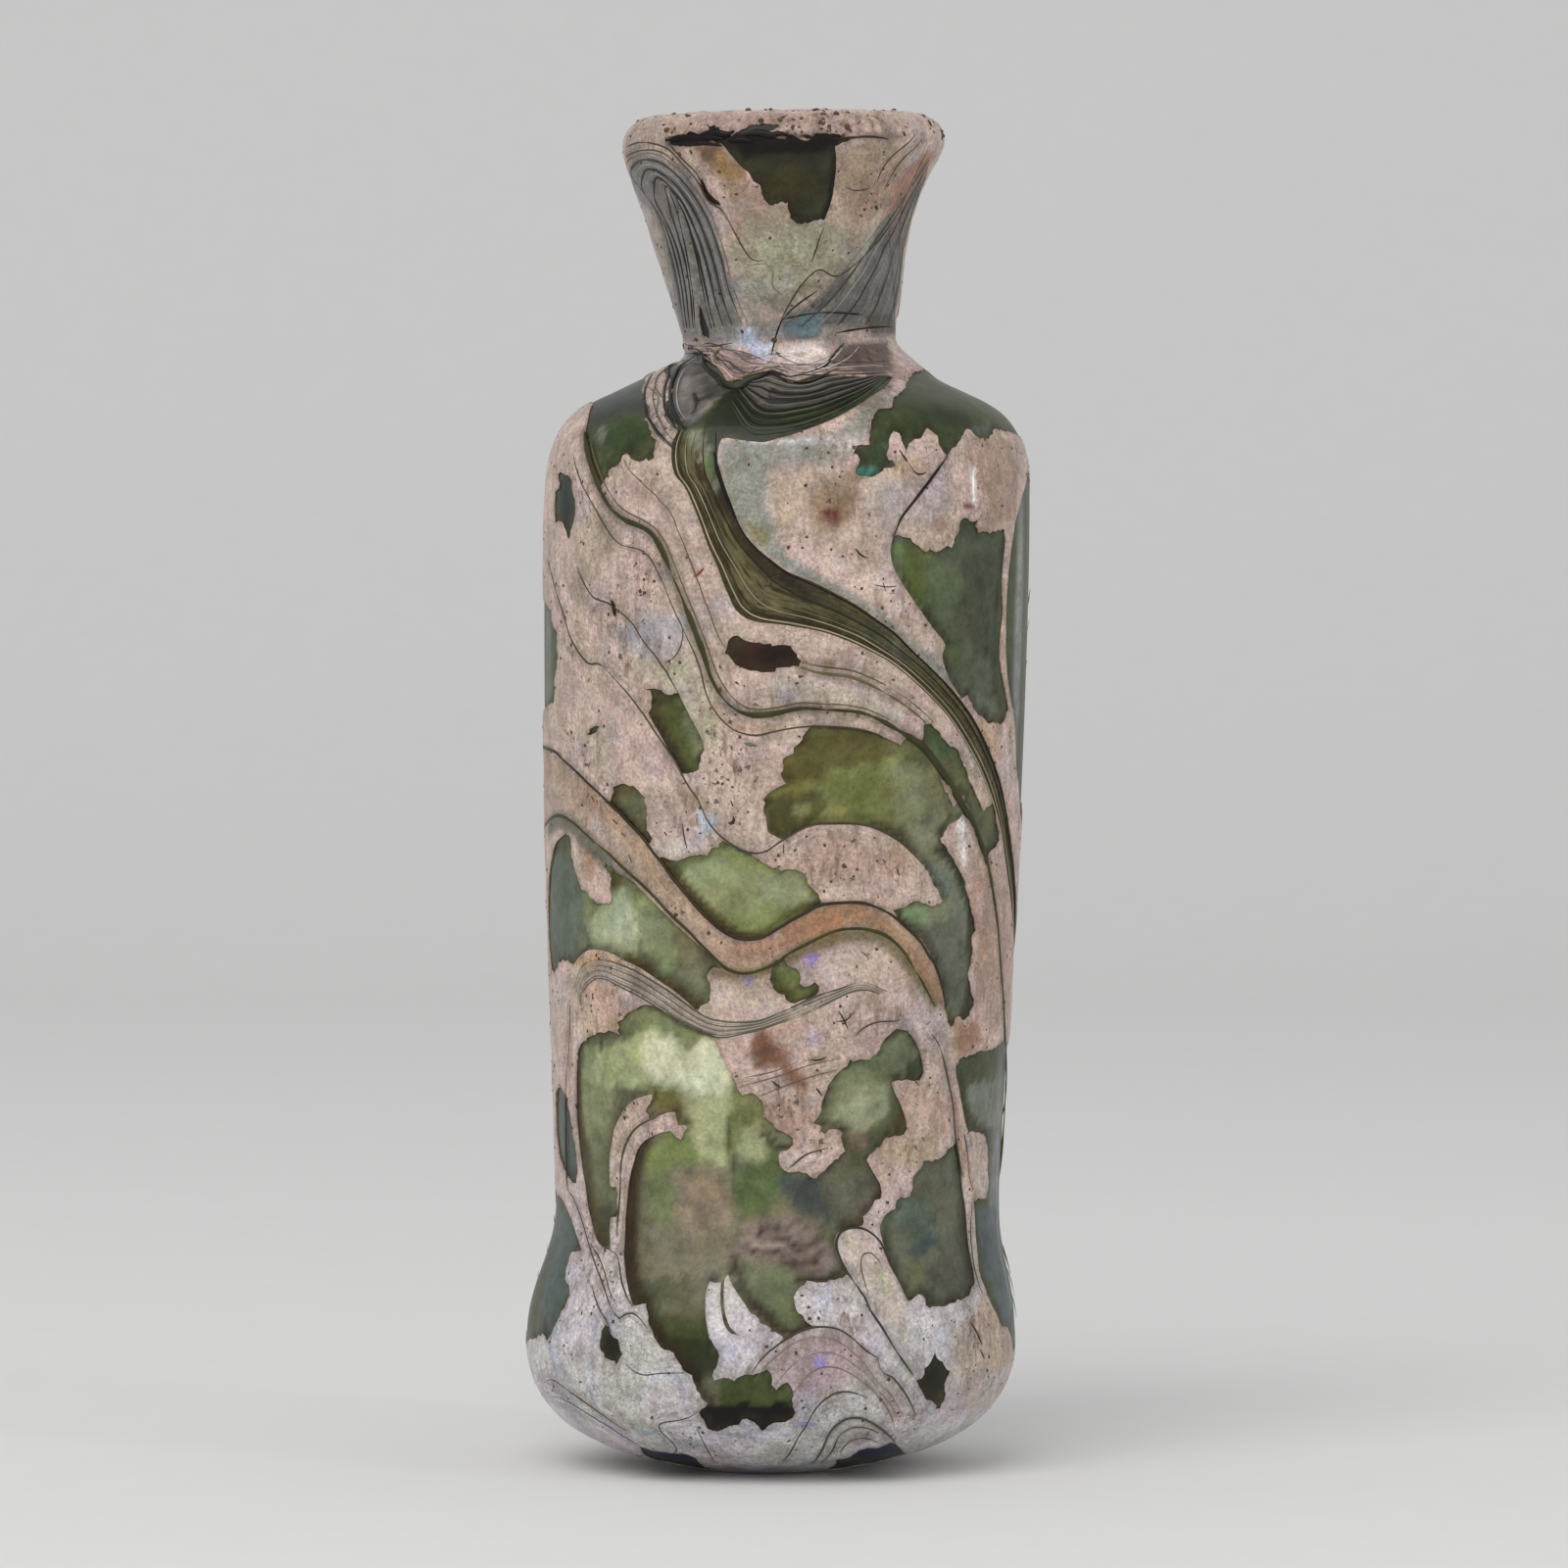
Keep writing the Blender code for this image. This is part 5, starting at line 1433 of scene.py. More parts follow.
FILM_STROKES: tuple[Stroke, ...] = (
    Stroke("A 0.3,115.4 2.5,115.7 3.8,114.1 2.5,112.3 0.6,112.9", 1, "#3b3a18", strength=0.8, cover=0.93),
    Stroke("A -3.4,116.8 4.6,116.8 4.4,112.6 2.6,110.8 0.8,111.6", 1.4, "#2c2916", strength=0.5, cover=0.96),
    Stroke("A -5.2,119.2 5.8,119.2 5.4,117 1,116.6 -3.2,116.2", 1.6, "#0a0705", strength=1.0, cover=1.0),
    Stroke("5.1,117 5,114.6 4.7,112.6 4.1,111", 1.2, "#0d0a07", strength=0.95, cover=0.99),
    Stroke("4.2,111 2.4,110.6 1.2,111.4 0.9,112.4", 0.9, "#120e09", strength=0.85, cover=0.99),
    Stroke("A -9.8,119.4 -4,119.4 -4,117.2 -9.8,117.2", 0.4, "#0d0906", strength=1.0, cover=1.0),
    Stroke("A -16.9,93.9 -15.3,95.6 -12,96 -11.7,94.4 -14.3,93.9 -16,92.7", 0.8, "#2c3638"),
    Stroke("A -15,93.2 -12.4,93.5 -11.5,91.3 -12.4,90.2 -14.1,90.4 -15,91.6", 0.8, "#41582a", strength=0.8),
    Stroke("A -16.9,92 -15.5,91.6 -15,90.2 -15.7,88 -16.5,89.2", 0.6, "#4f5f36"),
    Stroke("A -16,92.5 -15.5,92.6 -15.3,91.9 -15.6,91.1 -16,91.3", 0.3, "#8a977f"),
    Stroke(
        "-5.4,87.8 -4.4,85.4 -3.2,83.1 -2.1,81.4 -1.2,80 0.6,78.9 2.9,77.4 5.3,76.1 8,74.6 10.7,72.3 "
        "13.3,69.9",
        1.5, "#1f120d", cover=0.97,
    ),
    Stroke("13.3,69.9 15.7,67.4 17.5,65 19,62.6 19.9,59.6", 0.6, "#29231a", strength=0.85, cover=0.94),
    Stroke(
        "11.6,70.6 14.2,68 16.6,65.3 18.4,62.6 19.6,59.6 20.3,56.1",
        0.5, "#83846a", strength=0.8, cover=0.94,
    ),
    Stroke(
        "A -8.2,92 -6.8,92.3 -5.4,90.4 -4.4,88 -5.4,86.8 -6.3,88.3 -7.3,90.2",
        0.5, "#8b8f7c", strength=0.7, cover=0.92,
    ),
    Stroke(
        "-8.8,91.1 -9.4,89 -8.9,87.8 -8,86.6 -7,84.7 -6.3,82.6 -5.4,80.2 -4.4,77.7 -3.2,76 -1.6,75.1 "
        "3.1,74.6",
        0.6, "#3d3418", strength=0.7, cover=0.94,
    ),
    Stroke("A 10.2,82.1 11,82.4 12.1,80.4 13.3,76.4 11.9,76.4 10.6,79.6", 0.5, "#587a34", strength=0.85),
    Stroke("A 16.1,84.1 17.7,83.8 19.7,82.7 19.7,79 16.6,79 15.8,81.8", 0.8, "#4d5a44"),
    Stroke(
        "A 10.2,81.3 12.7,81.3 13.3,79.2 13.3,76.6 12.7,75.7 11.3,78 10.4,80.1",
        0.6, "#54662e", strength=0.85,
    ),
    Stroke("A 13,81 15.4,80.4 16.6,78 15.4,75.7 13.6,75.1 13.3,77.7", 0.8, "#5a6b4a"),
    Stroke("A 16.6,81.3 19.6,81.3 19.3,72.7 17.8,72.1 16.6,75.7", 0.8, "#48523c"),
    Stroke("A 14.8,70.3 19,71.8 19.6,66.8 17.2,67.4", 0.8, "#586450"),
    Stroke("A 16.6,68.5 19.6,68.5 19.9,66.3 17.8,66.8", 0.5, "#6c7a66", strength=0.7),
    # Painted shadow of the crust's edge on the bare glass (this and the next line).
    Stroke("20,81.6 19.7,78 19.4,72.7 19.7,69.1 20.1,66.2", 0.4, "#262a1e", cover=0.94),
    Stroke("19.3,79.8 18.9,76.3 18.7,72.7 19,69.1", 0.3, "#2b2f22", strength=0.8, cover=0.94),
    Stroke("A 6.9,88.6 7.6,89.1 9,88.8 8.8,88 7.4,88", 0.35, "#3a8e7c", strength=0.95),
    Stroke("A 8.5,91.4 9.9,91.6 9.6,89.1 7.6,89.1", 0.4, "#364a2c"),
    Stroke("A 16.6,92.2 19.1,93 19.1,91.6 17.5,91.9", 0.4, "#56665c"),
    Stroke("A 1.5,63.8 2.1,65 8.6,64.7 10.7,63.5 9.2,62.3 4.7,60.8 0.6,60.8", 0.7, "#5a5828", cover=0.93),
    Stroke("A -0.9,59.5 3.2,60.2 4.7,59 1.8,56.1 -0.6,56.1", 0.6, "#4e4e22", cover=0.93),
    Stroke("A 1.2,59 2.7,58.9 2.7,57.9 1.6,57.6", 0.4, "#8d9d62", strength=0.8),
    Stroke(
        "A 5,61.7 10.7,63.2 12.7,61.4 11.8,58.5 7.7,57.3 4.7,58.5",
        1, "#7c8a4c", strength=0.85, cover=0.86,
    ),
    Stroke(
        "A 10.1,62.6 14.2,62.6 13.6,60.2 13,57.9 10.7,57 9.8,59.6",
        0.8, "#868f68", strength=0.85, cover=0.86,
    ),
    Stroke("A 11.8,63.2 14.2,64.7 16.6,62.6 17.8,60.8 16,60.2 13.6,61.4", 0.7, "#5b6540"),
    Stroke("A 13,65.9 14.8,65 16.3,62.6 15.4,62.6 13.6,64.1", 0.5, "#4a6238"),
    Stroke("A 16.6,60.8 19.3,58.5 19.3,55.5 17.8,54.9 16.9,57.9", 0.6, "#696f4e"),
    Stroke("A 11.6,57 14.2,57 14.8,54.9 16,52.1 13,52.1 11.8,54.9", 0.7, "#898f6e"),
    # Painted shadow of the crust's edge on the bare glass (this and the next line).
    Stroke("14.5,56.4 15.3,54.3 16.3,52.1", 0.9, "#2a2616", cover=0.94),
    Stroke("13,61.1 14.5,59.6 15.4,57.9 14.5,56.7", 0.6, "#3c3a1c", strength=0.8, cover=0.94),
    Stroke("A 11.1,49.8 13.3,50 13.3,48.1 12.1,48.1 11.1,48.8", 0.4, "#7d9c6c"),
    Stroke("A 12.3,47.6 16.2,49 17.2,44.6 16.2,39.7 14.8,41.7 13.8,44.9", 0.8, "#646c5a"),
    Stroke("A 13.3,54 15.3,53.5 15.8,51.5 14.3,51 12.8,53.5", 0.6, "#73877a"),
    # Painted shadow of the crust's edge on the bare glass.
    Stroke("14.3,54.9 15.8,53.5 16.7,51 17.5,48.1 17.5,44.6 17.2,41.7 16.7,39.7", 0.9, "#2c3022", cover=0.94),
    Stroke("A -11.2,69 -8.9,68.6 -8.7,68.1 -9.6,66.1 -11.1,66.6", 0.6, "#4a421e", strength=0.85, cover=0.92),
    Stroke("A -10.6,67.8 -8.7,68.1 -6.7,63.9 -7.4,61.7 -8.4,61.7 -9.9,64.6", 0.6, "#5a642f", strength=0.8),
    Stroke("A -8.7,68.1 -6.6,63.9 -7.1,62.7 -8.2,64.6", 0.4, "#76835e"),
    # Painted shadow of the crust's edge on the bare glass.
    Stroke("-11.4,66.8 -9.9,64.6 -8.4,61.7", 0.8, "#40321a", cover=0.94),
    Stroke("A -14.7,60.5 -13.1,60.5 -13.3,59.3 -14.5,59", 0.5, "#665a34"),
    Stroke("A -14,59.3 -12.1,60 -11.7,57.8 -12.3,56.1 -13.3,57.6", 0.5, "#696f4e"),
    # Painted shadow of the crust's edge on the bare glass.
    Stroke("-14.8,58.8 -13.3,57.3 -11.6,55.4", 0.7, "#3b381c", cover=0.94),
    Stroke("-12.3,59.5 -11.7,58.3 -11.7,56.8", 0.4, "#7f8c78", strength=0.8, cover=0.94),
    Stroke("A -2.1,73 1.8,73 1.8,71.2 -0.1,70.9 -1.8,71.5", 0.5, "#1f110d", cover=0.97),
    # Painted shadow of the crust's edge on the bare glass.
    Stroke(
        "-10.5,53.9 -9.3,52.5 -8,51 -6.7,49.5 -5.1,48.2 -3.3,47.1 -1.4,47",
        1.4, "#4b4212", strength=0.95, cover=0.96,
    ),
    Stroke("A -8.5,52.8 -6.2,54.1 -4.1,53.9 -4.6,52 -7.2,51.2", 0.5, "#93a577"),
    Stroke(
        "A -4.6,53.9 -2,52.8 -0.9,50.7 -3,48.3 -5.7,49.6 -6.2,51.7",
        0.7, "#889468", strength=0.8, cover=0.86,
    ),
    Stroke("A -2,52.5 2.2,52.5 3.3,50.4 0.1,49.4 -1.4,50.7", 0.5, "#98a47c", strength=0.85, cover=0.84),
    Stroke("A -4.6,49.1 -2,48.1 -2.5,47.3 -4.3,48.1", 0.5, "#8b9a58", strength=0.8),
    # Painted shadow of the crust's edge on the bare glass.
    Stroke("-1.2,47.5 0.7,48.9 2.2,49.8 3.8,50.2", 0.7, "#56561f", cover=0.94),
    Stroke("A -20.4,53.9 -18.8,54.6 -18,53.9 -17.5,50.2 -17.5,45.4 -19.3,44.9 -20.3,47.5", 0.8, "#5c6b5d"),
    Stroke(
        "A -17.7,48.6 -16,49.3 -14.1,51.5 -13,50.2 -12.6,47.6 -13,45.6 -14.8,45.9 -16.4,46.6",
        0.9, "#adbf97", cover=0.8,
    ),
    Stroke("A -18.8,50.2 -17.4,50.2 -17.1,46.7 -17.8,46 -18.3,47.5", 0.8, "#64745a"),
    Stroke("A -12.8,50.4 -10.4,49.1 -9.1,46.7 -9.9,44.9 -12.2,46", 0.8, "#82916f"),
    Stroke("A -11.2,46.7 -9.1,46.7 -8.8,43.9 -10.4,44.1", 0.8, "#7f9464"),
    Stroke("A -9.9,48.6 -8.3,47 -6.2,44.1 -6.2,42.3 -8.3,43.3 -9.3,46", 0.5, "#7a795a"),
    # Painted shadow of the crust's edge on the bare glass.
    Stroke("-13.5,45 -12,43.9 -9.9,42.5 -8,41.2 -6.7,40.5", 1.4, "#554813", strength=0.95, cover=0.96),
    Stroke("A -6.4,44.1 -5.9,43.9 -6,41.7 -6.7,41.2", 0.4, "#5f6a48"),
    Stroke("A -15.1,53.3 -13.8,52.5 -14.1,51.5 -15.1,51.7", 0.4, "#5c5524"),
    # Painted shadow of the crust's edge on the bare glass.
    Stroke("-0.7,44.4 -0.7,42.8 0.4,41.7 1.5,41.1 2.8,41.5 3.6,42.3", 0.8, "#484214", cover=0.94),
    Stroke("A -0.1,44.9 1.2,45.4 2,43.9 1.2,42.8 0.1,43.3", 0.4, "#74864c"),
    Stroke("A 5.3,32.9 7.4,34 10,34 10,31.4 7.7,29.5 5.1,30.8", 0.5, "#95a07c", cover=0.84),
    Stroke("A 6.4,33.2 8,33.5 8.2,31.9 6.6,31.6", 0.6, "#aab48e", strength=0.8, cover=0.82),
    # Painted shadow of the crust's edge on the bare glass.
    Stroke("10.6,34 11.1,31.9 10.7,29.5", 0.8, "#4b3818", cover=0.94),
    Stroke("A 5.9,29.8 8,29.5 8.2,28 6.4,27.7", 0.4, "#7c6f58"),
    Stroke("A 9.1,36.8 11.3,38.7 12.6,36.8 11.3,34.6 9.6,35.1", 0.4, "#717c5e"),
    # Painted shadow of the crust's edge on the bare glass.
    Stroke("11.6,38.7 12.1,37.3 11.7,35.6", 0.4, "#3c4a3a", cover=0.94),
    Stroke("A -5.6,7.5 -0.7,8 1.1,6.4 1.1,5.1 -5.2,5.1", 0.3, "#3f5220", cover=0.93),
    Stroke(
        "A -7.2,5.4 -5.4,4.9 -3.4,5.4 -1.2,5 0.4,5.6 1.6,5 1.6,2.9 -3,2.6 -7.2,3",
        0.3, "#0b0806", strength=1.0, cover=1.0,
    ),
    # Painted shadow of the crust's edge on the bare glass.
    Stroke("-11,12.7 -10.1,10.4 -8.3,8.6 -7,6.9 -6.1,5.5", 0.6, "#38200f", cover=0.94),
    Stroke("A 12.4,26.9 15.5,27.7 16.3,24 15.8,16.2 13.5,15.7 11.4,15.1 10,18.8 10.3,22.7", 0.6, "#646a56"),
    Stroke("A 10,23.8 13.5,24 14,20.9 11.9,19.3 10.6,21.4", 0.6, "#5b6c5e"),
    Stroke("A 11.6,19.1 13.5,20.4 14.5,20.1 13.7,19.1 12.1,18.4", 0.5, "#41504f"),
    Stroke("A 10.6,18.3 12.9,18.5 13.5,16.7 11.9,15.1 11.4,16.2", 0.7, "#6b7150"),
    Stroke("A 13.5,18.3 16.6,18.8 16.9,16.2 15,15.4 13.5,16.2", 0.5, "#585a4c"),
    # Painted shadow of the crust's edge on the bare glass (this and the next line).
    Stroke("16.1,28.2 16.9,24 17.1,19.8 17.5,16.2", 0.7, "#33352a", cover=0.94),
    Stroke("12.9,14.3 15,14.2 17.1,15.1", 0.6, "#2f3626", cover=0.94),
    Stroke("A 16.9,34 20,34.5 20.3,29.8 18.2,30 17.1,31.4", 0.9, "#78857a"),
    Stroke("A 17.9,23 19.7,23 21,13.6 20.3,13 18.7,16.7", 0.6, "#4f6062"),
    Stroke("19.7,29.3 19.7,23.5 20,18.8 21,14.1", 0.6, "#8d9a9c", strength=0.8, cover=0.94),
    Stroke("A -20.4,23.8 -18.8,21.9 -17.5,19.1 -18.8,18.3 -18.6,16.2 -19.9,12 -20.4,10.9", 0.6, "#50605c"),
    Stroke("A -19.6,33.5 -18.8,32.9 -18,25.3 -18.8,25.3 -19.6,29.3", 0.4, "#566360"),
    # Painted shadow of the crust's edge on the bare glass.
    Stroke("-19.3,33.5 -18.3,29.3 -18,25.6", 0.4, "#363c38", cover=0.94),
    Stroke(
        "A -17.8,37.1 -15.2,37.5 -14.5,34 -14.8,31.9 -15.5,27.7 -17.3,28.4 -17.9,32.6",
        1.4, "#8f9c70", strength=0.85,
    ),
    Stroke("A -17.4,29.1 -15.2,29.4 -15,24.2 -15.2,21.4 -16.6,22.8", 1.4, "#6a7352", cover=0.9),
    Stroke("A -16.7,23.5 -15.2,22.8 -14.6,20 -16.2,19.7", 0.8, "#3f4630", cover=0.93),
    # Painted shadow of the crust's edge on the bare glass.
    Stroke(
        "-17.7,36.6 -17.9,34.3 -17.7,30.8 -17.2,27.3 -16.6,23.5 -15.9,20",
        1.3, "#524a24", strength=0.85, cover=0.94,
    ),
    # Painted shadow of the crust's edge on the bare glass.
    Stroke("-15.7,38.5 -15.9,37.1 -15.5,36.2", 0.45, "#2c3020", cover=0.94),
    # Painted glow of light shining through the glass from behind, on a pale patch of film.
    Stroke(
        "A -16.2,36.8 -12.7,38.3 -11,38.7 -8.9,37.1 -7.1,36.4 -6.4,34.3 -8.5,33.5 -14.5,33.6 -16.4,34.2",
        1.2, "#b4c48c", strength=0.85, cover=0.82,
    ),
    # Brightest part of the painted glow of light shining through from behind.
    Stroke(
        "A -12,38 -9.2,37.6 -8.2,36.4 -6.8,38 -5,36.8 -4.1,34.3 -4.5,32.5 -7.5,32.9 -9.9,34 -12.4,35.4",
        0.9, "#e2ebc6", strength=0.95, cover=0.74,
    ),
    Stroke(
        "A -14.3,39.9 -12,40.9 -8.9,39.6 -6.1,38.4 -7,37.9 -8.1,36.6 -9.5,38.4 -11.2,39.2 -12.7,38.6 "
        "-14.1,38.2",
        0.25, "#7d895c", strength=0.95, cover=0.92,
    ),
    Stroke("-14.6,33.6 -12,33.7 -8.9,33.5 -6.4,33.1 -4.2,32.2", 0.3, "#68703f", strength=0.8, cover=0.94),
    Stroke(
        "A -11.2,33.2 -8.4,33.1 -8.2,31.9 -8.9,30.3 -10.8,30.8",
        0.7, "#6c6a36", strength=0.85, cover=0.94,
    ),
    Stroke("A -8.2,33 -4,32.4 -4,29.1 -4.7,26.7 -7.1,27 -8.2,29.1 -8.2,31.5", 1.2, "#aebb88", cover=0.84),
    Stroke(
        "A -11,29.3 -8.2,29.8 -6.8,27 -8.9,26.2 -11.7,26.5 -12.2,27.7",
        1, "#7b8f4c", strength=0.85, cover=0.9,
    ),
    Stroke("A -11.8,26 -9.6,26 -8.9,23.5 -9.6,21.4 -11.7,21.4", 1.5, "#687e4e", strength=0.85, cover=0.9),
    Stroke(
        "A -8.9,26 -5.4,26 -4,24.2 -4,21.4 -5.4,20 -7.8,20.4 -8.9,22.8",
        2, "#93866e", strength=0.85, cover=0.92,
    ),
    Stroke(
        "A -11.7,21.4 -7.1,21.1 -4,20 -4.7,17.9 -6.4,16.4 -11.3,16.5",
        1.5, "#7d7c66", strength=0.8, cover=0.91,
    ),
    Stroke("A -11.1,16.9 -5.7,16.5 -6.1,13 -10.6,13", 1.4, "#6a6a4e", strength=0.8, cover=0.91),
    Stroke("A -11,13.4 -6.1,13 -5.6,10.3 -8.5,9.9 -10.6,11.7", 1.2, "#424d22", strength=0.85, cover=0.93),
    Stroke("A -9.9,11.3 -5.6,10.8 -5,8 -7.1,7.5 -9.2,9.2", 0.8, "#222b0f", cover=0.95),
    # Painted shadow of the crust's edge on the bare glass.
    Stroke(
        "-12.1,28.9 -12.8,27 -13.2,24.2 -13.4,20.7 -13.2,17.2 -12.5,14.8",
        2.3, "#33270f", strength=0.95, cover=0.96,
    ),
    # Painted shadow of the crust's edge on the bare glass.
    Stroke("-12,14.4 -11.2,12.3 -9.6,9.9 -7.5,7.6", 1.4, "#29220d", strength=0.95, cover=0.96),
    Stroke(
        "A -4,33.6 -2.2,33.6 -0.9,31.9 -0.9,27.7 -2.9,27.3 -4.5,28.4 -4.7,30.8",
        1.2, "#74814a", strength=0.85, cover=0.9,
    ),
    Stroke("-4.3,30.8 -4.4,28.4 -3.8,26", 0.8, "#454f22", strength=0.8, cover=0.94),
    Stroke(
        "A -3.2,29.7 -1.9,30.3 -0.9,29.1 -0.9,27 -2.2,26.2 -3.4,27.3",
        0.5, "#a0ae82", strength=0.85, cover=0.86,
    ),
    Stroke("-1.4,29.4 -0.4,28.6 0.5,28.2", 0.6, "#35270f", cover=0.94),
    Stroke(
        "A -3.6,26.7 0.2,27 0.5,24.2 -0.9,22.1 -3.3,22.5 -4.3,24.6",
        1.2, "#5a7040", strength=0.85, cover=0.92,
    ),
    Stroke("A 0.5,25.3 3.7,25.6 5.1,23.5 4.7,21.4 1.9,22.8 0.2,23.9", 0.9, "#434c48", cover=0.95),
    Stroke(
        "A 4,27 6.1,27.5 8.6,26.7 9.3,24.2 7.5,22.8 7.2,21.4 5.4,21.4 4,23.5",
        0.5, "#585a46", strength=0.95, cover=0.95,
    ),
    Stroke("A 4.9,26.7 7.2,26.7 7.5,24.6 5.4,24.2", 0.9, "#5d6845", strength=0.8, cover=0.94),
    # Painted shadow of the crust's edge on the bare glass.
    Stroke("9.1,26 9.3,23.9 7.7,22.8 7.3,21.2 5.8,21.4", 0.8, "#452c22", cover=0.96),
    Stroke(
        "A -2.9,21.8 0.5,22.5 3.3,21.4 5.4,18.3 3.7,16.5 0.5,17.9 -2.2,17.9 -4,19",
        1, "#7f746c", cover=0.95,
    ),
    Stroke("-0.9,19.2 0.5,20 1.9,19.2 3.7,20", 0.7, "#46352f", strength=0.85, cover=0.94),
    Stroke("-1.6,21.1 0.2,20.7 1.2,21.4", 0.5, "#5a4740", strength=0.75, cover=0.94),
    Stroke("0.5,18.3 2.3,17.9 4,18.9", 0.6, "#4d3a33", strength=0.8, cover=0.94),
    Stroke("-2.9,20 -1.6,19.5 0.2,19.7", 0.5, "#b3a79c", strength=0.7, cover=0.94),
    # Painted shadow of the crust's edge on the bare glass (this and the next line).
    Stroke("-4,18.3 -2.9,15.8 -1.6,13.7 1.2,11.7 2.8,12.1", 0.9, "#31241b", cover=0.94),
    Stroke("1.9,16.4 4,16.4 5.6,16.7", 0.9, "#33230f", strength=0.85, cover=0.94),
    Stroke(
        "A -3.6,17.9 1.2,17.6 1.9,14.8 1.9,12.3 0.2,12.7 -2.2,15.1",
        0.9, "#64714c", strength=0.85, cover=0.91,
    ),
    Stroke(
        "A -8.2,98.2 -6.9,99 -6.5,97.6 -5.3,96.6 -4.7,95.9 -5.3,95.1 -6.2,94.2 -6.9,93.5 -7.9,92.8 -8.8,92.9 "
        "-9.4,93.9 -9.6,95.7 -9.2,97.2 -8.6,98",
        0.3, "#6a6660", strength=0.97, cover=0.97,
    ),
    Stroke("A -8.4,98.3 -6.9,99 -6.5,97.5 -7.6,97.1 -8.9,97", 0.8, "#45433f", strength=0.85, cover=0.97),
    Stroke("A -6.6,97.4 -5.3,96.5 -4.9,95.5 -6,95 -6.9,95.9", 0.8, "#3e3d37", strength=0.85, cover=0.97),
    Stroke("-8.7,93.3 -7.6,93.5 -6.4,94.3 -5.4,95.2", 0.5, "#8d8982", strength=0.8, cover=0.97),
    Stroke("A -9,96.5 -8.2,97 -7.7,96.3 -8.1,94.9 -8.8,94.9", 0.5, "#8b8780", strength=0.7, cover=0.96),
    Stroke(
        "-7.3,99 -8.4,98.1 -9.3,96.9 -9.6,95.5 -9.3,93.9 -8.7,92.8",
        0.6, "#2f3336", strength=0.95, cover=0.97,
    ),
    Stroke("-7.8,93.5 -7.3,94.4 -7.5,95.5 -7.1,94.9 -6.4,95.2 -5.7,95.5", 0.5, "#3a3b33", cover=0.97),
    Stroke(
        "A -4.7,95.7 -3,96 -2.2,93.9 -1.6,92.3 -2.4,91.4 -4.5,91.8 -5.6,92.1 -6.2,93.4 -5.6,94.7",
        0.6, "#1b2410", strength=0.95, cover=0.97,
    ),
    Stroke("A -6.5,93.9 -4.8,94.7 -4.5,92.1 -5,91 -5.8,90.2 -6.5,91 -6.7,92.3", 0.5, "#263018", cover=0.96),
    Stroke("A -6.9,90.2 -5.8,90.5 -5.3,88.9 -5.8,87.4 -6.6,88.4", 0.6, "#64834a", strength=0.85, cover=0.9),
    Stroke("-5.7,90.2 -5.4,88.7 -4.7,86.6 -3.7,84.3", 0.7, "#15160e", cover=0.97),
    Stroke("A 4.6,97.9 9.9,98 10,97.2 7.4,95.6 4.2,95.6", 0.9, "#37322a", strength=0.7, cover=0.97),
    Stroke(
        "3.4,77.3 6.4,75.7 9.4,73.7 12,71.6 14.2,69.4 16.2,66.9",
        1.3, "#5d6640", strength=0.6, cover=0.93,
    ),
    Stroke(
        "A -16.4,91 -15.4,94.4 -12.4,96.2 -11.4,94.4 -11.8,91.2 -14,90",
        1.6, "#232f16", strength=0.45, cover=0.94,
    ),
    Stroke("A 9.8,92.2 10.8,95.4 14.6,96.4 18,94 17,92 13,91", 1.6, "#212d16", strength=0.45, cover=0.94),
    Stroke("A 4.8,24.6 6.4,25.8 8.2,25 8.6,23.6 7,22.6 5.2,22.8", 1.0, "#68665a", strength=0.6, cover=0.94),
    Stroke("A -15,47.8 -13.6,49.4 -12.4,47.6 -13.4,46.4", 1.4, "#c9d6b6", strength=0.8, cover=0.76),
    Stroke("A 4.6,60.2 8.4,61.6 11,60.4 9.6,58.4 6.2,58", 1.4, "#5c5e26", strength=0.6, cover=0.9),
    Stroke("A 12.6,61.6 15.6,62.4 17,59.6 15.6,57.8 13.4,58.6", 1.4, "#7f8358", strength=0.6, cover=0.9),
    Stroke("-1.6,20.6 -0.4,21.2 0.9,20.8 1.6,21.6 2.6,20.9", 0.3, "#2e2420", strength=0.9, cover=0.97),
    Stroke(
        "-2.4,18.9 -1.2,19.3 0.2,18.9 1.4,19.5 2.8,19.2 3.8,19.7",
        0.3, "#332723", strength=0.9, cover=0.97,
    ),
    Stroke("0.2,17.9 1.4,18.3 2.6,17.8 3.6,18.2", 0.3, "#332723", strength=0.9, cover=0.97),
)

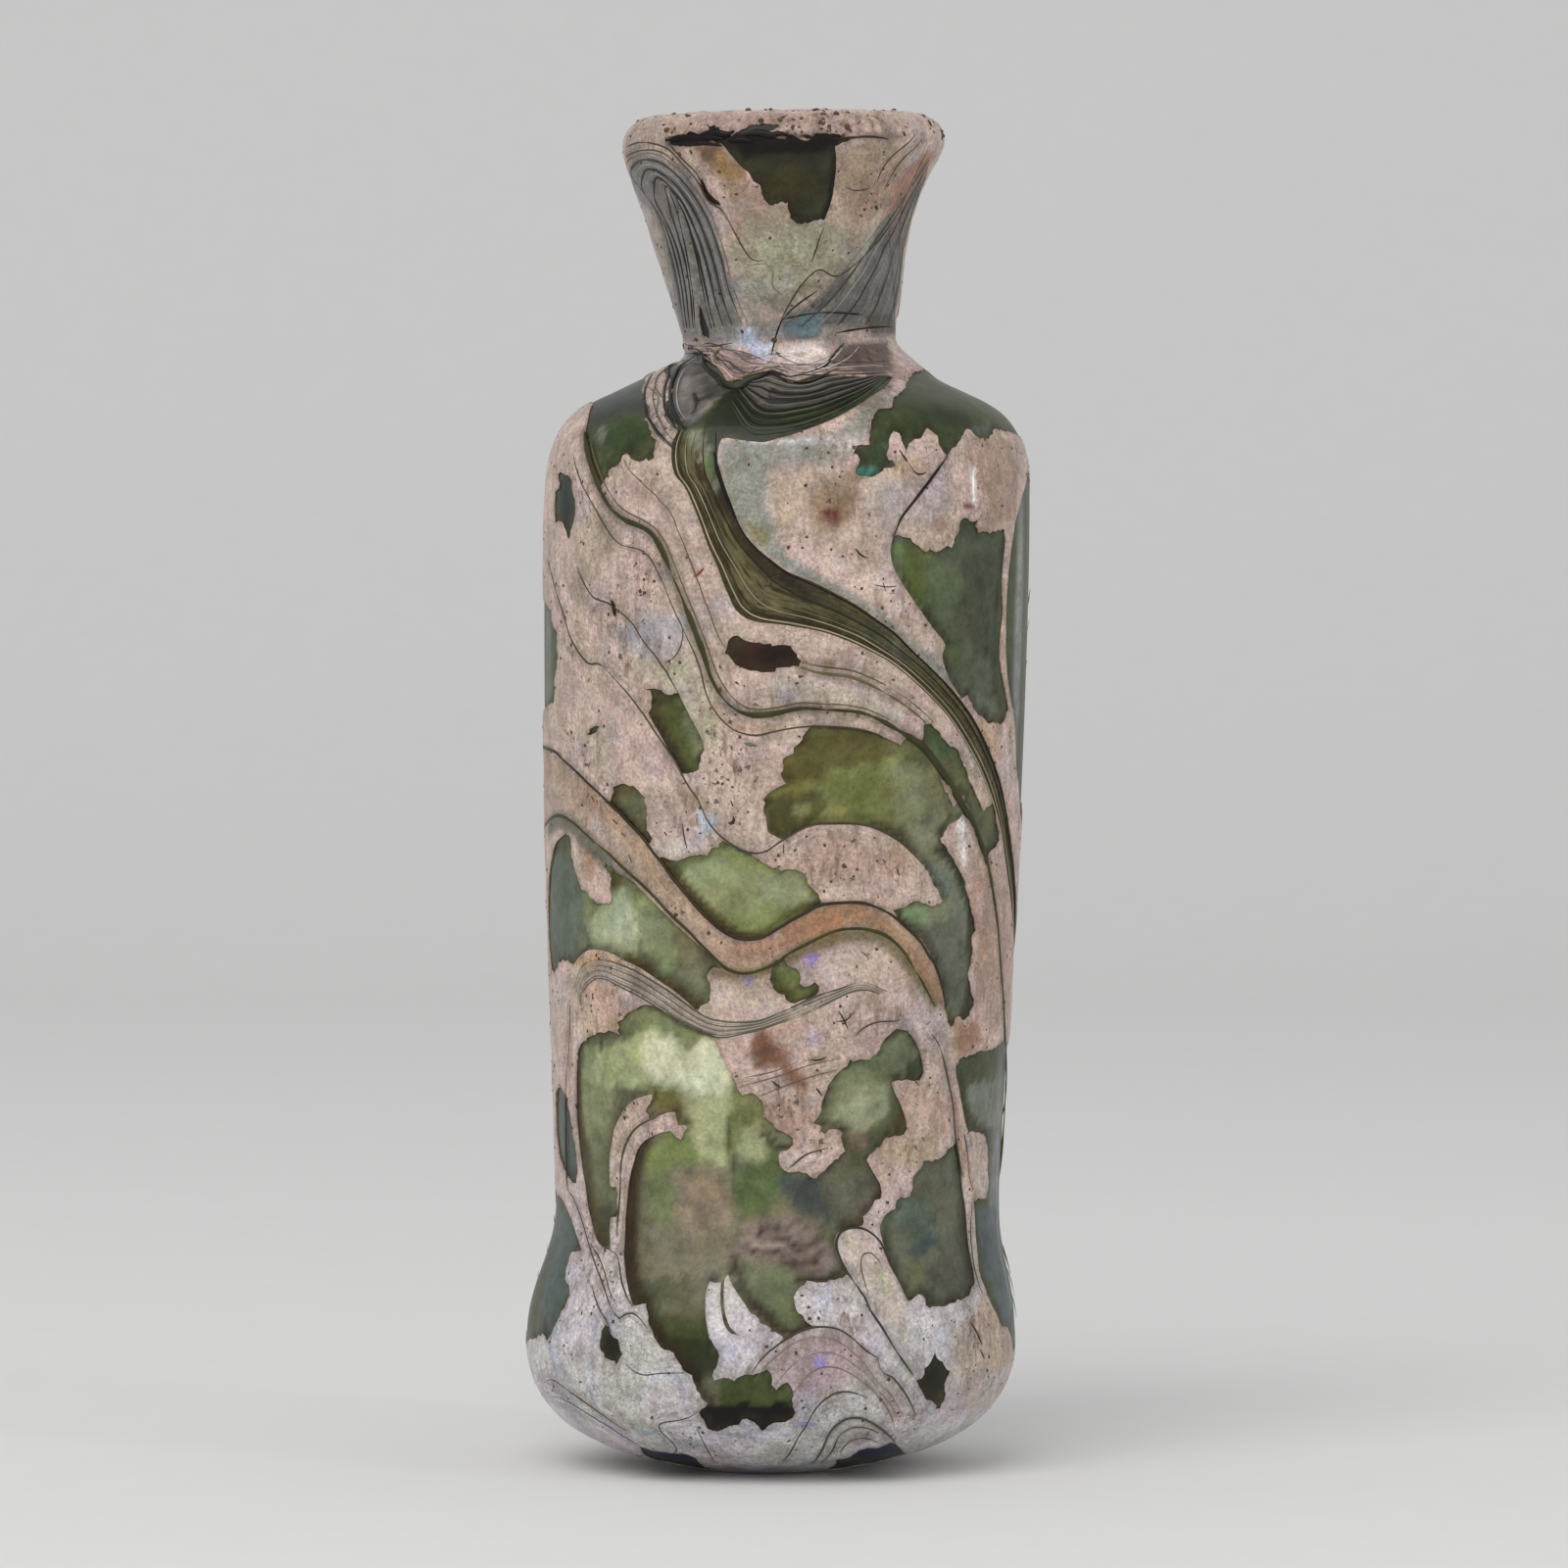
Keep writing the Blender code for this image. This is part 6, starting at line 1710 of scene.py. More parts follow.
DIRTY_PLACES: tuple[Dab, ...] = (
    Dab((-5.5, 62), (4.5, 4), "#000000", 1.0),
    Dab((-6, 57.4), (4, 2), "#000000", 0.8),
    Dab((3.5, 53.6), (5, 2.6), "#000000", 1.0),
    Dab((9, 54.6), (3, 2), "#000000", 0.6),
    Dab((5.5, 86), (2.4, 2.6), "#000000", 0.8),
    Dab((7.5, 81.4), (2.4, 1.6), "#000000", 0.9),
    Dab((11, 77), (2.5, 3), "#000000", 0.5),
    Dab((10.8, 88.6), (1.6, 1.6), "#000000", 0.9),
    Dab((3, 67.6), (5, 1.4), "#000000", 0.6),
    Dab((-1.6, 67.4), (2.4, 1.4), "#000000", 0.7),
    Dab((-14.5, 73), (3.4, 4), "#000000", 0.6),
    Dab((-11.5, 80), (3, 4), "#000000", 0.6),
    Dab((-16.5, 60), (2.4, 3), "#000000", 0.5),
    Dab((-9.4, 50.4), (2, 3), "#000000", 0.6, turn=45),
    Dab((-1.4, 45.6), (3, 1), "#000000", 0.7),
    Dab((0.4, 33), (2.2, 3), "#000000", 0.9),
    Dab((3.6, 29.8), (2.6, 2), "#000000", 0.9),
    Dab((6, 39.6), (3, 1.6), "#000000", 0.8),
    Dab((4.6, 41.6), (4, 1.2), "#000000", 0.5),
    Dab((11.8, 29), (2, 2), "#000000", 0.8),
    Dab((7.4, 13), (2.4, 2.6), "#000000", 0.8),
    Dab((17.4, 10.4), (1.6, 3), "#000000", 1.0),
    Dab((8.5, 98.6), (2.4, 1.6), "#000000", 1.0),
    Dab((-2, 4.4), (4.4, 1.2), "#000000", 0.9),
    Dab((0, 119.4), (14, 1.2), "#000000", 0.8),
    Dab((-5, 117.9), (5, 0.6), "#000000", 1.0),
    Dab((180, 62), (8, 6), "#000000", 0.8, round=True),
    Dab((-140, 84), (5, 4), "#000000", 0.7, round=True),
    Dab((130, 40), (5, 5), "#000000", 0.7, round=True),
    Dab((-150, 12), (6, 4), "#000000", 0.6, round=True),
)


WINDOWS: tuple[Outline, ...] = (
    Outline(
        "under_the_lip",
        "F -4.9,117.4 S -3.4,115.6 -2.6,114.95 -2.2,114.2 -1.6,113.85 -1.45,113.15 -1.1,112.45 -0.75,112.1 "
        "F 0.2,112.35 0.9,112.3 0.95,111.6 1.1,110.95 1.65,110.5 2.2,110.4 3,110.6 3.6,110.75 4.15,110.75 S "
        "4.5,111.6 4.85,112.7 5.05,114.1 5.2,115.2 5.2,116.4 5.1,117.3 F 5.8,117.7 6.45,117.95 5.15,118.4 "
        "4.4,118.5 3.45,118.55 3.05,118.1 2.35,117.85 1.75,118.1 1.1,118.4 0.65,117.95 -0.1,118.1 "
        "-0.8,118.1 -0.75,118.7 -0.1,119 0.2,119.1 -0.1,119.35 -1,119.4 -2.6,119.25 -2.85,118.95 "
        "-3.5,118.65 -4.15,118.25 -5.1,118.55 -5.25,119.1 -6.2,119.15 -5.95,118.7 -6.4,118.25 -7.25,118.5 "
        "-7.95,118.65 -8.8,118.1 -9.65,117.95 -9.6,117.55 -8.8,117.3 -7.7,117.85 -6.95,117.95 -6,117.85 "
        "-5.4,117.55",
    ),
    Outline(
        "neck_sliver",
        "S -6.9,114.1 -6.7,113.2 -6.3,112.5 -5.7,112.2 -5.1,112.05 -5.2,112.35 -5.7,112.75 -6.2,113.3 "
        "-6.55,114 -6.8,114.55",
    ),
    Outline("neck_corner", "S -7,103.3 -6.55,102.1 -6.15,100.9 F -6.15,100.35 -6.8,100.5 -7,101.8"),
    Outline(
        "left_shoulder",
        "F -11.3,97.3 -11.8,96.5 -12.1,96 -12.2,95.6 -11.95,94.9 -11.7,94 -11.6,93.4 -11.95,93.1 "
        "-11.6,92.95 -11.5,92.3 -11.3,91.7 -10.85,91.3 -11,90.5 -11.05,89.7 -11.55,89.4 -11.75,89.65 "
        "-12.4,89.35 -13.1,89.6 -13.5,90.1 -13.85,89.9 -14.05,89.35 -14.55,88.9 -15.1,88.55 -15.35,87.9 "
        "-15.8,87.2 -16,87.1 S -16.25,87.9 -16.5,88.75 -16.9,89.8 -17.15,90.95 -17.2,91.95 -17.05,92.8 "
        "-16.9,93.55 -16.5,94.6 R -92,94.6 -100,94.9 -108,96 F -104,97.2 -92,97.4 -84,97.9",
    ),
    Outline(
        "left_of_shoulder",
        "F -19.65,88.2 -19.3,88.4 -18.65,88.1 -18.4,87.6 -18.35,86.7 -18.1,86 -18.1,84.7 -18.35,83.55 "
        "-18.65,82.45 -18.9,82.95 -19.2,83.85 -19.6,84.1 -19.9,83.95 -19.95,85.1 -19.9,86.6 -19.6,86.95 "
        "-19.5,87.45",
    ),
    Outline(
        "right_shoulder",
        "F 12,97.3 11.6,96.8 11.4,96.2 10.7,95.4 10.3,95.1 10.2,94.3 9,94.1 8.6,93.6 8.3,92.8 8.15,92 "
        "8.1,91.3 8.2,90.9 7,90.8 6.7,90.1 7.1,90 7.3,89.5 7.2,89.1 6.9,88.4 7.2,88.1 8,88 8.8,88.2 "
        "9.3,88.5 9.5,88.8 10.1,88.8 10.5,89 10.2,89.5 9.9,89.5 9.75,90.2 9.9,91 10.1,91.8 10.3,92.1 "
        "10.8,91.9 11,91.3 11.3,90.6 11.3,89.9 11.45,90.4 11.7,91 12.2,91.4 12.8,91.5 13,91.9 13.3,92.4 "
        "13.7,92.1 14.2,91.7 14.3,91 14.7,90.3 15.1,89.9 15.4,90.3 16,90.9 16.4,91.6 16.8,92.3 17.2,92.2 "
        "17.6,91.7 18,91.4 18.6,91.4 19.1,91.8 19.3,92.3 R 84,91.6 96,91.2 104,92 110,94 106,96 96,97 "
        "86,97.6",
    ),
    Outline(
        "clear_ribbon",
        "S 10,97 7,97 5,97.1 3,97 1.3,96.5 0.3,97 -0.3,97.6 -1.5,97.4 -2.7,97.1 -4.4,96.6 -5,97.3 -5.8,98.4 "
        "-7,99 -8.4,98.8 -9.2,98.2 -9.8,97 -9.4,95.8 -9.9,94.5 -9.6,93.3 -9,92.6 -8.9,92.2 -9.4,91 "
        "-9.5,89.5 -9.2,88.2 -8.4,87.2 -7.8,86 -7,84 -6.3,82 -5.4,80 -4.9,78.6 -4.3,77.2 -3.8,76.2 "
        "-2.8,75.4 -1.5,75.05 0,74.9 2,74.6 4,74.2 6,73.5 8,72.6 10,71.5 12,69.9 13.5,68.5 15,66.9 16.3,65 "
        "17.6,62.8 18.6,60.6 19.5,58 20,56 20.4,53 R 82,47 94,41 108,37 122,35.5 124,36.3 110,38.5 96,43.5 "
        "86,49 P 20.9,55 20.5,58 20,60.5 19.3,62.7 18.4,64.8 17.5,66.5 16.3,68.2 15,69.7 13.5,71.2 12,72.6 "
        "10.5,74.1 9,75.2 7,76.6 5,77.7 3,78.7 1,79.5 -0.3,80.4 -1.8,81.6 -3,83 -3.8,84.5 -4.6,86.2 -5.2,88 "
        "-5.4,90 -5,91.4 -4,91.4 -2.7,91.2 -1.2,91.1 0,91.45 1,91.7 3,92.4 5,93.2 7,94.3 8.5,95.3 10,96.6",
    ),
    Outline(
        "brown_patch",
        "F -4.75,72.3 -4.55,72.9 -4.4,73.5 -4,73.85 -3.6,73.9 -3.2,73.6 -2.4,73.3 -1.2,73.1 0,73.05 1.1,73 "
        "1.4,72.5 1.75,71.9 2.05,71.65 1.85,71.1 0.5,71.05 -0.15,71 -0.25,70.65 -1.5,70.6 -2.5,70.75 "
        "-3.4,71.1 -4.1,71.7",
    ),
    Outline(
        "left_of_middle",
        "F -11.9,69.1 -11.4,69 -11.25,68.3 -11.3,67.6 -11.6,67 S -11.2,66.2 -10.6,65.2 -10,64.1 -9.5,63.2 "
        "-9,62.4 -8.6,61.6 F -8,61.6 -7.3,61.8 -7.05,62.4 -6.9,63.2 -6.55,63.7 S -6.75,64.5 -7.2,65.5 "
        "-7.8,66.6 -8.3,67.6 -8.9,68.8 F -9.5,68.6 -10.2,68.8 -10.8,69.1 -11.4,69.15",
    ),
    Outline(
        "above_the_peach_band",
        "F -15.05,58.9 -14.9,59.4 -14.7,59.9 -14.75,60.4 -14.3,60.55 -13.7,60.7 -13,60.5 -12.4,60 -11.9,59.5 "
        "-11.75,58.7 -11.65,58 -11.7,57 -11.5,56.3 -11.2,55.8 -11.4,55.4 -11.7,55.35 S -12.2,55.9 -12.8,56.5 "
        "-13.5,57.2 -14.2,58",
    ),
    Outline("small_left", "F -17.05,65.1 -16.8,65.6 -16.3,65.85 -15.95,65.8 -16.2,65.3 -16.7,65"),
    Outline("small_middle", "F -4.5,57.2 -4.1,57.4 -4,57.85 -3.8,57.5 -3.9,57.1 -4.2,57"),
    Outline(
        "left_side",
        "F -20.6,76.6 -20.2,76.2 -20.2,75.2 -19.7,74.1 -19.75,73 -19.6,71.9 -19.85,70.7 -20,69.6 -19.95,68.6 "
        "-20,67.9 -20.6,67.6 R -92,66.8 -101,68 -108,71.5 -104,75 -92,77.5",
    ),
    Outline(
        "pale_middle",
        "F -10.6,54.1 -10.2,54.15 -9.6,53.9 -9,53.8 -8.2,54.1 -7.3,54.3 -6.3,54.3 -6,54.9 -5.3,55 -4.9,55.6 "
        "S -4.2,55.2 -3.5,54.9 -2.9,54.5 F -2.2,54.2 -1.5,53.7 -0.9,53.4 0,53.2 0.3,52.9 0.8,53.1 1.5,53.05 "
        "2.1,52.8 2.6,52.2 2.9,51.5 3.3,51.1 3.7,50.5 3.9,50.1 S 3.5,49.8 2.5,49.2 1.5,48.7 0.5,48.1 "
        "-0.5,47.4 -1.5,46.95 -2.5,46.8 -3.5,46.9 -4.5,47.3 -5.5,48 -6.5,48.9 -7.5,50 -8.5,51.2 -9.5,52.5 "
        "-10.2,53.5",
    ),
    Outline(
        "right_of_middle",
        "F 3,65.9 2.6,65.4 2.2,64.9 1.9,64.3 1.4,63.9 1.4,63.4 0.5,62.95 0.5,62.3 0.25,61.6 0.7,60.7 "
        "0.1,60.4 -0.4,60.1 -0.9,59.8 -1.3,59.3 -1.25,58.6 -1.1,57.8 -1,57 -0.9,56.4 -0.2,56 0.3,55.7 S "
        "1,56 2,56.6 3.2,57.1 5,57.2 7,57.15 8.5,56.85 10,56.1 11.2,55.3 12.2,54.3 13,53.4 F 13.5,52.5 "
        "14,51.5 14.4,50.8 14.7,50.3 14.2,50 13.6,49.8 13.2,50 12.6,50.25 11.8,50 11.2,49.6 10.3,49.4 S "
        "11,48.3 12,47.4 12.7,46.9 13.3,46 13.95,44.8 14.5,43.2 14.8,41.9 14.95,40.6 F 15.15,39.4 "
        "15.45,38.95 15.75,39.25 15.9,39.85 16.25,39.95 16.6,39.55 17.15,40 17.35,40.6 17.55,41.4 "
        "17.3,42.05 17.15,43.05 17.05,43.85 17.3,44.65 17.4,45.5 17.35,46.4 17.4,47.2 17.7,47.6 17.6,48.3 "
        "17.3,49.6 16.9,51 16.6,52.2 16.2,53 15.7,54 15.1,55 14.5,55.8 14.9,56.4 15.2,57 15.6,57.2 "
        "16.2,57.5 16.5,58 17.2,57.3 17.8,55.8 18.2,54.5 18.5,53.7 18.8,54.3 19.3,54.9 19.8,55.6 19.6,57 "
        "19.5,58.4 19.3,59.3 18.9,58.7 18.4,58.2 17.8,59.5 17.4,60.5 17,61.3 16.6,62.3 16.3,63 16.1,63.7 "
        "15.4,64 14.9,64.6 14.3,65.4 13.7,66.05 13.05,66 13,65.2 12.7,64.35 12.3,64.6 11.9,64.9 11.25,64.6 "
        "10.95,64.15 S 10.2,64.5 9.3,64.9 8,65.4 6,65.75 4.5,65.85",
    ),
    Outline(
        "upper_right",
        "F 10.3,82.8 S 10.1,82 10.05,81 10.3,80 10.8,79 11.4,78 12.1,77 12.8,76 13.5,75 14.1,74.2 14.7,73.5 "
        "14.95,73 14.7,72.3 14.75,71.5 15.1,70.5 15.4,69.8 15.9,69 16.4,68.25 F 16.9,68.6 17.1,68.1 "
        "17.4,67.4 17.9,66.8 18.4,66.5 18.7,66.1 19.2,66.2 19.9,65.9 20.2,66.2 20.6,67.3 S 20.4,68.5 "
        "20.1,70 19.8,72 19.9,74 20.1,76 20,78 20.1,80 20.3,82 20.2,83.3 F 19.6,83.3 18.9,82.95 18.5,83.1 "
        "17.9,83 17.6,83.6 17.9,84.2 17.2,84 16.9,84.3 16.3,84.15 16.1,83.1 15.7,82.4 15.5,81.7 15.1,81.9 "
        "14.7,81.6 14.1,81.3 13.6,81.6 13.2,81.3 12.6,81.8 12,82.2 11.5,82.6 10.9,82.8",
    ),
    Outline(
        "right_side",
        "S 21.85,86.5 21.6,85.5 21.2,84 20.9,82 20.6,80 20.45,78 20.35,75 20.35,72 20.5,70 20.8,68 "
        "21.1,66.5 21.3,62 F R 82,58.5 86,57 91,59 95,58 98,61.5 103,63.5 102,68 106,71 105,76.5 108,79 "
        "103,82 101,86.5 95,86 91,89 86,87.5 82,88.5",
    ),
    Outline(
        "under_the_olive_line",
        "F -19,56.25 S -19.8,55.45 -20.15,54.3 -20.4,52.7 -20.5,51.1 -20.55,49 -20.5,46.9 -20.4,45.4 "
        "-20.3,44.4 F -20,43.85 -19.65,44.35 -19.6,44.8 -18.8,44.95 -18.35,44.5 -18,44.95 S -17.6,45.4 "
        "-17.05,45.8 -16.3,45.9 -15.45,45.75 -14.7,45.45 -13.55,44.85 -12.5,44.35 -11.5,43.7 -10.35,42.9 "
        "-9.3,42.2 -8.3,41.4 -7.45,40.6 -7.15,40.45 F -6.85,40.95 -6.3,41.1 -6.05,41.4 -6,42.3 -6.05,42.9 "
        "-6.3,43.65 -6,44.15 -5.7,44.35 -5.1,44.2 S -6,45.3 -7,46.2 -8,47.1 -9,48 -10,49 -11,50 -12,51 "
        "-13,52 -14.05,52.55 F -15.35,53.6 -15.5,53.25 -15.05,52.7 -15,51.65 -14.85,50.3 -15.05,50 "
        "-16.15,50 -16.95,50.85 -17.6,51.3 -17.85,52.25 -18.25,53.4 -18.5,54.55 -18.5,55.7 -18.7,56.15",
    ),
    Outline(
        "left_sliver",
        "F -19.7,33.6 -19.45,33.7 -19.15,33.15 -18.8,32.45 -18.55,31 -18.35,29.5 -18,27.65 -17.9,26.1 "
        "-18.05,25 -18.35,25 -18.8,25.65 -19.25,26.55 -19.6,27.65 -19.8,29.5 -19.85,31.7 -19.8,33.15",
    ),
    Outline(
        "great_lower",
        "S -11.95,41 -10.95,40.8 -9.9,40.15 -8.9,39.55 -7.45,38.85 -6,38.25 F -5.55,37.65 -5.25,36.95 "
        "-4.8,36.05 -4.4,35.2 -3.95,34.35 -3.65,33.45 -3.2,32.9 -2.05,33 -1.35,32.3 -1.2,31.55 -1.35,31 "
        "-0.45,30.4 0,29.8 1.3,29.1 1.35,28.5 1,28.1 0.25,27.9 0.1,27 0.4,26.3 0.9,26 2.1,26 2.9,25.6 "
        "3.4,25.4 3.9,26 4.5,26.6 5.4,27.2 6,27.9 5.7,28.8 5.8,29.5 5.5,29.8 4.8,29.9 4.2,29.45 3.8,29.7 "
        "3.9,30.1 3.15,30.4 3.6,31 3.9,31.55 3.95,32.3 4.35,33.3 4.8,34.2 5.35,34.9 6.2,35.5 6.45,36.1 "
        "7.1,36 8.25,36.05 8.85,36.65 9.15,37.25 9.7,38.1 10.6,38.85 11.45,38.7 S 11.9,38.25 12.5,37.25 "
        "12.85,36.2 13,35.35 F 12.9,34.6 12.7,34.2 11.75,34.25 10.8,34.25 10.15,34.05 S 10.45,33.15 11,32 "
        "11.45,30.7 11.55,29.9 F 11.3,29.4 10.45,29.3 9.7,29.15 9.35,28.6 8.85,28.2 8.25,27.65 7.95,27.1 S "
        "8.4,26.25 8.85,25.5 9.15,24.95 9.3,24.2 F 9.2,23.65 8.7,23.55 8.4,22.9 7.95,22.3 7.6,22.05 "
        "7.7,21.6 7.55,21.25 S 6.8,21.15 5.95,21 5.2,20.45 5.05,19.7 5.2,18.85 5.65,17.8 6.15,16.95 F "
        "5.8,16.6 5.05,16.4 3.9,16.2 3,16.3 2.6,16.35 2.35,15.95 1.7,15.5 1.4,14.9 1.5,14.2 1.85,13.45 "
        "2.45,12.75 3.15,12.25 S 2.6,12.1 1.55,11.7 0.55,11.05 F 0,11.6 -1.2,12.4 -2.4,13.4 S -3.4,14.9 "
        "-4.1,15.95 -4.5,16.95 -4.75,16.5 -4.85,15.2 -4.75,13.6 -4.3,12.2 -3.6,11.5 -4.2,11.6 -4.8,12.4 "
        "-5.1,13.9 -5.15,15.2 F -5.1,16.2 -5.6,16.15 -6.1,16.3 S -6.4,15.5 -6.5,14 -6.4,12.6 -6.2,11.5 F "
        "-5.7,10.5 -5.4,10.1 -5.25,9.6 -5.4,8.9 -5.75,8.3 -5.85,7.8 -5.7,7.4 -5.2,7.55 -4.4,7.6 -3.9,7.35 "
        "-3.3,7.8 -2.9,7.95 -2.2,7.9 -1.5,8.1 -1,8.4 -0.6,8 -0.55,7 -0.15,6.55 0.4,7.05 0.85,7.25 1.2,6.8 "
        "1.4,6 1.35,5.3 1.55,4.55 1.35,4 0.7,3.6 -0.2,3.55 -0.95,3.2 -1.45,2.8 -1.75,3.25 -2.15,3.6 "
        "-2.8,3.9 -3.2,3.85 -3.5,3.35 -4.3,3.25 -5,2.9 -5.4,2.75 -6.3,3 -6.65,3.85 -7.1,4.5 -6.3,5.3 "
        "-6.9,5.8 -7.3,6.45 -7.55,7.2 -7.7,7.85 -8.2,8.1 -8.65,8.7 -9.2,9.5 -9.7,10.1 -10.2,10.15 "
        "-10.8,10.8 -11.1,11.3 -11.4,12.1 -11.6,13.15 -11.8,14.3 -13,14.15 S -13.2,14.75 -13.5,15.95 "
        "-13.7,17.4 -13.8,18.85 -13.7,20.3 -13.65,22.05 -13.5,23.5 -13.35,24.95 -13.15,26.1 -12.85,27.1 "
        "-12.6,28 -11.95,28.8 -11.2,29.25 -10.35,29.6 -9.6,29.7 F -9.05,29.1 -8.7,28.95 -8.45,29.55 "
        "-8.1,30.1 -8.95,30.2 -9.1,30.85 -9.2,31.4 S -9.9,31.35 -10.7,31.05 -11.5,30.85 F -11.85,31.4 "
        "-11.45,32.15 -11.2,33 S -12.1,32.8 -12.95,32.45 -13.7,31.7 -14.2,30.85 -14.65,29.8 -14.85,28.65 "
        "-15.05,27.5 -15.1,26.1 -15,24.85 F -14.85,24.7 -14.45,24.7 -14.3,24.05 -14.4,22.9 -14.45,22.05 "
        "-15,21.95 S -15.05,20.85 -15,19.7 -15,19.05 -15.45,19.2 -16.05,19.7 -16.4,20.45 -16.75,21.75 "
        "-17.05,23.2 -17.25,24.65 -17.5,26.1 -17.65,27.55 -17.75,28.1 -18,31 -18,33.9 -18,35.95 F -17.85,37 "
        "-17.45,37.7 -16.6,38.25 -15.85,38.55 -14.85,38.6 -14.2,38.3 -14.35,39.4 -13.7,40 -12.7,40.6",
    ),
    Outline(
        "lower_right",
        "F 15.9,28.7 15.4,28.2 14.8,27.5 14.35,27.15 13.05,27.05 12.5,26.1 12.05,25.25 11.9,24.2 "
        "11.75,23.85 11,23.8 10.6,23.5 10.5,22.75 9.7,22.3 9.3,21.6 9.15,20.7 S 9.3,20 9.65,19 10.1,17.8 "
        "10.6,16.65 11.05,15.8 11.45,14.9 F 11.7,14.5 12.2,14.85 12.6,15.15 13,15 13.2,14.2 13.5,13.9 "
        "14.35,14.05 15.1,14.1 15.7,14.35 16.1,14.7 16.55,14.7 17.15,15.05 17.4,15.8 17.65,16.2 S 17.5,17.4 "
        "17.2,18.85 17,20.3 16.9,21.75 16.75,23.2 16.55,24.35 16.4,25.8 16.2,27.3 16,28.6",
    ),
    Outline(
        "lower_right_side",
        "F 20.25,37.7 19.75,37.4 19,36.95 17.85,36.8 17.3,36.5 16.25,36.15 15.9,35.5 S 15.95,34.6 16.2,33.6 "
        "16.35,32.6 16.55,31.55 16.75,30.55 17,29.7 F 16.9,29.3 17.4,29.7 18,29.6 18.6,29.1 18.75,28.2 "
        "18.75,26 18.8,24.7 18.6,23.65 17.85,23.7 17.5,23.4 S 17.6,22.05 17.7,20.3 17.85,18.55 18,17.1 "
        "18.45,15.9 19,14.5 19.6,13.3 20,12.3 20.5,12.2 20.8,11.4 R 84,10.2 94,12 101,16 97,21 103,27 99,34 "
        "92,38.5 F 84,37.6",
    ),
    Outline(
        "lower_left_side",
        "S -19.75,24.05 -19.4,23.8 -18.95,22.9 -18.5,21.9 -18.15,20.85 -17.8,19.85 -17.55,19.15 F "
        "-17.65,18.9 -18.5,18.85 -18.7,18.4 -18.95,17.4 -19,16.5 -18.65,15.95 -18.6,15.05 -18.95,14.2 "
        "-19.5,13.15 -19.9,12.4 -20.25,11.55 -20.7,10.9 -20.9,11.4 -21.1,11.6 -21.55,11.25 R -86,10.9 "
        "-96,12 -103,15 -100,19 -95,23 S -88,24.6",
    ),
    Outline(
        "dark_left_of_heel",
        "F -15.4,12.4 -15.8,11.85 -15.95,10.95 -15.9,10.1 -15.5,9.45 -15,9.2 -14.65,9.15 -14.45,8.8 "
        "-14.2,9.3 -13.9,9.8 -14.15,10.5 -14.3,11.1 -14.7,11.25 -15,11.7 -15.15,12.2",
    ),
    Outline(
        "dark_diamond",
        "F 14.1,9.95 14.45,9.2 14.95,8.65 15.4,8.2 15.1,7.45 14.95,6.45 14.9,5.6 14.5,4.85 14.15,4.8 14,5.3 "
        "13.35,5.6 13.05,6.15 12.6,6.9 12.35,7.4 12.85,7.6 13.1,8.5 13.65,9.05",
    ),
    Outline(
        "small_green",
        "F -0.6,44.05 -0.75,43.2 -0.45,42.45 0.1,41.95 0.55,41.9 0.7,41.4 1.5,41.1 2.45,41.45 3.3,41.75 "
        "3.7,42.6 3.3,43 2.9,42.7 2.3,42.55 1.95,42.9 1.95,43.8 1.7,44.2 1.05,44.35 0.55,45.1 -0.2,44.95",
    ),
    Outline(
        "left_of_foot",
        "F -12.35,1.45 -11,1 -9.5,0.85 -8.05,0.7 -7.3,0.35 -6.75,-0.2 R -38,0.1 -52,0.3 -60,0.8",
    ),
    Outline(
        "right_of_foot",
        "F 5.2,0.25 5.95,0.35 6.5,0.5 7.1,1.05 7.95,1.3 9,1.3 10,1.8 10.6,1.65 11,1.1 11.3,0.8 R 58,0.5 "
        "46,0.1 34,0.1",
    ),
)

ISLANDS: tuple[Outline, ...] = (
    Outline("crust_sliver", "F 14.5,61.1 14.7,60.7 15.3,59.4 15.7,58.6 16,59 15.5,60.1 14.9,60.9"),
    Outline("thin_crust_sliver", "F 16.1,59.9 16.6,59.6 17.1,58.4 16.8,58.4 16.4,59.2"),
)

FLAKES: tuple[Flake, ...] = (
    Flake(-159, 36.5, 9.0, 12.0, 15),
    Flake(-162, 52.5, 8.0, 6.0, -20),
    Flake(-136, 48.0, 7.0, 8.5, 30),
    Flake(161, 61.0, 10.0, 8.0, 25),
    Flake(147, 79.0, 5.0, 7.5, -25),
    Flake(147, 17.5, 6.0, 7.0, 10),
    Flake(-163, 22.0, 7.5, 5.0, 35),
    Flake(118, 52.0, 6.0, 10.0, -15),
    Flake(-122, 84.0, 5.0, 8.0, 20),
    Flake(-135, 92.0, 9.0, 3.6, -8),
    Flake(163, 90.5, 6.0, 5.0, 10),
    Flake(-118, 56.0, 3.6, 7.0, -25),
    Flake(-130, 20.0, 6.0, 9.0, 20),
    Flake(122, 26.0, 4.6, 6.4, 25),
    Flake(-150, 72.0, 4.0, 6.5, -30),
    Flake(128, 94.5, 9.0, 2.6, 6),
    Flake(165, 36.0, 3.4, 5.0, -10),
    Flake(-160, 9.0, 6.0, 3.6, 10),
    Flake(132, 8.5, 3.6, 4.4, -20),
    Flake(-150, 110.5, 12.0, 6.0, 15),
    Flake(140, 106.0, 7.0, 5.0, -25),
    Flake(-98, 106.0, 5.0, 5.0, 30),
)


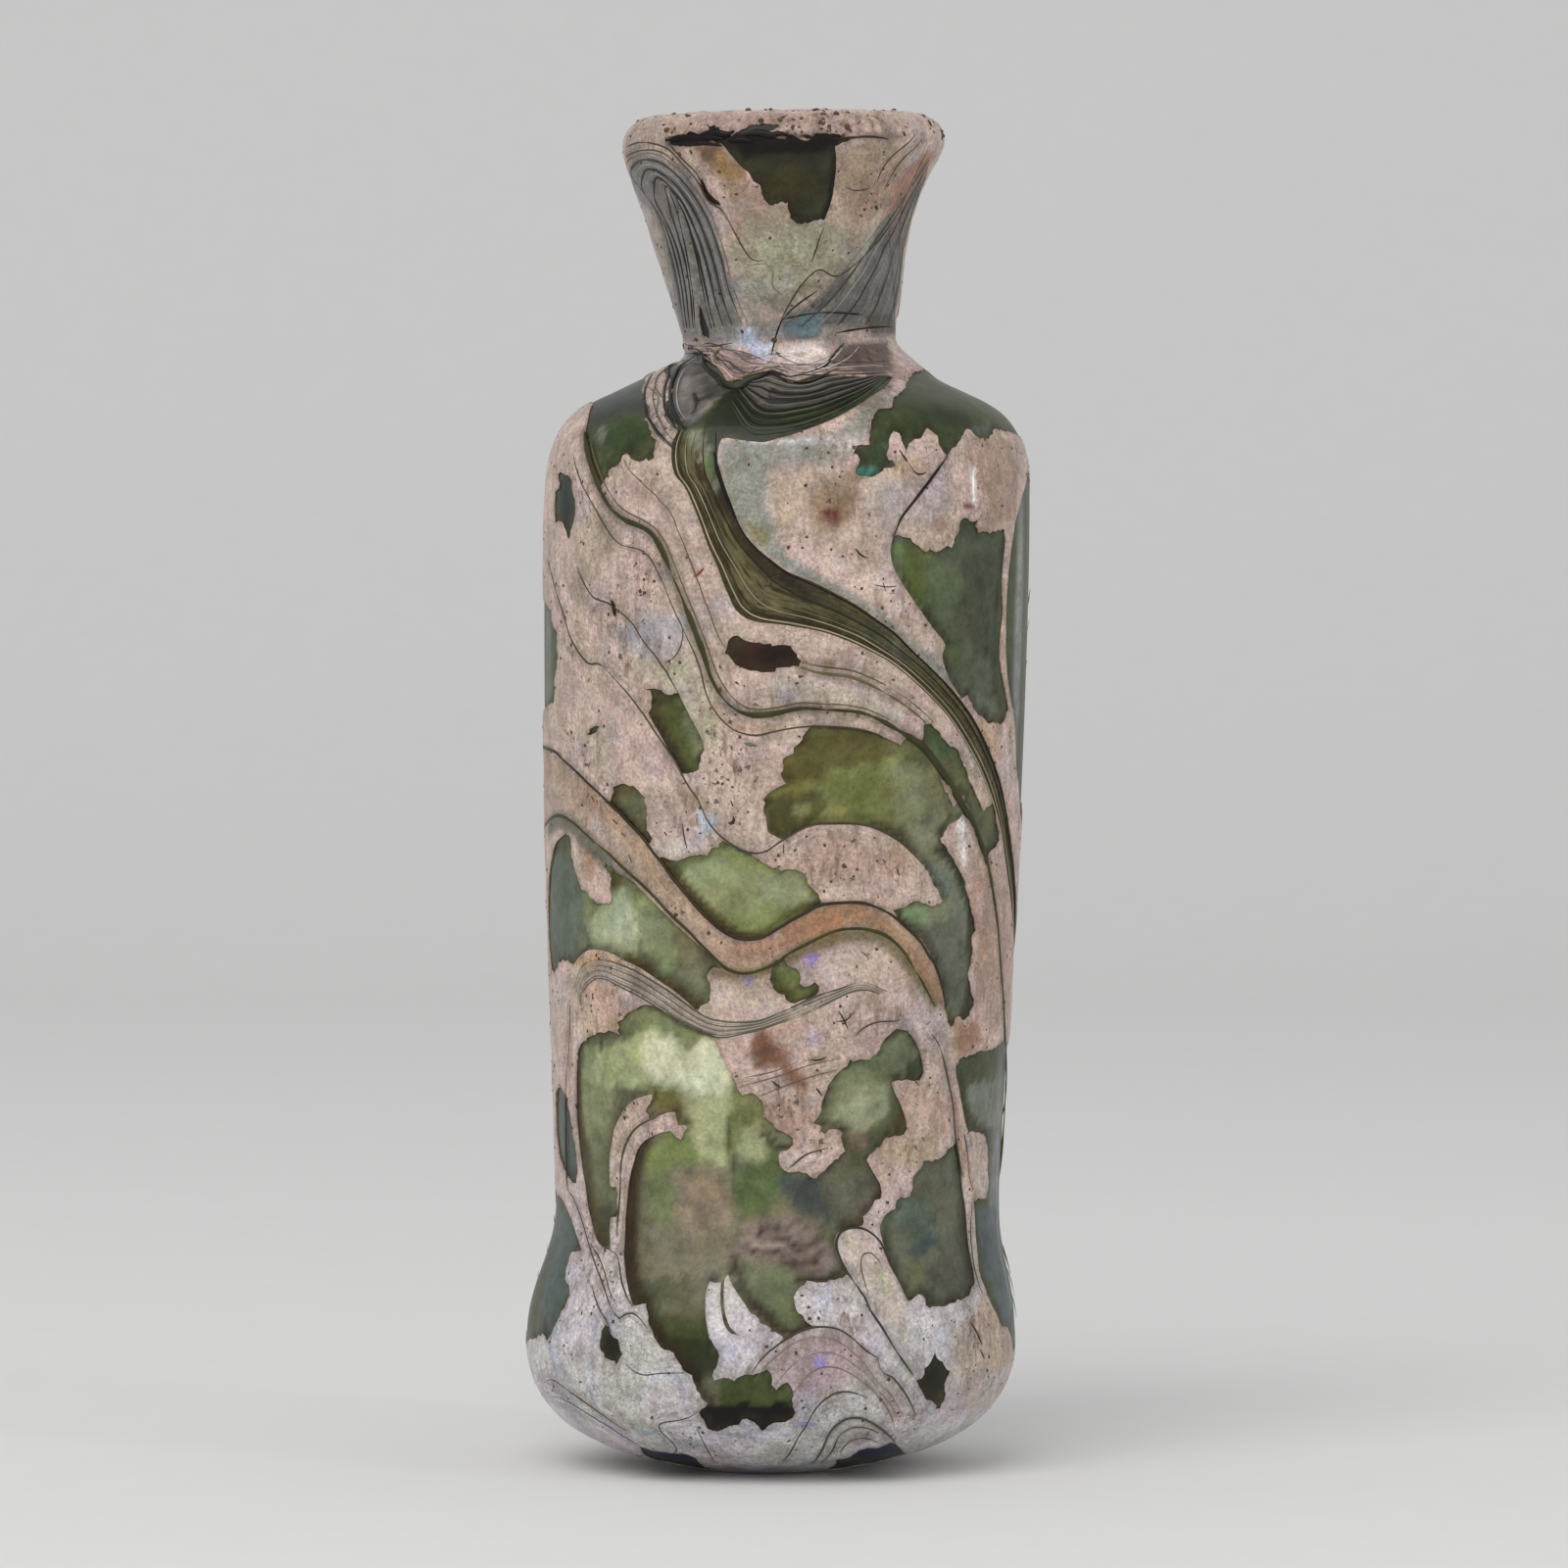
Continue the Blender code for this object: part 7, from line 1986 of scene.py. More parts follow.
def unrolled_mesh(
    name: str, points: np.ndarray, faces: Iterable[Sequence[int]], finish: bpy.types.Material
) -> bpy.types.Object:
    """Makes a mesh object at the origin from points in millimetres, none of them below the floor.

    Args:
        name: the piece's name.
        points: one row for each vertex.
        faces: the vertex numbers of each face.
        finish: the piece's material.

    Returns:
        The object, with smooth faces.
    """
    mesh = bpy.data.meshes.new(name)
    points = np.column_stack((points[:, :2], np.maximum(points[:, 2], 0.0)))
    mesh.from_pydata((points * MM).tolist(), [], [tuple(int(i) for i in f) for f in faces])
    mesh.polygons.foreach_set("use_smooth", [True] * len(mesh.polygons))
    mesh.materials.append(finish)
    mesh.update()
    piece = bpy.data.objects.new(name, mesh)
    bpy.context.scene.collection.objects.link(piece)
    return piece


def paint_points(piece: bpy.types.Object, name: str, colours: np.ndarray) -> None:
    """Stores a colour for each vertex of a piece.

    Args:
        piece: the piece.
        name: the attribute's name.
        colours: red, green, blue and alpha for each vertex.
    """
    layer = piece.data.color_attributes.new(name, "FLOAT_COLOR", "POINT")
    layer.data.foreach_set("color", colours.astype(np.float32).ravel())


def store_values(piece: bpy.types.Object, name: str, values: np.ndarray) -> None:
    """Stores a number for each vertex of a piece.

    Args:
        piece: the piece.
        name: the attribute's name.
        values: the numbers.
    """
    layer = piece.data.attributes.new(name, "FLOAT", "POINT")
    layer.data.foreach_set("value", values.astype(np.float32))


class Brush:
    """Paints dabs, strokes and streaks of colour on places of the unrolled wall.

    An area's edge is ragged by waves, each with a height and a fineness, as far as MOST_RAGGED lets it.
    """

    RAGGED = ((0.8, 0.4), (0.5, 1.1), (0.3, 2.6))
    MOST_RAGGED = 1.2
    LINE_STEP = 0.4
    SIDE_PARTS = 5
    FULL_AT = 1.35

    def __init__(self, skin: Skin) -> None:
        """Keeps the wall that it paints on."""
        self.skin = skin

    def weight(self, dab: Dab, flat: np.ndarray) -> np.ndarray:
        """How strongly a dab colours each place.

        Args:
            dab: the dab.
            flat: places on the unrolled wall.

        Returns:
            A weight from 0 to 1 for each place.
        """
        read = self.skin.from_round if dab.round else self.skin.from_picture
        centre = np.array(read(dab.place))
        reach = self.skin.profile.rings(np.array([centre[1]]))[0][2]
        offset = flat - centre
        half = math.pi * UNROLL_RADIUS
        x = ((offset[:, 0] + half) % (2 * half) - half) * reach / UNROLL_RADIUS
        turn = math.radians(dab.turn)
        along = (x * math.cos(turn) + offset[:, 1] * math.sin(turn)) / dab.radii[0]
        across = (-x * math.sin(turn) + offset[:, 1] * math.cos(turn)) / dab.radii[1]
        return smooth_step(self.FULL_AT - np.hypot(along, across)) * dab.strength

    def paint(
        self, flat: np.ndarray, dabs: Iterable[Dab], colours: np.ndarray, covers: np.ndarray | None = None
    ) -> None:
        """Blends dabs over colours, in place.

        Args:
            flat: places on the unrolled wall.
            dabs: the dabs, the lowest first.
            colours: red, green, blue and alpha for each place.
            covers: how much the film hides the glass at each place, or None.
        """
        for dab in dabs:
            weight = self.weight(dab, flat)
            target = np.array(linear(dab.colour))
            colours[:] += (target - colours) * weight[:, None]
            if covers is not None:
                covers[:] += (dab.cover - covers) * weight

    def draw(self, flat: np.ndarray, strokes: Iterable[Stroke], coat: "Coat") -> None:
        """Blends strokes over a coat, in place.

        Args:
            flat: places on the unrolled wall.
            strokes: the strokes, the lowest first.
            coat: what the places are painted with.
        """
        places = [Vector((x, y, 0.0)) for x, y in flat]
        ragged = np.zeros(len(places))
        for height, fineness in self.RAGGED:
            ragged += [height * noise.noise(p * fineness) for p in places]
        for stroke in strokes:
            area = stroke.path.startswith("A ")
            line = read_path(stroke.path.removeprefix("A "), self.skin)[0]
            if area:
                sides = zip(line, np.roll(line, -1, axis=0))
                shares = np.linspace(0, 1, self.SIDE_PARTS + 1)[:-1]
                line = np.vstack([a + (b - a) * t for a, b in sides for t in shares])
            else:
                line = smooth_line(line, self.LINE_STEP)
            low, high = line.min(axis=0) - stroke.width, line.max(axis=0) + stroke.width
            chosen = np.nonzero(np.all((flat > low) & (flat < high), axis=1))[0]
            if not len(chosen):
                continue
            gap, _ = nearest(flat[chosen], line)
            if area:
                gap = np.where(inside(flat[chosen], line), gap, -gap)
                gap = gap + ragged[chosen] * min(stroke.width, self.MOST_RAGGED)
                weight = smooth_step(0.5 + gap / stroke.width) * stroke.strength
            else:
                weight = smooth_step(self.FULL_AT - 2 * gap / stroke.width) * stroke.strength
            coat.paint[chosen] += (np.array(linear(stroke.colour)) - coat.paint[chosen]) * weight[:, None]
            coat.cover[chosen] += (stroke.cover - coat.cover[chosen]) * weight
            coat.streak[chosen] *= 1 - (0.9 if area else 0.3) * weight

    def marble(self, flat: np.ndarray, bands: Iterable[Marbling], coat: "Coat") -> None:
        """Lays streaks of two tones along the flow, in place.

        Args:
            flat: places on the unrolled wall.
            bands: where the streaks run.
            coat: what the places are painted with.
        """
        for number, band in enumerate(bands, 1):
            first, last = (drawn_line(path, self.skin, 0.3) for path in (band.first, band.last))
            chosen = np.nonzero(inside(flat, np.vstack((first, last[::-1]))))[0]
            if not len(chosen):
                continue
            to_first, along = nearest(flat[chosen], first)
            to_last, _ = nearest(flat[chosen], last)
            width = to_first + to_last
            from_ends = np.minimum(along, along.max() - along)
            weight = smooth_step(np.minimum(to_first, to_last) / band.fade)
            weight = weight * smooth_step(from_ends / band.ends)
            target = np.array(linear(band.pale))
            coat.paint[chosen] += (target - coat.paint[chosen]) * (weight * 0.85)[:, None]
            coat.tone[chosen] = linear(band.dark)
            across = to_first / width * float(width.mean()) / band.streak
            apart = np.full(len(chosen), number * 9.0)
            coat.flow[chosen] = np.column_stack((across, along / (14 * band.streak), apart))
            coat.streak[chosen] = weight * band.amount
            coat.cover[chosen] += (band.cover - coat.cover[chosen]) * weight


def nearest(points: np.ndarray, line: np.ndarray) -> tuple[np.ndarray, np.ndarray]:
    """Finds the nearest place of a line for each point.

    Args:
        points: one row for each point.
        line: the line's points.

    Returns:
        Each point's distance to the line and how far along the line its nearest place is.
    """
    gaps = np.linalg.norm(points[:, None, :] - line[None, :, :], axis=2)
    best = gaps.argmin(axis=1)
    return gaps[np.arange(len(points)), best], path_lengths(line)[best]


@dataclass
class Coat:
    """What a surface is painted with at each of its vertices.

    paint is its colour, tone the colour of the streaks that run through it, flow the streaks' own places,
    streak how strongly they show, and cover how much a film hides the glass under it.
    """

    paint: np.ndarray
    tone: np.ndarray
    flow: np.ndarray
    streak: np.ndarray
    cover: np.ndarray

    @classmethod
    def plain(cls, count: int, colour: np.ndarray | str, cover: float = 1.0) -> "Coat":
        """Starts a coat in one colour, with no streaks."""
        paint = np.tile(np.array(linear(colour)), (count, 1)) if isinstance(colour, str) else colour
        return cls(paint, paint.copy(), np.zeros((count, 3)), np.zeros(count), np.full(count, cover))

    def store(self, piece: bpy.types.Object) -> None:
        """Stores the coat in a piece's mesh.

        Args:
            piece: the piece, which may have the coat's vertices twice over, as a shell does.
        """
        times = len(piece.data.vertices) // len(self.paint)
        paint_points(piece, "paint", np.tile(self.paint, (times, 1)))
        paint_points(piece, "tone", np.tile(self.tone, (times, 1)))
        store_values(piece, "streak", np.tile(self.streak, times))
        store_values(piece, "cover", np.tile(self.cover, times))
        layer = piece.data.attributes.new("flow", "FLOAT_VECTOR", "POINT")
        layer.data.foreach_set("vector", np.tile(self.flow, (times, 1)).astype(np.float32).ravel())


@dataclass(frozen=True)
class OliveGlass:
    """Blown olive-green glass with drawn-out streaks: clear, glossy, and deeper in colour along the streaks.
    """

    name: str = "blown_olive_glass"
    pale: str = "#c9cfa6"
    deep: str = "#a3ab78"
    streak: float = 4.0

    def material(self) -> bpy.types.Material:
        """Builds the material.

        Returns:
            The material.
        """
        values = {"Transmission Weight": 1.0, "Roughness": 0.03, "IOR": 1.52}
        material, tree, surface = new_material(self.name, values)
        place = add(tree, "ShaderNodeTexCoord").outputs["Object"]
        upright = {"Vector": place, "Scale": DRAWN_UPRIGHT}
        drawn = add(tree, "ShaderNodeMapping", inputs=upright).outputs["Vector"]
        streaks = {"Vector": drawn, "Scale": 1 / (self.streak * MM), "Detail": 3.0, "Distortion": 1.2}
        cloud = add(tree, "ShaderNodeTexNoise", inputs=streaks).outputs["Fac"]
        tones = {0: cloud, 6: linear(self.pale), 7: linear(self.deep)}
        colour = add(tree, "ShaderNodeMix", MIX_COLOURS, tones).outputs[2]
        tree.links.new(colour, surface.inputs["Base Color"])
        return material


@dataclass(frozen=True)
class WeatheringFilm:
    """The thin film that burial leaves on bare glass: mottled, part see-through, and finely creased."""

    # Besides the film's own colours, its painted colours hold a painted shadow along the crust's edges and a
    # painted glow of light from behind.
    name: str = "weathering_film"
    mottle: float = 1.8
    crinkle: float = 0.9
    fleck: float = 0.35
    tint: float = 2.6
    warm: tuple[float, float, float, float] = (1.07, 0.93, 0.86, 1.0)
    plain: tuple[float, float, float, float] = (1.0, 0.95, 0.97, 1.0)

    def material(self) -> bpy.types.Material:
        """Builds the material.

        Returns:
            The material.
        """
        values = {"Roughness": 0.4, "Specular IOR Level": 0.18, "Coat Weight": 0.12, "Coat Roughness": 0.06}
        material, tree, surface = new_material(self.name, values)
        place = add(tree, "ShaderNodeTexCoord").outputs["Object"]
        cover = add(tree, "ShaderNodeAttribute", {"attribute_name": "cover"}).outputs["Fac"]
        spread = {"From Min": 0.34, "From Max": 0.66, "To Min": 0.7, "To Max": 1.3}
        cloud, shade = mottling(tree, place, self.mottle, {"Detail": 6.0, "Roughness": 0.65}, spread)
        spread = {"From Min": 0.36, "From Max": 0.64, "To Min": 0.9, "To Max": 1.08}
        _, fine = mottling(tree, place, self.fleck, {"Detail": 2.0, "Roughness": 0.7}, spread)
        _, warmth = mottling(tree, place, self.tint, {"Detail": 3.0}, {"From Min": 0.35, "From Max": 0.65})
        creases = {"Vector": place, "Scale": 1 / (self.crinkle * MM), "Detail": 4.0, "Distortion": 1.6}
        creased = add(tree, "ShaderNodeTexNoise", inputs=creases).outputs["Fac"]
        off = add(tree, "ShaderNodeMath", {"operation": "SUBTRACT"}, {0: creased, 1: 0.5}).outputs[0]
        gap = add(tree, "ShaderNodeMath", {"operation": "ABSOLUTE"}, {0: off}).outputs[0]
        spread = {"Value": gap, "From Max": 0.03, "To Min": 0.8, "To Max": 1.04}
        crease = add(tree, "ShaderNodeMapRange", inputs=spread).outputs["Result"]
        even = add(tree, "ShaderNodeMath", MULTIPLY, {0: shade, 1: fine}).outputs[0]
        both = add(tree, "ShaderNodeMath", MULTIPLY, {0: even, 1: crease}).outputs[0]
        shaded = add(tree, "ShaderNodeVectorMath", SCALE, {0: streaked_paint(tree), "Scale": both}).outputs[0]
        tint = add(tree, "ShaderNodeMix", MIX_COLOURS, {0: warmth, 6: self.warm, 7: self.plain}).outputs[2]
        tinted = add(tree, "ShaderNodeVectorMath", MULTIPLY, {0: shaded, 1: tint}).outputs[0]
        relief = {"Height": cloud, "Strength": 0.2, "Distance": 0.15 * MM}
        bump = add(tree, "ShaderNodeBump", inputs=relief).outputs["Normal"]
        tree.links.new(tinted, surface.inputs["Base Color"])
        tree.links.new(cover, surface.inputs["Alpha"])
        tree.links.new(bump, surface.inputs["Normal"])
        return material


@dataclass(frozen=True)
class CrustFinish:
    """The opaque crust of leached glass: pinkish cream, satin with a pearly sheen, clouded, flecked and
    crazed.

    Its finest grain is drawn three times as coarse as it is, because it would not show otherwise.
    """

    # Besides the crust's own colours, its painted colours hold a few painted highlights.
    name: str = "pearly_weathering_crust"
    drift: float = 5.0
    cloud: float = 2.0
    grain: float = 0.3
    smudge: float = 0.8
    crazing: float = 2.2
    fleck: float = 0.7
    pink: tuple[float, float, float, float] = (1.05, 0.96, 0.95, 1.0)
    cream: tuple[float, float, float, float] = (1.01, 1.0, 0.89, 1.0)
    lilac: tuple[float, float, float, float] = (0.93, 0.98, 1.1, 1.0)
    smudge_tone: str = "#765c49"
    crack_tone: str = "#5f4c3e"
    fleck_tone: str = "#3d2c22"

    def material(self) -> bpy.types.Material:
        """Builds the material.

        Returns:
            The material.
        """
        values = {"Specular IOR Level": 0.4, "Coat Weight": 0.18, "Coat Roughness": 0.2}
        material, tree, surface = new_material(self.name, values)
        place = add(tree, "ShaderNodeTexCoord").outputs["Object"]
        dirt = add(tree, "ShaderNodeAttribute", {"attribute_name": "dirt"}).outputs["Fac"]
        spread = {"From Min": 0.38, "From Max": 0.62, "To Min": 0.74, "To Max": 1.2}
        cloud, shade = mottling(tree, place, self.cloud, {"Detail": 8.0, "Roughness": 0.68}, spread)
        spread = {"From Min": 0.36, "From Max": 0.64, "To Min": 0.68, "To Max": 1.2}
        grain, fine = mottling(tree, place, self.grain, {"Detail": 3.0, "Roughness": 0.7}, spread)
        both = add(tree, "ShaderNodeMath", MULTIPLY, {0: shade, 1: fine}).outputs[0]
        shaded = add(tree, "ShaderNodeVectorMath", SCALE, {0: streaked_paint(tree), "Scale": both}).outputs[0]
        colour = self._tinted(tree, place, shaded)
        colour = self._smudged(tree, place, colour, dirt)
        colour = self._crazed(tree, place, colour)
        colour = self._flecked(tree, place, colour, dirt)
        spread = {"Value": grain, "From Min": 0.3, "From Max": 0.7, "To Min": 0.4, "To Max": 0.62}
        rough = add(tree, "ShaderNodeMapRange", inputs=spread).outputs["Result"]
        height = add(tree, "ShaderNodeMath", {"operation": "ADD"}, {0: cloud, 1: grain}).outputs[0]
        relief = {"Height": height, "Strength": 0.6, "Distance": 0.12 * MM}
        bump = add(tree, "ShaderNodeBump", inputs=relief).outputs["Normal"]
        tree.links.new(colour, surface.inputs["Base Color"])
        tree.links.new(rough, surface.inputs["Roughness"])
        tree.links.new(bump, surface.inputs["Normal"])
        return material

    def _tinted(self, tree: Tree, place: Socket, colour: Socket) -> Socket:
        """Lets the colour drift between pink, cream and grey lilac.

        Args:
            tree: the material's node tree.
            place: the places that its patterns read.
            colour: the colour so far.

        Returns:
            The new colour.
        """
        fine = {"Detail": 4.0}
        _, warmth = mottling(tree, place, self.drift, fine, {"From Min": 0.38, "From Max": 0.62})
        tint = add(tree, "ShaderNodeMix", MIX_COLOURS, {0: warmth, 6: self.pink, 7: self.cream}).outputs[2]
        aside = {"Vector": place, "Location": (0.3, 0.7, 0.2)}
        moved = add(tree, "ShaderNodeMapping", inputs=aside).outputs["Vector"]
        spread = {"From Min": 0.52, "From Max": 0.7, "To Max": 0.7}
        _, coolness = mottling(tree, moved, self.drift / 1.6, fine, spread)
        tint = add(tree, "ShaderNodeMix", MIX_COLOURS, {0: coolness, 6: tint, 7: self.lilac}).outputs[2]
        return add(tree, "ShaderNodeVectorMath", MULTIPLY, {0: colour, 1: tint}).outputs[0]

    def _smudged(self, tree: Tree, place: Socket, colour: Socket, dirt: Socket) -> Socket:
        """Adds upright brown smudges, as earth leaves in a rubbed surface.

        Args:
            tree: the material's node tree.
            place: the places that its patterns read.
            colour: the colour so far.
            dirt: how much dirt there is.

        Returns:
            The new colour.
        """
        upright = {"Vector": place, "Scale": DRAWN_UPRIGHT}
        drawn = add(tree, "ShaderNodeMapping", inputs=upright).outputs["Vector"]
        spread = {"From Min": 0.48, "From Max": 0.66, "To Max": 0.85}
        _, strength = mottling(tree, drawn, self.smudge, {"Detail": 5.0, "Roughness": 0.7}, spread)
        share = add(tree, "ShaderNodeMath", MULTIPLY, {0: strength, 1: dirt}).outputs[0]
        tones = {0: share, 6: colour, 7: linear(self.smudge_tone)}
        return add(tree, "ShaderNodeMix", MIX_COLOURS, tones).outputs[2]

    def _crazed(self, tree: Tree, place: Socket, colour: Socket) -> Socket:
        """Adds hairline cracks in some places.

        Args:
            tree: the material's node tree.
            place: the places that its patterns read.
            colour: the colour so far.

        Returns:
            The new colour.
        """
        bent = shifted(tree, place, self.crazing / 0.8, 4.0, 1.6 * self.crazing)
        cells = {"Vector": bent, "Scale": 1 / (self.crazing * MM)}
        edge = add(tree, "ShaderNodeTexVoronoi", {"feature": "DISTANCE_TO_EDGE"}, cells).outputs["Distance"]
        spread = {"Value": edge, "From Max": 0.022, "To Min": 0.6, "To Max": 0.0}
        line = add(tree, "ShaderNodeMapRange", inputs=spread).outputs["Result"]
        some = {"From Min": 0.45, "From Max": 0.6}
        _, here = mottling(tree, place, self.crazing / 0.4, {"Detail": 2.0}, some)
        share = add(tree, "ShaderNodeMath", MULTIPLY, {0: line, 1: here}).outputs[0]
        tones = {0: share, 6: colour, 7: linear(self.crack_tone)}
        return add(tree, "ShaderNodeMix", MIX_COLOURS, tones).outputs[2]

    def _flecked(self, tree: Tree, place: Socket, colour: Socket, dirt: Socket) -> Socket:
        """Adds small dark flecks, many where there is much dirt.

        Args:
            tree: the material's node tree.
            place: the places that its patterns read.
            colour: the colour so far.
            dirt: how much dirt there is.

        Returns:
            The new colour.
        """
        bent = shifted(tree, place, self.fleck / 2.2, 3.0, 1.3 * self.fleck)
        grid = {"Vector": bent, "Scale": 1 / (self.fleck * MM)}
        cells = add(tree, "ShaderNodeTexVoronoi", inputs=grid).outputs
        chance = add(tree, "ShaderNodeSeparateColor", inputs={"Color": cells["Color"]}).outputs["Red"]
        spread = {"Value": chance, "From Min": 0.5, "To Min": 0.0, "To Max": 0.34}
        size = add(tree, "ShaderNodeMapRange", inputs=spread).outputs["Result"]
        reach = add(tree, "ShaderNodeMath", MULTIPLY, {0: size, 1: dirt}).outputs[0]
        within = {0: reach, 1: cells["Distance"]}
        depth = add(tree, "ShaderNodeMath", {"operation": "SUBTRACT"}, within).outputs[0]
        spread = {"Value": depth, "From Min": -0.02, "From Max": 0.05, "To Max": 0.8}
        share = add(tree, "ShaderNodeMapRange", inputs=spread).outputs["Result"]
        tones = {0: share, 6: colour, 7: linear(self.fleck_tone)}
        return add(tree, "ShaderNodeMix", MIX_COLOURS, tones).outputs[2]


@dataclass(frozen=True)
class ThreadFinish:
    """Drawn-out threads in the glass, each in its own tone: satin, with slow changes along their length."""

    name: str = "drawn_glass_threads"
    change: float = 3.0

    def material(self) -> bpy.types.Material:
        """Builds the material.

        Returns:
            The material.
        """
        values = {"Roughness": 0.5, "Specular IOR Level": 0.15, "Coat Weight": 0.08, "Coat Roughness": 0.1}
        material, tree, surface = new_material(self.name, values)
        place = add(tree, "ShaderNodeTexCoord").outputs["Object"]
        tone = add(tree, "ShaderNodeAttribute", {"attribute_name": "tone"}).outputs["Color"]
        spread = {"From Min": 0.3, "From Max": 0.7, "To Min": 0.6, "To Max": 1.15}
        _, shade = mottling(tree, place, self.change, {"Detail": 4.0}, spread)
        shaded = add(tree, "ShaderNodeVectorMath", SCALE, {0: tone, "Scale": shade}).outputs[0]
        tree.links.new(shaded, surface.inputs["Base Color"])
        return material


@dataclass(frozen=True)
class DirtFinish:
    """Dry earth lodged on the crust: matt, dark brown to black."""

    name: str = "burial_earth"
    dark: str = "#2a1f16"
    light: str = "#6a4f38"
    clump: float = 1.1

    def material(self) -> bpy.types.Material:
        """Builds the material.

        Returns:
            The material.
        """
        material, tree, surface = new_material(self.name, {"Roughness": 0.8})
        place = add(tree, "ShaderNodeTexCoord").outputs["Object"]
        pattern = {"Vector": place, "Scale": 1 / (self.clump * MM), "Detail": 3.0}
        clumps = add(tree, "ShaderNodeTexNoise", inputs=pattern).outputs["Fac"]
        tones = {0: clumps, 6: linear(self.dark), 7: linear(self.light)}
        colour = add(tree, "ShaderNodeMix", MIX_COLOURS, tones).outputs[2]
        tree.links.new(colour, surface.inputs["Base Color"])
        return material


@dataclass(frozen=True)
class PaperFinish:
    """Matt pale studio paper for the floor and what is behind the bottle."""

    name: str = "studio_paper"
    colour: str = "#e4e2de"
    fibre: float = 6.0

    def material(self) -> bpy.types.Material:
        """Builds the material.

        Returns:
            The material.
        """
        material, tree, surface = new_material(self.name, {"Roughness": 0.9})
        place = add(tree, "ShaderNodeTexCoord").outputs["Object"]
        _, shade = mottling(tree, place, self.fibre, {"Detail": 2.0}, {"To Min": 0.985, "To Max": 1.015})
        paper = {0: linear(self.colour)[:3], "Scale": shade}
        shaded = add(tree, "ShaderNodeVectorMath", SCALE, paper).outputs[0]
        tree.links.new(shaded, surface.inputs["Base Color"])
        return material


def mottling(
    tree: Tree, place: Socket, size: float, pattern: Values, spread: Values
) -> tuple[Socket, Socket]:
    """Adds a soft pattern of a real size, and the same with its values spread over another range.

    Args:
        tree: the material's node tree.
        place: the places that the pattern reads.
        size: its size in millimetres.
        pattern: how fine and how rough it is.
        spread: the range that its values are taken from and to.

    Returns:
        The pattern and the spread values.
    """
    noisy = {"Vector": place, "Scale": 1 / (size * MM), **pattern}
    cloud = add(tree, "ShaderNodeTexNoise", inputs=noisy).outputs["Fac"]
    return cloud, add(tree, "ShaderNodeMapRange", inputs={"Value": cloud, **spread}).outputs["Result"]


def shifted(tree: Tree, place: Socket, size: float, detail: float, reach: float) -> Socket:
    """Shifts places about, so that a pattern of cells that reads them has no straight sides.

    Args:
        tree: the material's node tree.
        place: the places.
        size: how far apart the shifts change, in millimetres.
        detail: how fine the shifts are.
        reach: how far they go, in millimetres.

    Returns:
        The shifted places.
    """
    noisy = {"Vector": place, "Scale": 1 / (size * MM), "Detail": detail}
    bend = add(tree, "ShaderNodeTexNoise", inputs=noisy).outputs["Color"]
    offset = add(tree, "ShaderNodeVectorMath", SCALE, {0: bend, "Scale": reach * MM}).outputs[0]
    return add(tree, "ShaderNodeVectorMath", {"operation": "ADD"}, {0: place, 1: offset}).outputs[0]


def streaked_paint(tree: Tree) -> Socket:
    """Adds the nodes that draw a coat's streaks over its paint.

    Args:
        tree: a material's node tree.

    Returns:
        The colour.
    """
    paint = add(tree, "ShaderNodeAttribute", {"attribute_name": "paint"}).outputs["Color"]
    tone = add(tree, "ShaderNodeAttribute", {"attribute_name": "tone"}).outputs["Color"]
    flow = add(tree, "ShaderNodeAttribute", {"attribute_name": "flow"}).outputs["Vector"]
    amount = add(tree, "ShaderNodeAttribute", {"attribute_name": "streak"}).outputs["Fac"]
    streaks = {"Vector": flow, "Scale": 0.5, "Detail": 3.0, "Roughness": 0.7}
    drawn = add(tree, "ShaderNodeTexNoise", inputs=streaks).outputs["Fac"]
    spread = {"Value": drawn, "From Min": 0.43, "From Max": 0.57}
    dark = add(tree, "ShaderNodeMapRange", {"interpolation_type": "SMOOTHSTEP"}, spread).outputs["Result"]
    share = add(tree, "ShaderNodeMath", MULTIPLY, {0: dark, 1: amount}).outputs[0]
    return add(tree, "ShaderNodeMix", MIX_COLOURS, {0: share, 6: paint, 7: tone}).outputs[2]


def new_material(name: str, values: Values) -> tuple[bpy.types.Material, Tree, bpy.types.Node]:
    """Makes a material with a plain surface shader.

    Args:
        name: the material's name.
        values: the shader's plain values.

    Returns:
        The material, its node tree and its surface shader.
    """
    material = bpy.data.materials.new(name)
    material.use_nodes = True
    tree = material.node_tree
    tree.nodes.clear()
    surface = add(tree, "ShaderNodeBsdfPrincipled", inputs=values)
    add(tree, "ShaderNodeOutputMaterial", inputs={"Surface": surface.outputs["BSDF"]})
    return material, tree, surface


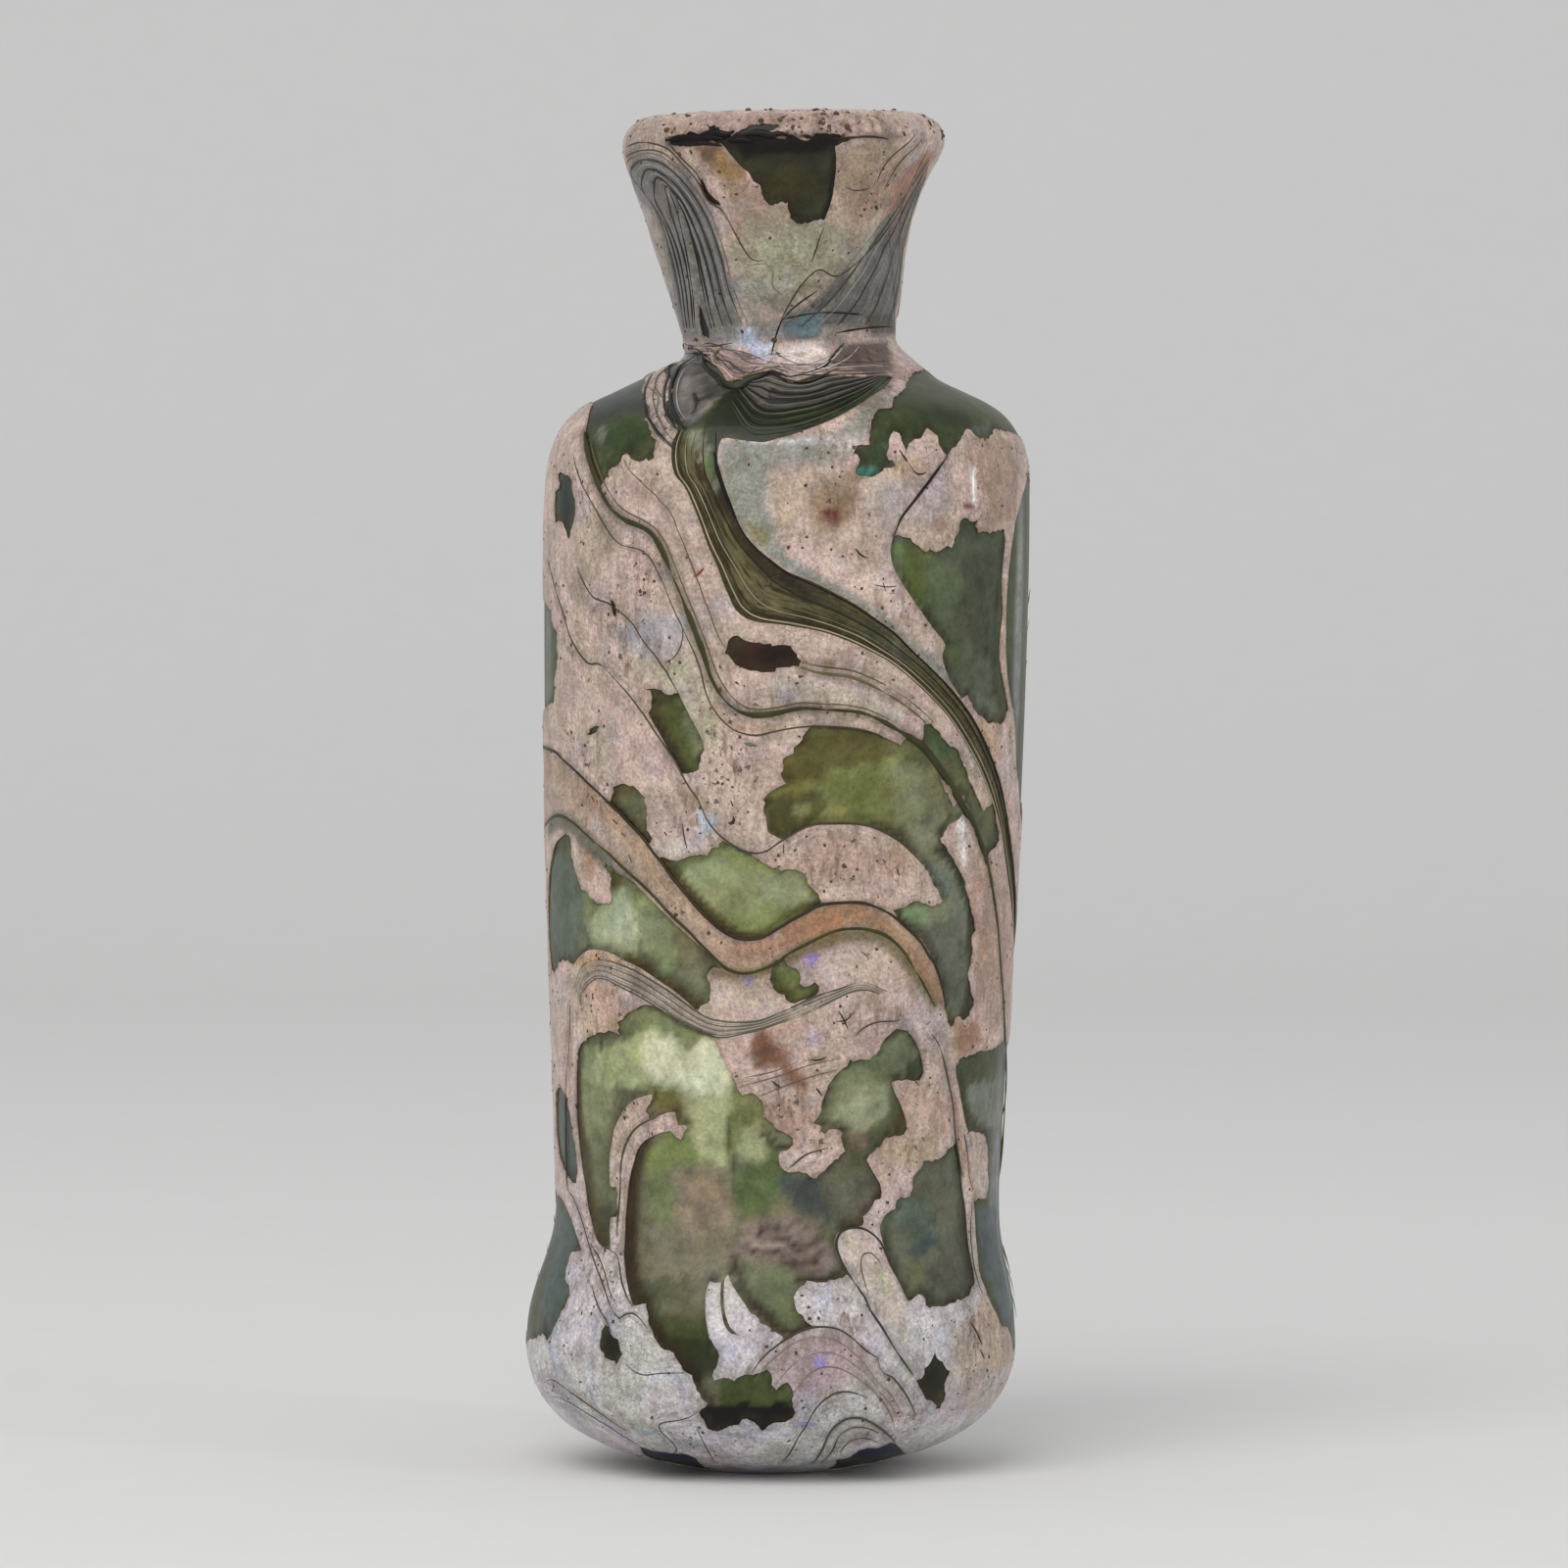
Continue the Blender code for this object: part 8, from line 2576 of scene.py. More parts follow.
@dataclass
class Vessel:
    """The blown vessel of clear glass and the thin film on it."""

    skin: Skin
    glass_columns: int = 128
    glass_step: float = 1.1
    film_columns: int = 256
    film_step: float = 0.5
    inner_step: float = 2.0
    mouth_blend: float = 2.5
    # How far the painted shadow of the crust's edge reaches into the film.
    painted_shadow_reach: float = 0.7
    dulling: float = 0.1
    film_tone: str = "#4d5638"
    film_cover: float = 0.78
    # Tone of the painted shadow along the crust's edges.
    painted_shadow_tone: str = "#2f250e"
    hollow_tone: str = "#8d8a6e"
    hollow_cover: float = 0.12
    hollow_gap: float = 0.03

    def _shell(
        self, columns: int, step: float, depth: float
    ) -> tuple[np.ndarray, list[tuple[int, ...]], np.ndarray]:
        """Makes a closed skin that follows the whole wall, outside and inside.

        Args:
            columns: faces round the bottle.
            step: about how long its faces are along the outside.
            depth: how far the outside lies below the outside of the CAD solid.

        Returns:
            Points, faces and the flat place of each point.
        """
        profile = self.skin.profile
        rim = profile.crown + self.mouth_blend + 1.0
        outside = np.linspace(0.0, rim, round(rim / step))
        hollow = np.linspace(rim, profile.length, round((profile.length - rim) / max(step, self.inner_step)))
        path = np.concatenate((outside[1:], hollow[1:-1]))
        azimuth = np.linspace(-math.pi, math.pi, columns, endpoint=False)
        along, around = np.repeat(path, columns), np.tile(azimuth, len(path))
        sunk = -depth * smooth_step((rim - along) / self.mouth_blend)
        points = profile.place(along, around, sunk)
        ends = profile.place(np.array([0.0, profile.length]), np.zeros(2), np.array([-depth, 0.0]))
        faces: list[tuple[int, ...]] = [*tube_faces(len(path), columns)]
        first, last = len(points), len(points) + 1
        top = (len(path) - 1) * columns
        for c in range(columns):
            d = (c + 1) % columns
            faces.append((first, d, c))
            faces.append((last, top + c, top + d))
        flat = np.column_stack((around * UNROLL_RADIUS, along))
        flat = np.vstack((flat, [[0.0, 0.0], [0.0, profile.length]]))
        return np.vstack((points, ends)), faces, flat

    def make_glass(self) -> bpy.types.Object:
        """Makes the vessel of clear glass, which takes the CAD solid's place.

        Returns:
            The glass.
        """
        points, faces, _ = self._shell(self.glass_columns, self.glass_step, GLASS_DEPTH)
        glass = unrolled_mesh("bottle_glass", points, faces, OliveGlass().material())
        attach(glass, BODY)
        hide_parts(NODE)
        return glass

    def _painted_edge_shadow(self, flat: np.ndarray, holes: Sequence[np.ndarray]) -> np.ndarray:
        """How dark the film is along the crust's edge, most where the edge lies below it and to its left.

        Args:
            flat: places on the unrolled wall.
            holes: the outlines of the patches.

        Returns:
            The share of the painted shadow's tone at each place.
        """
        # Painted shadow: the film darkens along the crust's edges, most where the edge lies below and to the
        # left.
        edge, _, gap = nearest_of(np.vstack(holes), flat)
        towards = (edge - flat) / (gap[:, None] + 1e-6)
        shadow = np.clip(towards @ np.array([-0.6, -0.8]), 0.0, 1.0)
        reach = self.painted_shadow_reach * (0.7 + 1.3 * shadow)
        return (0.3 + 0.6 * shadow) * (1 - smooth_step(gap / reach))

    def make_film(self, holes: Sequence[np.ndarray]) -> bpy.types.Object:
        """Makes the film, painted with what each patch of bare glass shows.

        Args:
            holes: the outlines of the patches, along which a painted shadow darkens the film.

        Returns:
            The film.
        """
        points, faces, flat = self._shell(self.film_columns, self.film_step, FILM_DEPTH)
        hollow = flat[:, 1] > self.skin.profile.crown
        normals = self.skin.profile.normals(flat[:, 1], flat[:, 0] / UNROLL_RADIUS)
        points = points + normals * (self.hollow_gap * hollow)[:, None]
        coat = Coat.plain(len(points), self.film_tone, self.film_cover)
        brush = Brush(self.skin)
        brush.paint(flat, FILM_DABS, coat.paint, coat.cover)
        brush.marble(flat, FILM_MARBLING, coat)
        brush.draw(flat, FILM_STROKES, coat)
        # Paints the shadow of the crust's edges into the film's colour.
        shade = self._painted_edge_shadow(flat, holes)
        coat.paint += (np.array(linear(self.painted_shadow_tone)) - coat.paint) * shade[:, None]
        grey = coat.paint[:, :3].mean(axis=1, keepdims=True)
        coat.paint[:, :3] += (grey - coat.paint[:, :3]) * self.dulling
        coat.paint[hollow] = linear(self.hollow_tone)
        coat.cover[hollow] = self.hollow_cover
        film = unrolled_mesh("weathering_film", points, faces, WeatheringFilm().material())
        coat.store(film)
        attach(film, BODY)
        return film


def rim_edges(triangles: list[Triangle]) -> list[tuple[int, int]]:
    """The sides that one triangle alone has, each in that triangle's own direction."""
    sides = dict.fromkeys(edge for a, b, c in triangles for edge in ((a, b), (b, c), (c, a)))
    return [(a, b) for a, b in sides if (b, a) not in sides]


def widen_pinches(triangles: list[Triangle]) -> list[Triangle]:
    """Takes away what stands round each point where two holes touch, so that a shell is closed there too.

    Args:
        triangles: the triangles, which share their vertices.

    Returns:
        The triangles that are left.
    """
    while True:
        starts = Counter(a for a, _ in rim_edges(triangles))
        pinched = {a for a, times in starts.items() if times > 1}
        if not pinched:
            return triangles
        triangles = [t for t in triangles if pinched.isdisjoint(t)]


@dataclass
class Crust:
    """The weathering crust: a thin shell over the outside and the lip, with holes where it has flaked."""

    skin: Skin
    random: np.random.Generator
    front_step: float = 0.5
    back_step: float = 0.95
    row_step: float = 0.52
    clear_of_edge: float = 0.3
    over_the_lip: float = 2.6
    relief: float = 0.05
    rim_relief: float = 0.16
    line_reach: float = 1.1
    line_step: float = 0.4
    seam_reach: float = 1e-4
    edge_thinning: float = 0.05
    broad_line: float = 0.19
    broad_line_spread: float = 1.9
    lip_lumps_from: float = 117.5
    lip_height: float = 118.0
    heel_height: float = 32.0
    heel_blend: float = 22.0
    body_tone: str = "#cab5ab"
    heel_tone: str = "#cccbd2"
    stain_tone: str = "#6f5a40"
    streak_tone: str = "#7f7468"
    holes: list[np.ndarray] = field(default_factory=list)

    def _grid(self, end: float) -> list[Pair]:
        """Spreads points over the unrolled wall.

        Args:
            end: where the crust ends along the path.

        Returns:
            The points, with the same heights on both sides of the seam.
        """
        half = math.pi * UNROLL_RADIUS
        points: list[Pair] = []
        for row, y in enumerate(np.linspace(0.0, end, round(end / self.row_step))):
            reach = float(self.skin.profile.rings(y)[0][2])
            points += [(-half, y), (half, y)]
            scale = UNROLL_RADIUS / max(reach, 0.4)
            x = -half + scale * self.back_step * (0.5 if row % 2 else 1.0)
            while x < half - scale * self.front_step * 0.5:
                points.append((x, y))
                x += scale * (self.front_step if abs(x) < half * 0.55 else self.back_step)
        return points

    def _cut(self) -> tuple[np.ndarray, list[Triangle], np.ndarray]:
        """Cuts the holes in the unrolled wall and keeps what the crust covers.

        Returns:
            The flat places, the crust's triangles and each place's distance to the nearest hole.
        """
        end = self.skin.profile.crown + self.over_the_lip
        outlines = [w.trace(self.skin, self.random) for w in (*WINDOWS, *FLAKES)]
        islands = [w.trace(self.skin, self.random) for w in ISLANDS]
        self.holes = outlines + islands
        every = np.vstack(self.holes)
        grid = np.array(self._grid(end))
        on_seam = np.abs(grid[:, 0]) > math.pi * UNROLL_RADIUS - self.seam_reach
        clear = nearest_of(every, grid)[2] > self.clear_of_edge
        points = np.vstack((every, grid[on_seam | clear]))
        edges, start = [], 0
        for outline in self.holes:
            count = len(outline)
            edges += [(start + i, start + (i + 1) % count) for i in range(count)]
            start += count
        flat, _, triangles, *_ = delaunay_2d_cdt([Vector(p) for p in points], edges, [], 0, 1e-5)
        flat = np.array([tuple(p) for p in flat])
        triangles = np.array([tuple(t) for t in triangles])
        middles = flat[triangles].mean(axis=1)
        bare = np.any([inside(middles, o) for o in outlines], axis=0)
        bare &= ~np.any([inside(middles, o) for o in islands], axis=0)
        kept = [tuple(int(i) for i in t) for t in triangles[~bare]]
        return flat, kept, nearest_of(every, flat)[2]

    def _close_seam(self, flat: np.ndarray, triangles: list[Triangle]) -> list[Triangle]:
        """Joins the two sides of the seam and the row at the middle of the kick.

        Args:
            flat: the flat places.
            triangles: the triangles.

        Returns:
            Triangles that share vertices across the seam, without the flattened ones.
        """
        half = math.pi * UNROLL_RADIUS - self.seam_reach
        left = {round(y, 3): i for i, (x, y) in enumerate(flat) if x < -half}
        pole = next(i for i, (_, y) in enumerate(flat) if y < self.seam_reach)
        target = list(range(len(flat)))
        for i, (x, y) in enumerate(flat):
            if y < self.seam_reach:
                target[i] = pole
            elif x > half:
                target[i] = left[round(y, 3)]
        joined = [tuple(target[i] for i in t) for t in triangles]
        return [t for t in joined if len(set(t)) == 3]

    def _lifts(self, flat: np.ndarray, distance: np.ndarray) -> np.ndarray:
        """Makes the outer face softly uneven, lumpy on the lip and thinner at the edges of the holes.

        Args:
            flat: the flat places.
            distance: each place's distance to the nearest hole.

        Returns:
            How far the outer face stands out at each place.
        """
        wall = self.skin.place(flat)
        uneven = np.array([noise.fractal(Vector(p) * 0.33, 1.0, 2.0, 3) for p in wall])
        lumps = np.zeros(len(wall))
        for i in np.flatnonzero(wall[:, 2] > self.lip_lumps_from):
            lumps[i] = noise.fractal(Vector(wall[i]) * 1.3, 1.0, 2.0, 3)
        rim = self.rim_relief * lumps * smooth_step(wall[:, 2] - self.lip_height)
        thinner = self.edge_thinning * (1 - smooth_step(distance / 0.5))
        return self.relief * np.clip(uneven, -1.0, 1.0) + rim - thinner

    def make_shell(self) -> bpy.types.Object:
        """Makes the crust as a closed shell and paints it.

        Returns:
            The crust.
        """
        flat, triangles, distance = self._cut()
        triangles = widen_pinches(self._close_seam(flat, triangles))
        used = sorted({i for t in triangles for i in t})
        number = {old: new for new, old in enumerate(used)}
        triangles = [tuple(number[i] for i in t) for t in triangles]
        flat, distance = flat[used], distance[used]
        outer = self.skin.place(flat, self._lifts(flat, distance))
        inner = self.skin.place(flat, -CRUST_SEAT)
        count = len(flat)
        faces = list(triangles)
        faces += [(c + count, b + count, a + count) for a, b, c in triangles]
        faces += [(b, a, a + count, b + count) for a, b in rim_edges(triangles)]
        shell = unrolled_mesh("weathering_crust", np.vstack((outer, inner)), faces, CrustFinish().material())
        shell.data.set_sharp_from_angle(angle=math.radians(50))
        coat, dirt = self._coat(flat, distance)
        coat.store(shell)
        store_values(shell, "dirt", np.concatenate((dirt, dirt)))
        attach(shell, BODY)
        return shell

    def _coat(self, flat: np.ndarray, distance: np.ndarray) -> tuple[Coat, np.ndarray]:
        """Paints the crust.

        Args:
            flat: the flat places.
            distance: each place's distance to the nearest hole.

        Returns:
            The coat and an amount of dirt for each place.
        """
        wall = self.skin.place(flat)
        low = smooth_step((self.heel_height - wall[:, 2]) / self.heel_blend)[:, None]
        ground = np.array(linear(self.body_tone)) * (1 - low) + np.array(linear(self.heel_tone)) * low
        coat = Coat.plain(len(flat), ground)
        self._follow_lines(flat, coat)
        brush = Brush(self.skin)
        brush.paint(flat, CRUST_DABS, coat.paint)
        brush.marble(flat, CRUST_MARBLING, coat)
        broad = [line for line in FLOW_LINES if line.width > self.broad_line]
        spread = self.broad_line_spread
        brush.draw(flat, [Stroke(line.path, spread * line.width, line.tone, 0.7) for line in broad], coat)
        brush.draw(flat, CRUST_STROKES, coat)
        edges = np.array([noise.noise(Vector(p) * 0.5) for p in wall])
        stain = (0.3 + 0.4 * edges) * (1 - smooth_step(distance / 0.5))
        coat.paint += (np.array(linear(self.stain_tone)) - coat.paint) * np.clip(stain, 0.0, 1.0)[:, None]
        clumps = np.array([noise.noise(Vector(p) * 0.12) + 0.6 * noise.noise(Vector(p) * 0.4) for p in wall])
        dirt = np.clip(0.4 + 0.7 * clumps, 0.1, 0.9)
        for dab in DIRTY_PLACES:
            dirt += (1.3 - dirt) * brush.weight(dab, flat)
        return coat, dirt

    def _follow_lines(self, flat: np.ndarray, coat: Coat) -> None:
        """Lets faint streaks run beside every flow line.

        Args:
            flat: the flat places.
            coat: the coat, which is changed in place.
        """
        paths = [line.path for line in FLOW_LINES] + [p for b in BACK_BANDS for p in (b.first, b.last)]
        lines = [drawn_line(path, self.skin, self.line_step) for path in paths]
        along = np.concatenate([np.arange(len(line)) * self.line_step for line in lines])
        owner = np.repeat(np.arange(len(lines)), [len(line) for line in lines])
        _, index, gap = nearest_of(np.vstack(lines), flat)
        coat.flow[:] = np.column_stack((gap / 0.3, along[index] / 5.0, owner[index] * 5.0))
        coat.streak[:] = 0.6 * np.exp(-gap / self.line_reach)
        coat.tone[:] = linear(self.streak_tone)


def geometry_tree(name: str, inputs: dict[str, str]) -> tuple[Tree, bpy.types.NodeOutputs]:
    """Starts a geometry node tree.

    Args:
        name: the tree's name.
        inputs: the kind of each named input, besides the geometry.

    Returns:
        The tree and what its inputs give.
    """
    tree = bpy.data.node_groups.new(name, "GeometryNodeTree")
    for label, kind in {"Geometry": "Geometry", **inputs}.items():
        tree.interface.new_socket(label, in_out="INPUT", socket_type="NodeSocket" + kind)
    tree.interface.new_socket("Geometry", in_out="OUTPUT", socket_type="NodeSocketGeometry")
    return tree, add(tree, "NodeGroupInput").outputs


def end_tree(tree: Tree, shape: Socket, finish: Socket) -> Tree:
    """Ends a geometry node tree with real, smooth faces in their finish.

    Args:
        tree: the tree.
        shape: what it makes.
        finish: the material.

    Returns:
        The tree.
    """
    real = add(tree, "GeometryNodeRealizeInstances", inputs={"Geometry": shape}).outputs[0]
    smooth = add(tree, "GeometryNodeSetShadeSmooth", inputs={"Geometry": real}).outputs[0]
    dressed = add(tree, "GeometryNodeSetMaterial", inputs={"Geometry": smooth, "Material": finish}).outputs[0]
    add(tree, "NodeGroupOutput", inputs={"Geometry": dressed})
    return tree


def swept_threads() -> Tree:
    """Builds the node tree that turns lines into flattened threads that lie along the wall.

    Returns:
        The tree. Its inputs are the step along a line, the thread's height as a share of its width, how many
        sides it has, and its finish. Each line's points carry their girth and the way out of the wall.
    """
    inputs = {"Step": "Float", "Flatness": "Float", "Sides": "Int", "Finish": "Material"}
    tree, given = geometry_tree("swept_threads", inputs)
    lines = add(tree, "GeometryNodeMeshToCurve", inputs={"Mesh": given["Geometry"]}).outputs[0]
    stepped = {"Curve": lines, "Length": given["Step"]}
    even = add(tree, "GeometryNodeResampleCurve", {"mode": "LENGTH"}, stepped).outputs[0]
    arrows = {"data_type": "FLOAT_VECTOR"}
    up = add(tree, "GeometryNodeInputNamedAttribute", arrows, {"Name": "up"}).outputs[0]
    lying = {"Curve": even, "Normal": up}
    turned = add(tree, "GeometryNodeSetCurveNormal", {"mode": "FREE"}, lying).outputs[0]
    girth = add(tree, "GeometryNodeInputNamedAttribute", {"data_type": "FLOAT"}, {"Name": "girth"}).outputs[0]
    rim = {"Resolution": given["Sides"], "Radius": 1.0}
    ring = add(tree, "GeometryNodeCurvePrimitiveCircle", inputs=rim).outputs[0]
    scale = add(tree, "ShaderNodeCombineXYZ", inputs={"X": given["Flatness"], "Y": 1.0, "Z": 1.0}).outputs[0]
    section = add(tree, "GeometryNodeTransform", inputs={"Geometry": ring, "Scale": scale}).outputs[0]
    sweep = {"Curve": turned, "Profile Curve": section, "Scale": girth, "Fill Caps": True}
    return end_tree(tree, add(tree, "GeometryNodeCurveToMesh", inputs=sweep).outputs[0], given["Finish"])


def scattered_grit() -> Tree:
    """Builds the node tree that scatters flat, dented grains over a surface.

    Returns:
        The tree. Its inputs are how many grains there are to the square metre, the smallest and largest
        grain, a grain's height as a share of its width, how finely it is rounded, the seed and the finish.
        The surface's points carry their share of the grains.
    """
    sizes = {"Density": "Float", "Smallest": "Float", "Largest": "Float", "Height": "Float"}
    inputs = {**sizes, "Roundness": "Int", "Seed": "Int", "Finish": "Material"}
    tree, given = geometry_tree("scattered_grit", inputs)
    seed, chances = given["Seed"], {"data_type": "FLOAT"}
    share = add(tree, "GeometryNodeInputNamedAttribute", {"data_type": "FLOAT"}, {"Name": "share"}).outputs[0]
    density = add(tree, "ShaderNodeMath", MULTIPLY, {0: share, 1: given["Density"]}).outputs[0]
    bed = {"Mesh": given["Geometry"], "Density": density, "Seed": seed}
    spread = add(tree, "GeometryNodeDistributePointsOnFaces", inputs=bed).outputs
    chance = add(tree, "FunctionNodeRandomValue", chances, {2: 0.0, 3: 1.0, "Seed": seed}).outputs[1]
    rare = add(tree, "ShaderNodeMath", {"operation": "POWER"}, {0: chance, 1: 3.0}).outputs[0]
    sizing = {"Value": rare, "To Min": given["Smallest"], "To Max": given["Largest"]}
    size = add(tree, "ShaderNodeMapRange", inputs=sizing).outputs["Result"]
    height = add(tree, "ShaderNodeMath", MULTIPLY, {0: size, 1: given["Height"]}).outputs[0]
    slimming = {2: 0.5, 3: 1.1, "Seed": given["Density"]}
    slim = add(tree, "FunctionNodeRandomValue", chances, slimming).outputs[1]
    narrow = add(tree, "ShaderNodeMath", MULTIPLY, {0: size, 1: slim}).outputs[0]
    scale = add(tree, "ShaderNodeCombineXYZ", inputs={"X": size, "Y": narrow, "Z": height}).outputs[0]
    angle = add(tree, "FunctionNodeRandomValue", chances, {2: 0.0, 3: 2 * math.pi, "Seed": 5}).outputs[1]
    spin = add(tree, "FunctionNodeAxisAngleToRotation", inputs={0: (0, 0, 1), 1: angle}).outputs[0]
    local = {"rotation_space": "LOCAL"}
    turn = add(tree, "FunctionNodeRotateRotation", local, {0: spread["Rotation"], 1: spin}).outputs[0]
    ball = {"Radius": 1.0, "Subdivisions": given["Roundness"]}
    grain = add(tree, "GeometryNodeMeshIcoSphere", inputs=ball).outputs["Mesh"]
    where = add(tree, "GeometryNodeInputPosition").outputs["Position"]
    dents = {"Vector": where, "Scale": 1.4, "Detail": 2.0}
    dent = add(tree, "ShaderNodeTexNoise", inputs=dents).outputs["Color"]
    middle = {0: dent, 1: (0.5, 0.5, 0.5)}
    centred = add(tree, "ShaderNodeVectorMath", {"operation": "SUBTRACT"}, middle).outputs[0]
    moved = add(tree, "ShaderNodeVectorMath", SCALE, {0: centred, "Scale": 2.2}).outputs[0]
    lumpy = add(tree, "GeometryNodeSetPosition", inputs={"Geometry": grain, "Offset": moved}).outputs[0]
    laid = {"Points": spread["Points"], "Instance": lumpy, "Rotation": turn, "Scale": scale}
    return end_tree(tree, add(tree, "GeometryNodeInstanceOnPoints", inputs=laid).outputs[0], given["Finish"])


def grown(source: bpy.types.Object, name: str, tree: Tree, values: Values) -> bpy.types.Object:
    """Runs a node tree on a source object and keeps the result as a plain mesh.

    Args:
        source: the object that the tree starts from, which is removed.
        name: the new piece's name.
        tree: the node tree.
        values: the tree's inputs, by name.

    Returns:
        The new piece, at the origin.
    """
    modifier = source.modifiers.new(name, "NODES")
    modifier.node_group = tree
    for item in tree.interface.items_tree:
        if item.in_out == "INPUT" and item.name in values:
            modifier[item.identifier] = values[item.name]
    bpy.context.view_layer.update()
    ready = source.evaluated_get(bpy.context.evaluated_depsgraph_get())
    mesh = bpy.data.meshes.new_from_object(ready)
    mesh.name = name
    source.modifiers.remove(modifier)
    bpy.data.objects.remove(source)
    piece = bpy.data.objects.new(name, mesh)
    bpy.context.scene.collection.objects.link(piece)
    return piece


@dataclass
class FlowPattern:
    """The drawn-out threads and lines in and on the glass."""

    # Among the marks is one white thread that is a painted highlight.
    skin: Skin
    random: np.random.Generator
    step: float = 0.4
    sides: int = 7
    tip: float = 2.5
    proud: float = 0.04
    band_step: float = 0.6
    knots: int = 12
    broad_from: float = 0.25

    def _band(self, band: FlowBand) -> list[Thread]:
        """Places a band's threads between its two lines.

        Args:
            band: the band.

        Returns:
            For each thread, its flat places, width, tone and depth.
        """
        edges = []
        for path in (band.first, band.last):
            line = drawn_line(path, self.skin, self.step)
            steps = path_lengths(line)
            share = np.linspace(0.0, 1.0, max(self.knots, round(steps[-1] / self.band_step)))
            edges.append(np.column_stack([np.interp(share * steps[-1], steps, line[:, k]) for k in (0, 1)]))
        count = min(len(e) for e in edges)
        first, last = (e[np.linspace(0, len(e) - 1, count).round().astype(int)] for e in edges)
        threads = []
        for share, width, tone in band.threads:
            knots = self.random.uniform(-1.0, 1.0, self.knots)
            between = np.linspace(0, self.knots - 1, count)
            sway = np.interp(between, np.arange(self.knots), knots) * band.wander
            across = last - first
            across = across / (np.linalg.norm(across, axis=1)[:, None] + 1e-9)
            line = first + (last - first) * share + across * sway[:, None] * 0.5
            threads.append((line, width, tone, band.sunk))
        return threads

    def _lines(self) -> list[Thread]:
        """Gathers every line and thread.

        Returns:
            For each, its flat places, width, tone and depth.
        """
        single = [
            (drawn_line(line.path, self.skin, self.step), line.width, line.tone, line.sunk)
            for line in (*FLOW_LINES, *MARKS)
        ]
        return single + [thread for band in (*FLOW_BANDS, *BACK_BANDS) for thread in self._band(band)]

    def make(self) -> list[bpy.types.Object]:
        """Makes the threads: fine ones and broad ones.

        Returns:
            The two pieces.
        """
        lines = self._lines()
        tree, finish = swept_threads(), ThreadFinish().material()
        pieces = []
        for name, chosen, flatness in (
            ("fine_flow_lines", [line for line in lines if line[1] < self.broad_from], 0.85),
            ("broad_flow_lines", [line for line in lines if line[1] >= self.broad_from], 0.42),
        ):
            values = {"Step": self.step * MM, "Flatness": flatness, "Sides": self.sides, "Finish": finish}
            piece = grown(self._source(name, chosen, flatness), name, tree, values)
            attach(piece, BODY)
            pieces.append(piece)
        return pieces

    def _source(self, name: str, lines: list[Thread], flatness: float) -> bpy.types.Object:
        """Makes the lines as bare edges with their girth, tone and outward direction.

        Args:
            name: the piece's name.
            lines: the lines.
            flatness: a thread's height as a share of its width.

        Returns:
            The object with the edges.
        """
        points, ups, girths, tones, edges = [], [], [], [], []
        start = 0
        for flat, width, tone, sunk in lines:
            steps = path_lengths(flat)
            tip = min(self.tip, steps[-1] * 0.3)
            taper = np.clip(np.minimum(steps, steps[-1] - steps) / tip, 0.0, 1.0)
            uneven = np.array([noise.noise(Vector((s * 0.4, start * 0.7, 0.0))) for s in steps])
            girth = width / 2 * (0.3 + 0.7 * smooth_step(taper)) * (1 + 0.3 * uneven)
            lift = self.proud - sunk - girth * flatness
            middle = self.skin.place(flat, lift)
            middle[:, 2] = np.maximum(middle[:, 2], girth)
            points.append(middle)
            ups.append(self.skin.profile.normals(flat[:, 1], flat[:, 0] / UNROLL_RADIUS))
            girths.append(girth)
            tones.append(np.tile(np.array(linear(tone)), (len(flat), 1)))
            edges += [(start + i, start + i + 1) for i in range(len(flat) - 1)]
            start += len(flat)
        mesh = bpy.data.meshes.new(name)
        mesh.from_pydata((np.vstack(points) * MM).tolist(), edges, [])
        source = bpy.data.objects.new(name + "_paths", mesh)
        bpy.context.scene.collection.objects.link(source)
        layer = mesh.attributes.new("up", "FLOAT_VECTOR", "POINT")
        layer.data.foreach_set("vector", np.vstack(ups).astype(np.float32).ravel())
        store_values(source, "girth", np.concatenate(girths) * MM)
        paint_points(source, "tone", np.vstack(tones))
        return source


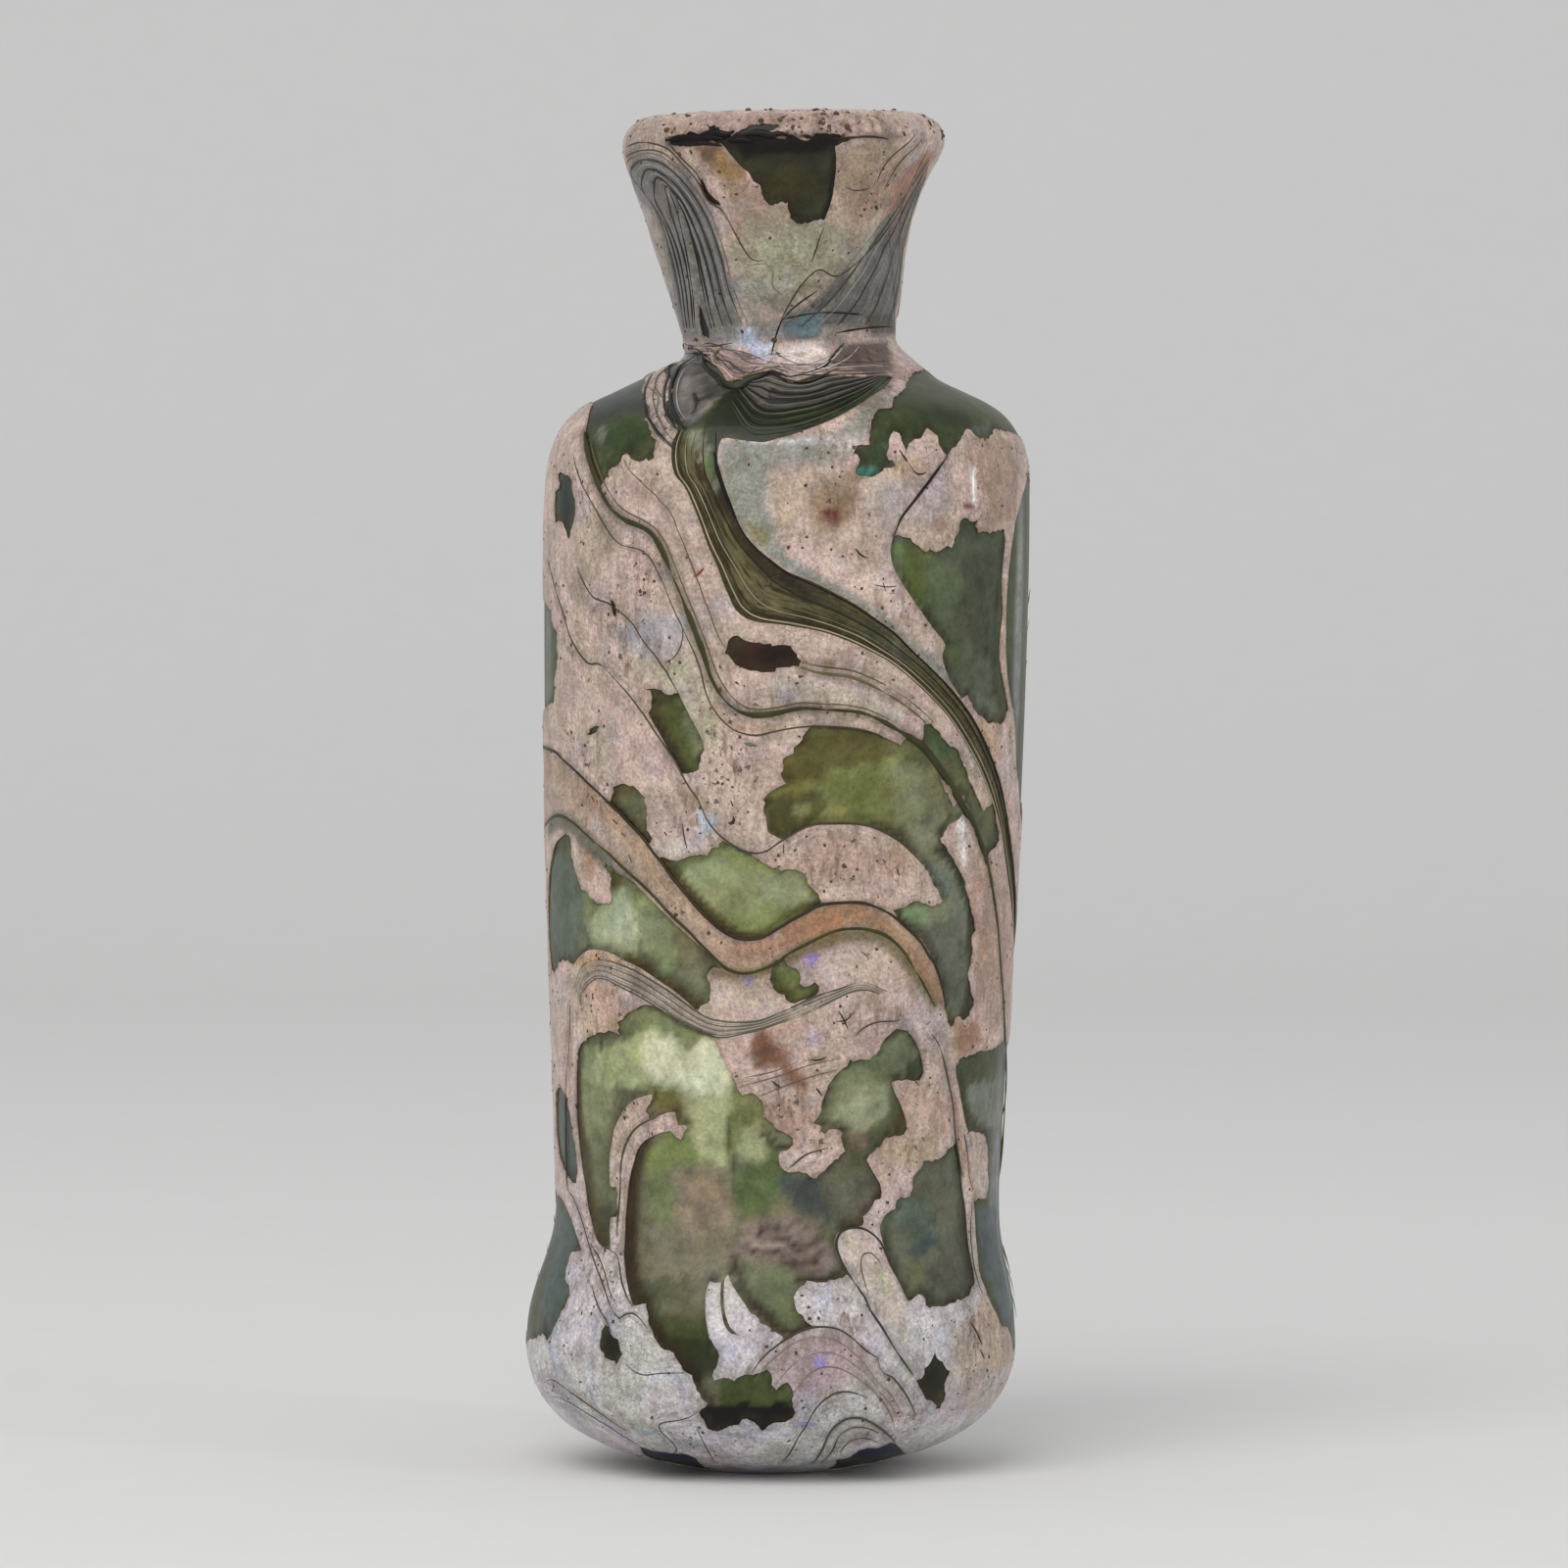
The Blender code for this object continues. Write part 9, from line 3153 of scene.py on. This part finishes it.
@dataclass
class Dirt:
    """Burial earth: specks all over the crust, and crumbs on the lip and in the crease under the neck."""

    skin: Skin
    speck_density: float = 1.7
    crumb_density: float = 8.0
    clear_of_floor: float = 0.4
    rim_height: float = 117.6
    lip_height: float = 118.0
    crease_height: float = 100.2
    rim_share: float = 0.22
    crease_share: float = 0.2
    seed: int = 12

    def _bed(self, crust: bpy.types.Object, name: str, share: np.ndarray) -> bpy.types.Object:
        """Copies the crust's mesh as the bed that grains are scattered on.

        Args:
            crust: the crust.
            name: the bed's name.
            share: for each vertex, the share of the full density of grains.

        Returns:
            The bed.
        """
        bed = bpy.data.objects.new(name, crust.data.copy())
        bpy.context.scene.collection.objects.link(bed)
        store_values(bed, "share", share)
        return bed

    def make(self, crust: bpy.types.Object) -> list[bpy.types.Object]:
        """Scatters the grains.

        Args:
            crust: the finished crust, whose first half of vertices is its outer face.

        Returns:
            The specks and the crumbs.
        """
        places = np.array([v.co for v in crust.data.vertices]) / MM
        outer = np.arange(len(places)) < len(places) // 2
        dirt = np.array([d.value for d in crust.data.attributes["dirt"].data])
        aside = Vector((7.0, 3.0, 1.0))
        clumps = np.array([noise.fractal(Vector(p) * 0.45 + aside, 1.0, 2.0, 3) for p in places])
        x, _, z = places.T
        specks = outer * (z > self.clear_of_floor) * np.clip(dirt * (0.4 + 1.6 * clumps), 0.03, 1.6)
        right = smooth_step((x + 4.0) / 6.0)
        rim = smooth_step((z - self.rim_height) / 0.8) * (0.08 + self.rim_share * right)
        under = np.exp(-(((z - self.lip_height) / 0.4) ** 2)) * smooth_step((10.0 - np.abs(x + 2.0)) / 4.0)
        crease = np.exp(-(((z - self.crease_height) / 0.7) ** 2)) * self.crease_share
        crumbs = outer * np.clip((rim + under + crease) * (0.1 + 2.4 * clumps), 0.0, 1.5)
        tree, finish = scattered_grit(), DirtFinish().material()
        pieces = []
        for name, share, density, small, large, height, roundness in (
            ("dirt_specks", specks, self.speck_density, 0.03, 0.2, 0.25, 1),
            ("dirt_crumbs", crumbs, self.crumb_density, 0.04, 0.3, 0.6, 2),
        ):
            piece = grown(
                self._bed(crust, name + "_bed", share),
                name,
                tree,
                {
                    "Density": density / MM**2,
                    "Smallest": small * MM,
                    "Largest": large * MM,
                    "Height": height,
                    "Roundness": roundness,
                    "Seed": self.seed,
                    "Finish": finish,
                },
            )
            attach(piece, BODY)
            pieces.append(piece)
        return pieces


@dataclass
class Studio:
    """A pale paper sweep and soft lights."""

    floor_reach: float = 1600.0
    bend_from: float = 700.0
    bend: float = 500.0
    bend_faces: int = 12
    wall_height: float = 1500.0
    air: str = "#dfe3e8"
    air_strength: float = 0.76

    def make_sweep(self) -> bpy.types.Object:
        """Makes the floor and the wall behind as one sheet of paper.

        Returns:
            The sheet.
        """
        curve = [(-self.floor_reach, 0.0)]
        for i in range(self.bend_faces + 1):
            angle = math.pi / 2 * i / self.bend_faces
            curve.append((self.bend_from + self.bend * math.sin(angle), self.bend * (1 - math.cos(angle))))
        curve.append((self.bend_from + self.bend, self.wall_height))
        wide = self.floor_reach
        points = np.array([(x, y, z) for y, z in curve for x in (-wide, wide)])
        faces = [(2 * i, 2 * i + 1, 2 * i + 3, 2 * i + 2) for i in range(len(curve) - 1)]
        sweep = unrolled_mesh("studio_floor", points, faces, PaperFinish().material())
        return sweep

    def make_light(
        self, name: str, place: Sequence[float], size: Pair, power: float, aim: float = 60.0
    ) -> None:
        """Makes one soft light that faces the bottle.

        Args:
            name: the light's name.
            place: where it hangs.
            size: its width and height.
            power: its power in watts.
            aim: the height that it is aimed at.
        """
        data = bpy.data.lights.new(name, "AREA")
        data.shape = "RECTANGLE"
        data.size, data.size_y = size[0] * MM, size[1] * MM
        data.energy = power
        light = bpy.data.objects.new(name, data)
        light.location = Vector(place) * MM
        towards = Vector((0.0, 0.0, aim)) - Vector(place)
        light.rotation_euler = towards.to_track_quat("-Z", "Y").to_euler()
        bpy.context.scene.collection.objects.link(light)

    def make(self) -> None:
        """Makes the sweep, the lights and the even light from all round."""
        self.make_sweep()
        self.make_light("key", (-350.0, -800.0, 900.0), (900.0, 900.0), 7.5)
        self.make_light("right_strip", (620.0, -460.0, 220.0), (60.0, 700.0), 0.8)
        world = bpy.data.worlds.new("studio_air")
        world.use_nodes = True
        world.node_tree.nodes.clear()
        glow = {"Color": linear(self.air), "Strength": self.air_strength}
        air = add(world.node_tree, "ShaderNodeBackground", inputs=glow)
        add(world.node_tree, "ShaderNodeOutputWorld", inputs={"Surface": air.outputs["Background"]})
        bpy.context.scene.world = world
        bpy.context.scene.view_settings.view_transform = "Standard"


def main() -> None:
    """Builds the bottle's pieces and the studio in order."""
    logging.basicConfig(level=logging.INFO, format="%(message)s")
    view = Viewpoint()
    skin = Skin(Profile(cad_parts[NODE]), view)
    random = np.random.default_rng(SEED)
    vessel = Vessel(skin)
    crust = Crust(skin, random)
    shell = crust.make_shell()
    pieces = [vessel.make_glass(), vessel.make_film(crust.holes), shell]
    pieces += [*FlowPattern(skin, random).make(), *Dirt(skin).make(shell)]
    for piece in pieces:
        LOG.info("%s: %d faces", piece.name, len(piece.data.polygons))
    Studio().make()
    view.make_camera()


if __name__ == "__main__":
    main()
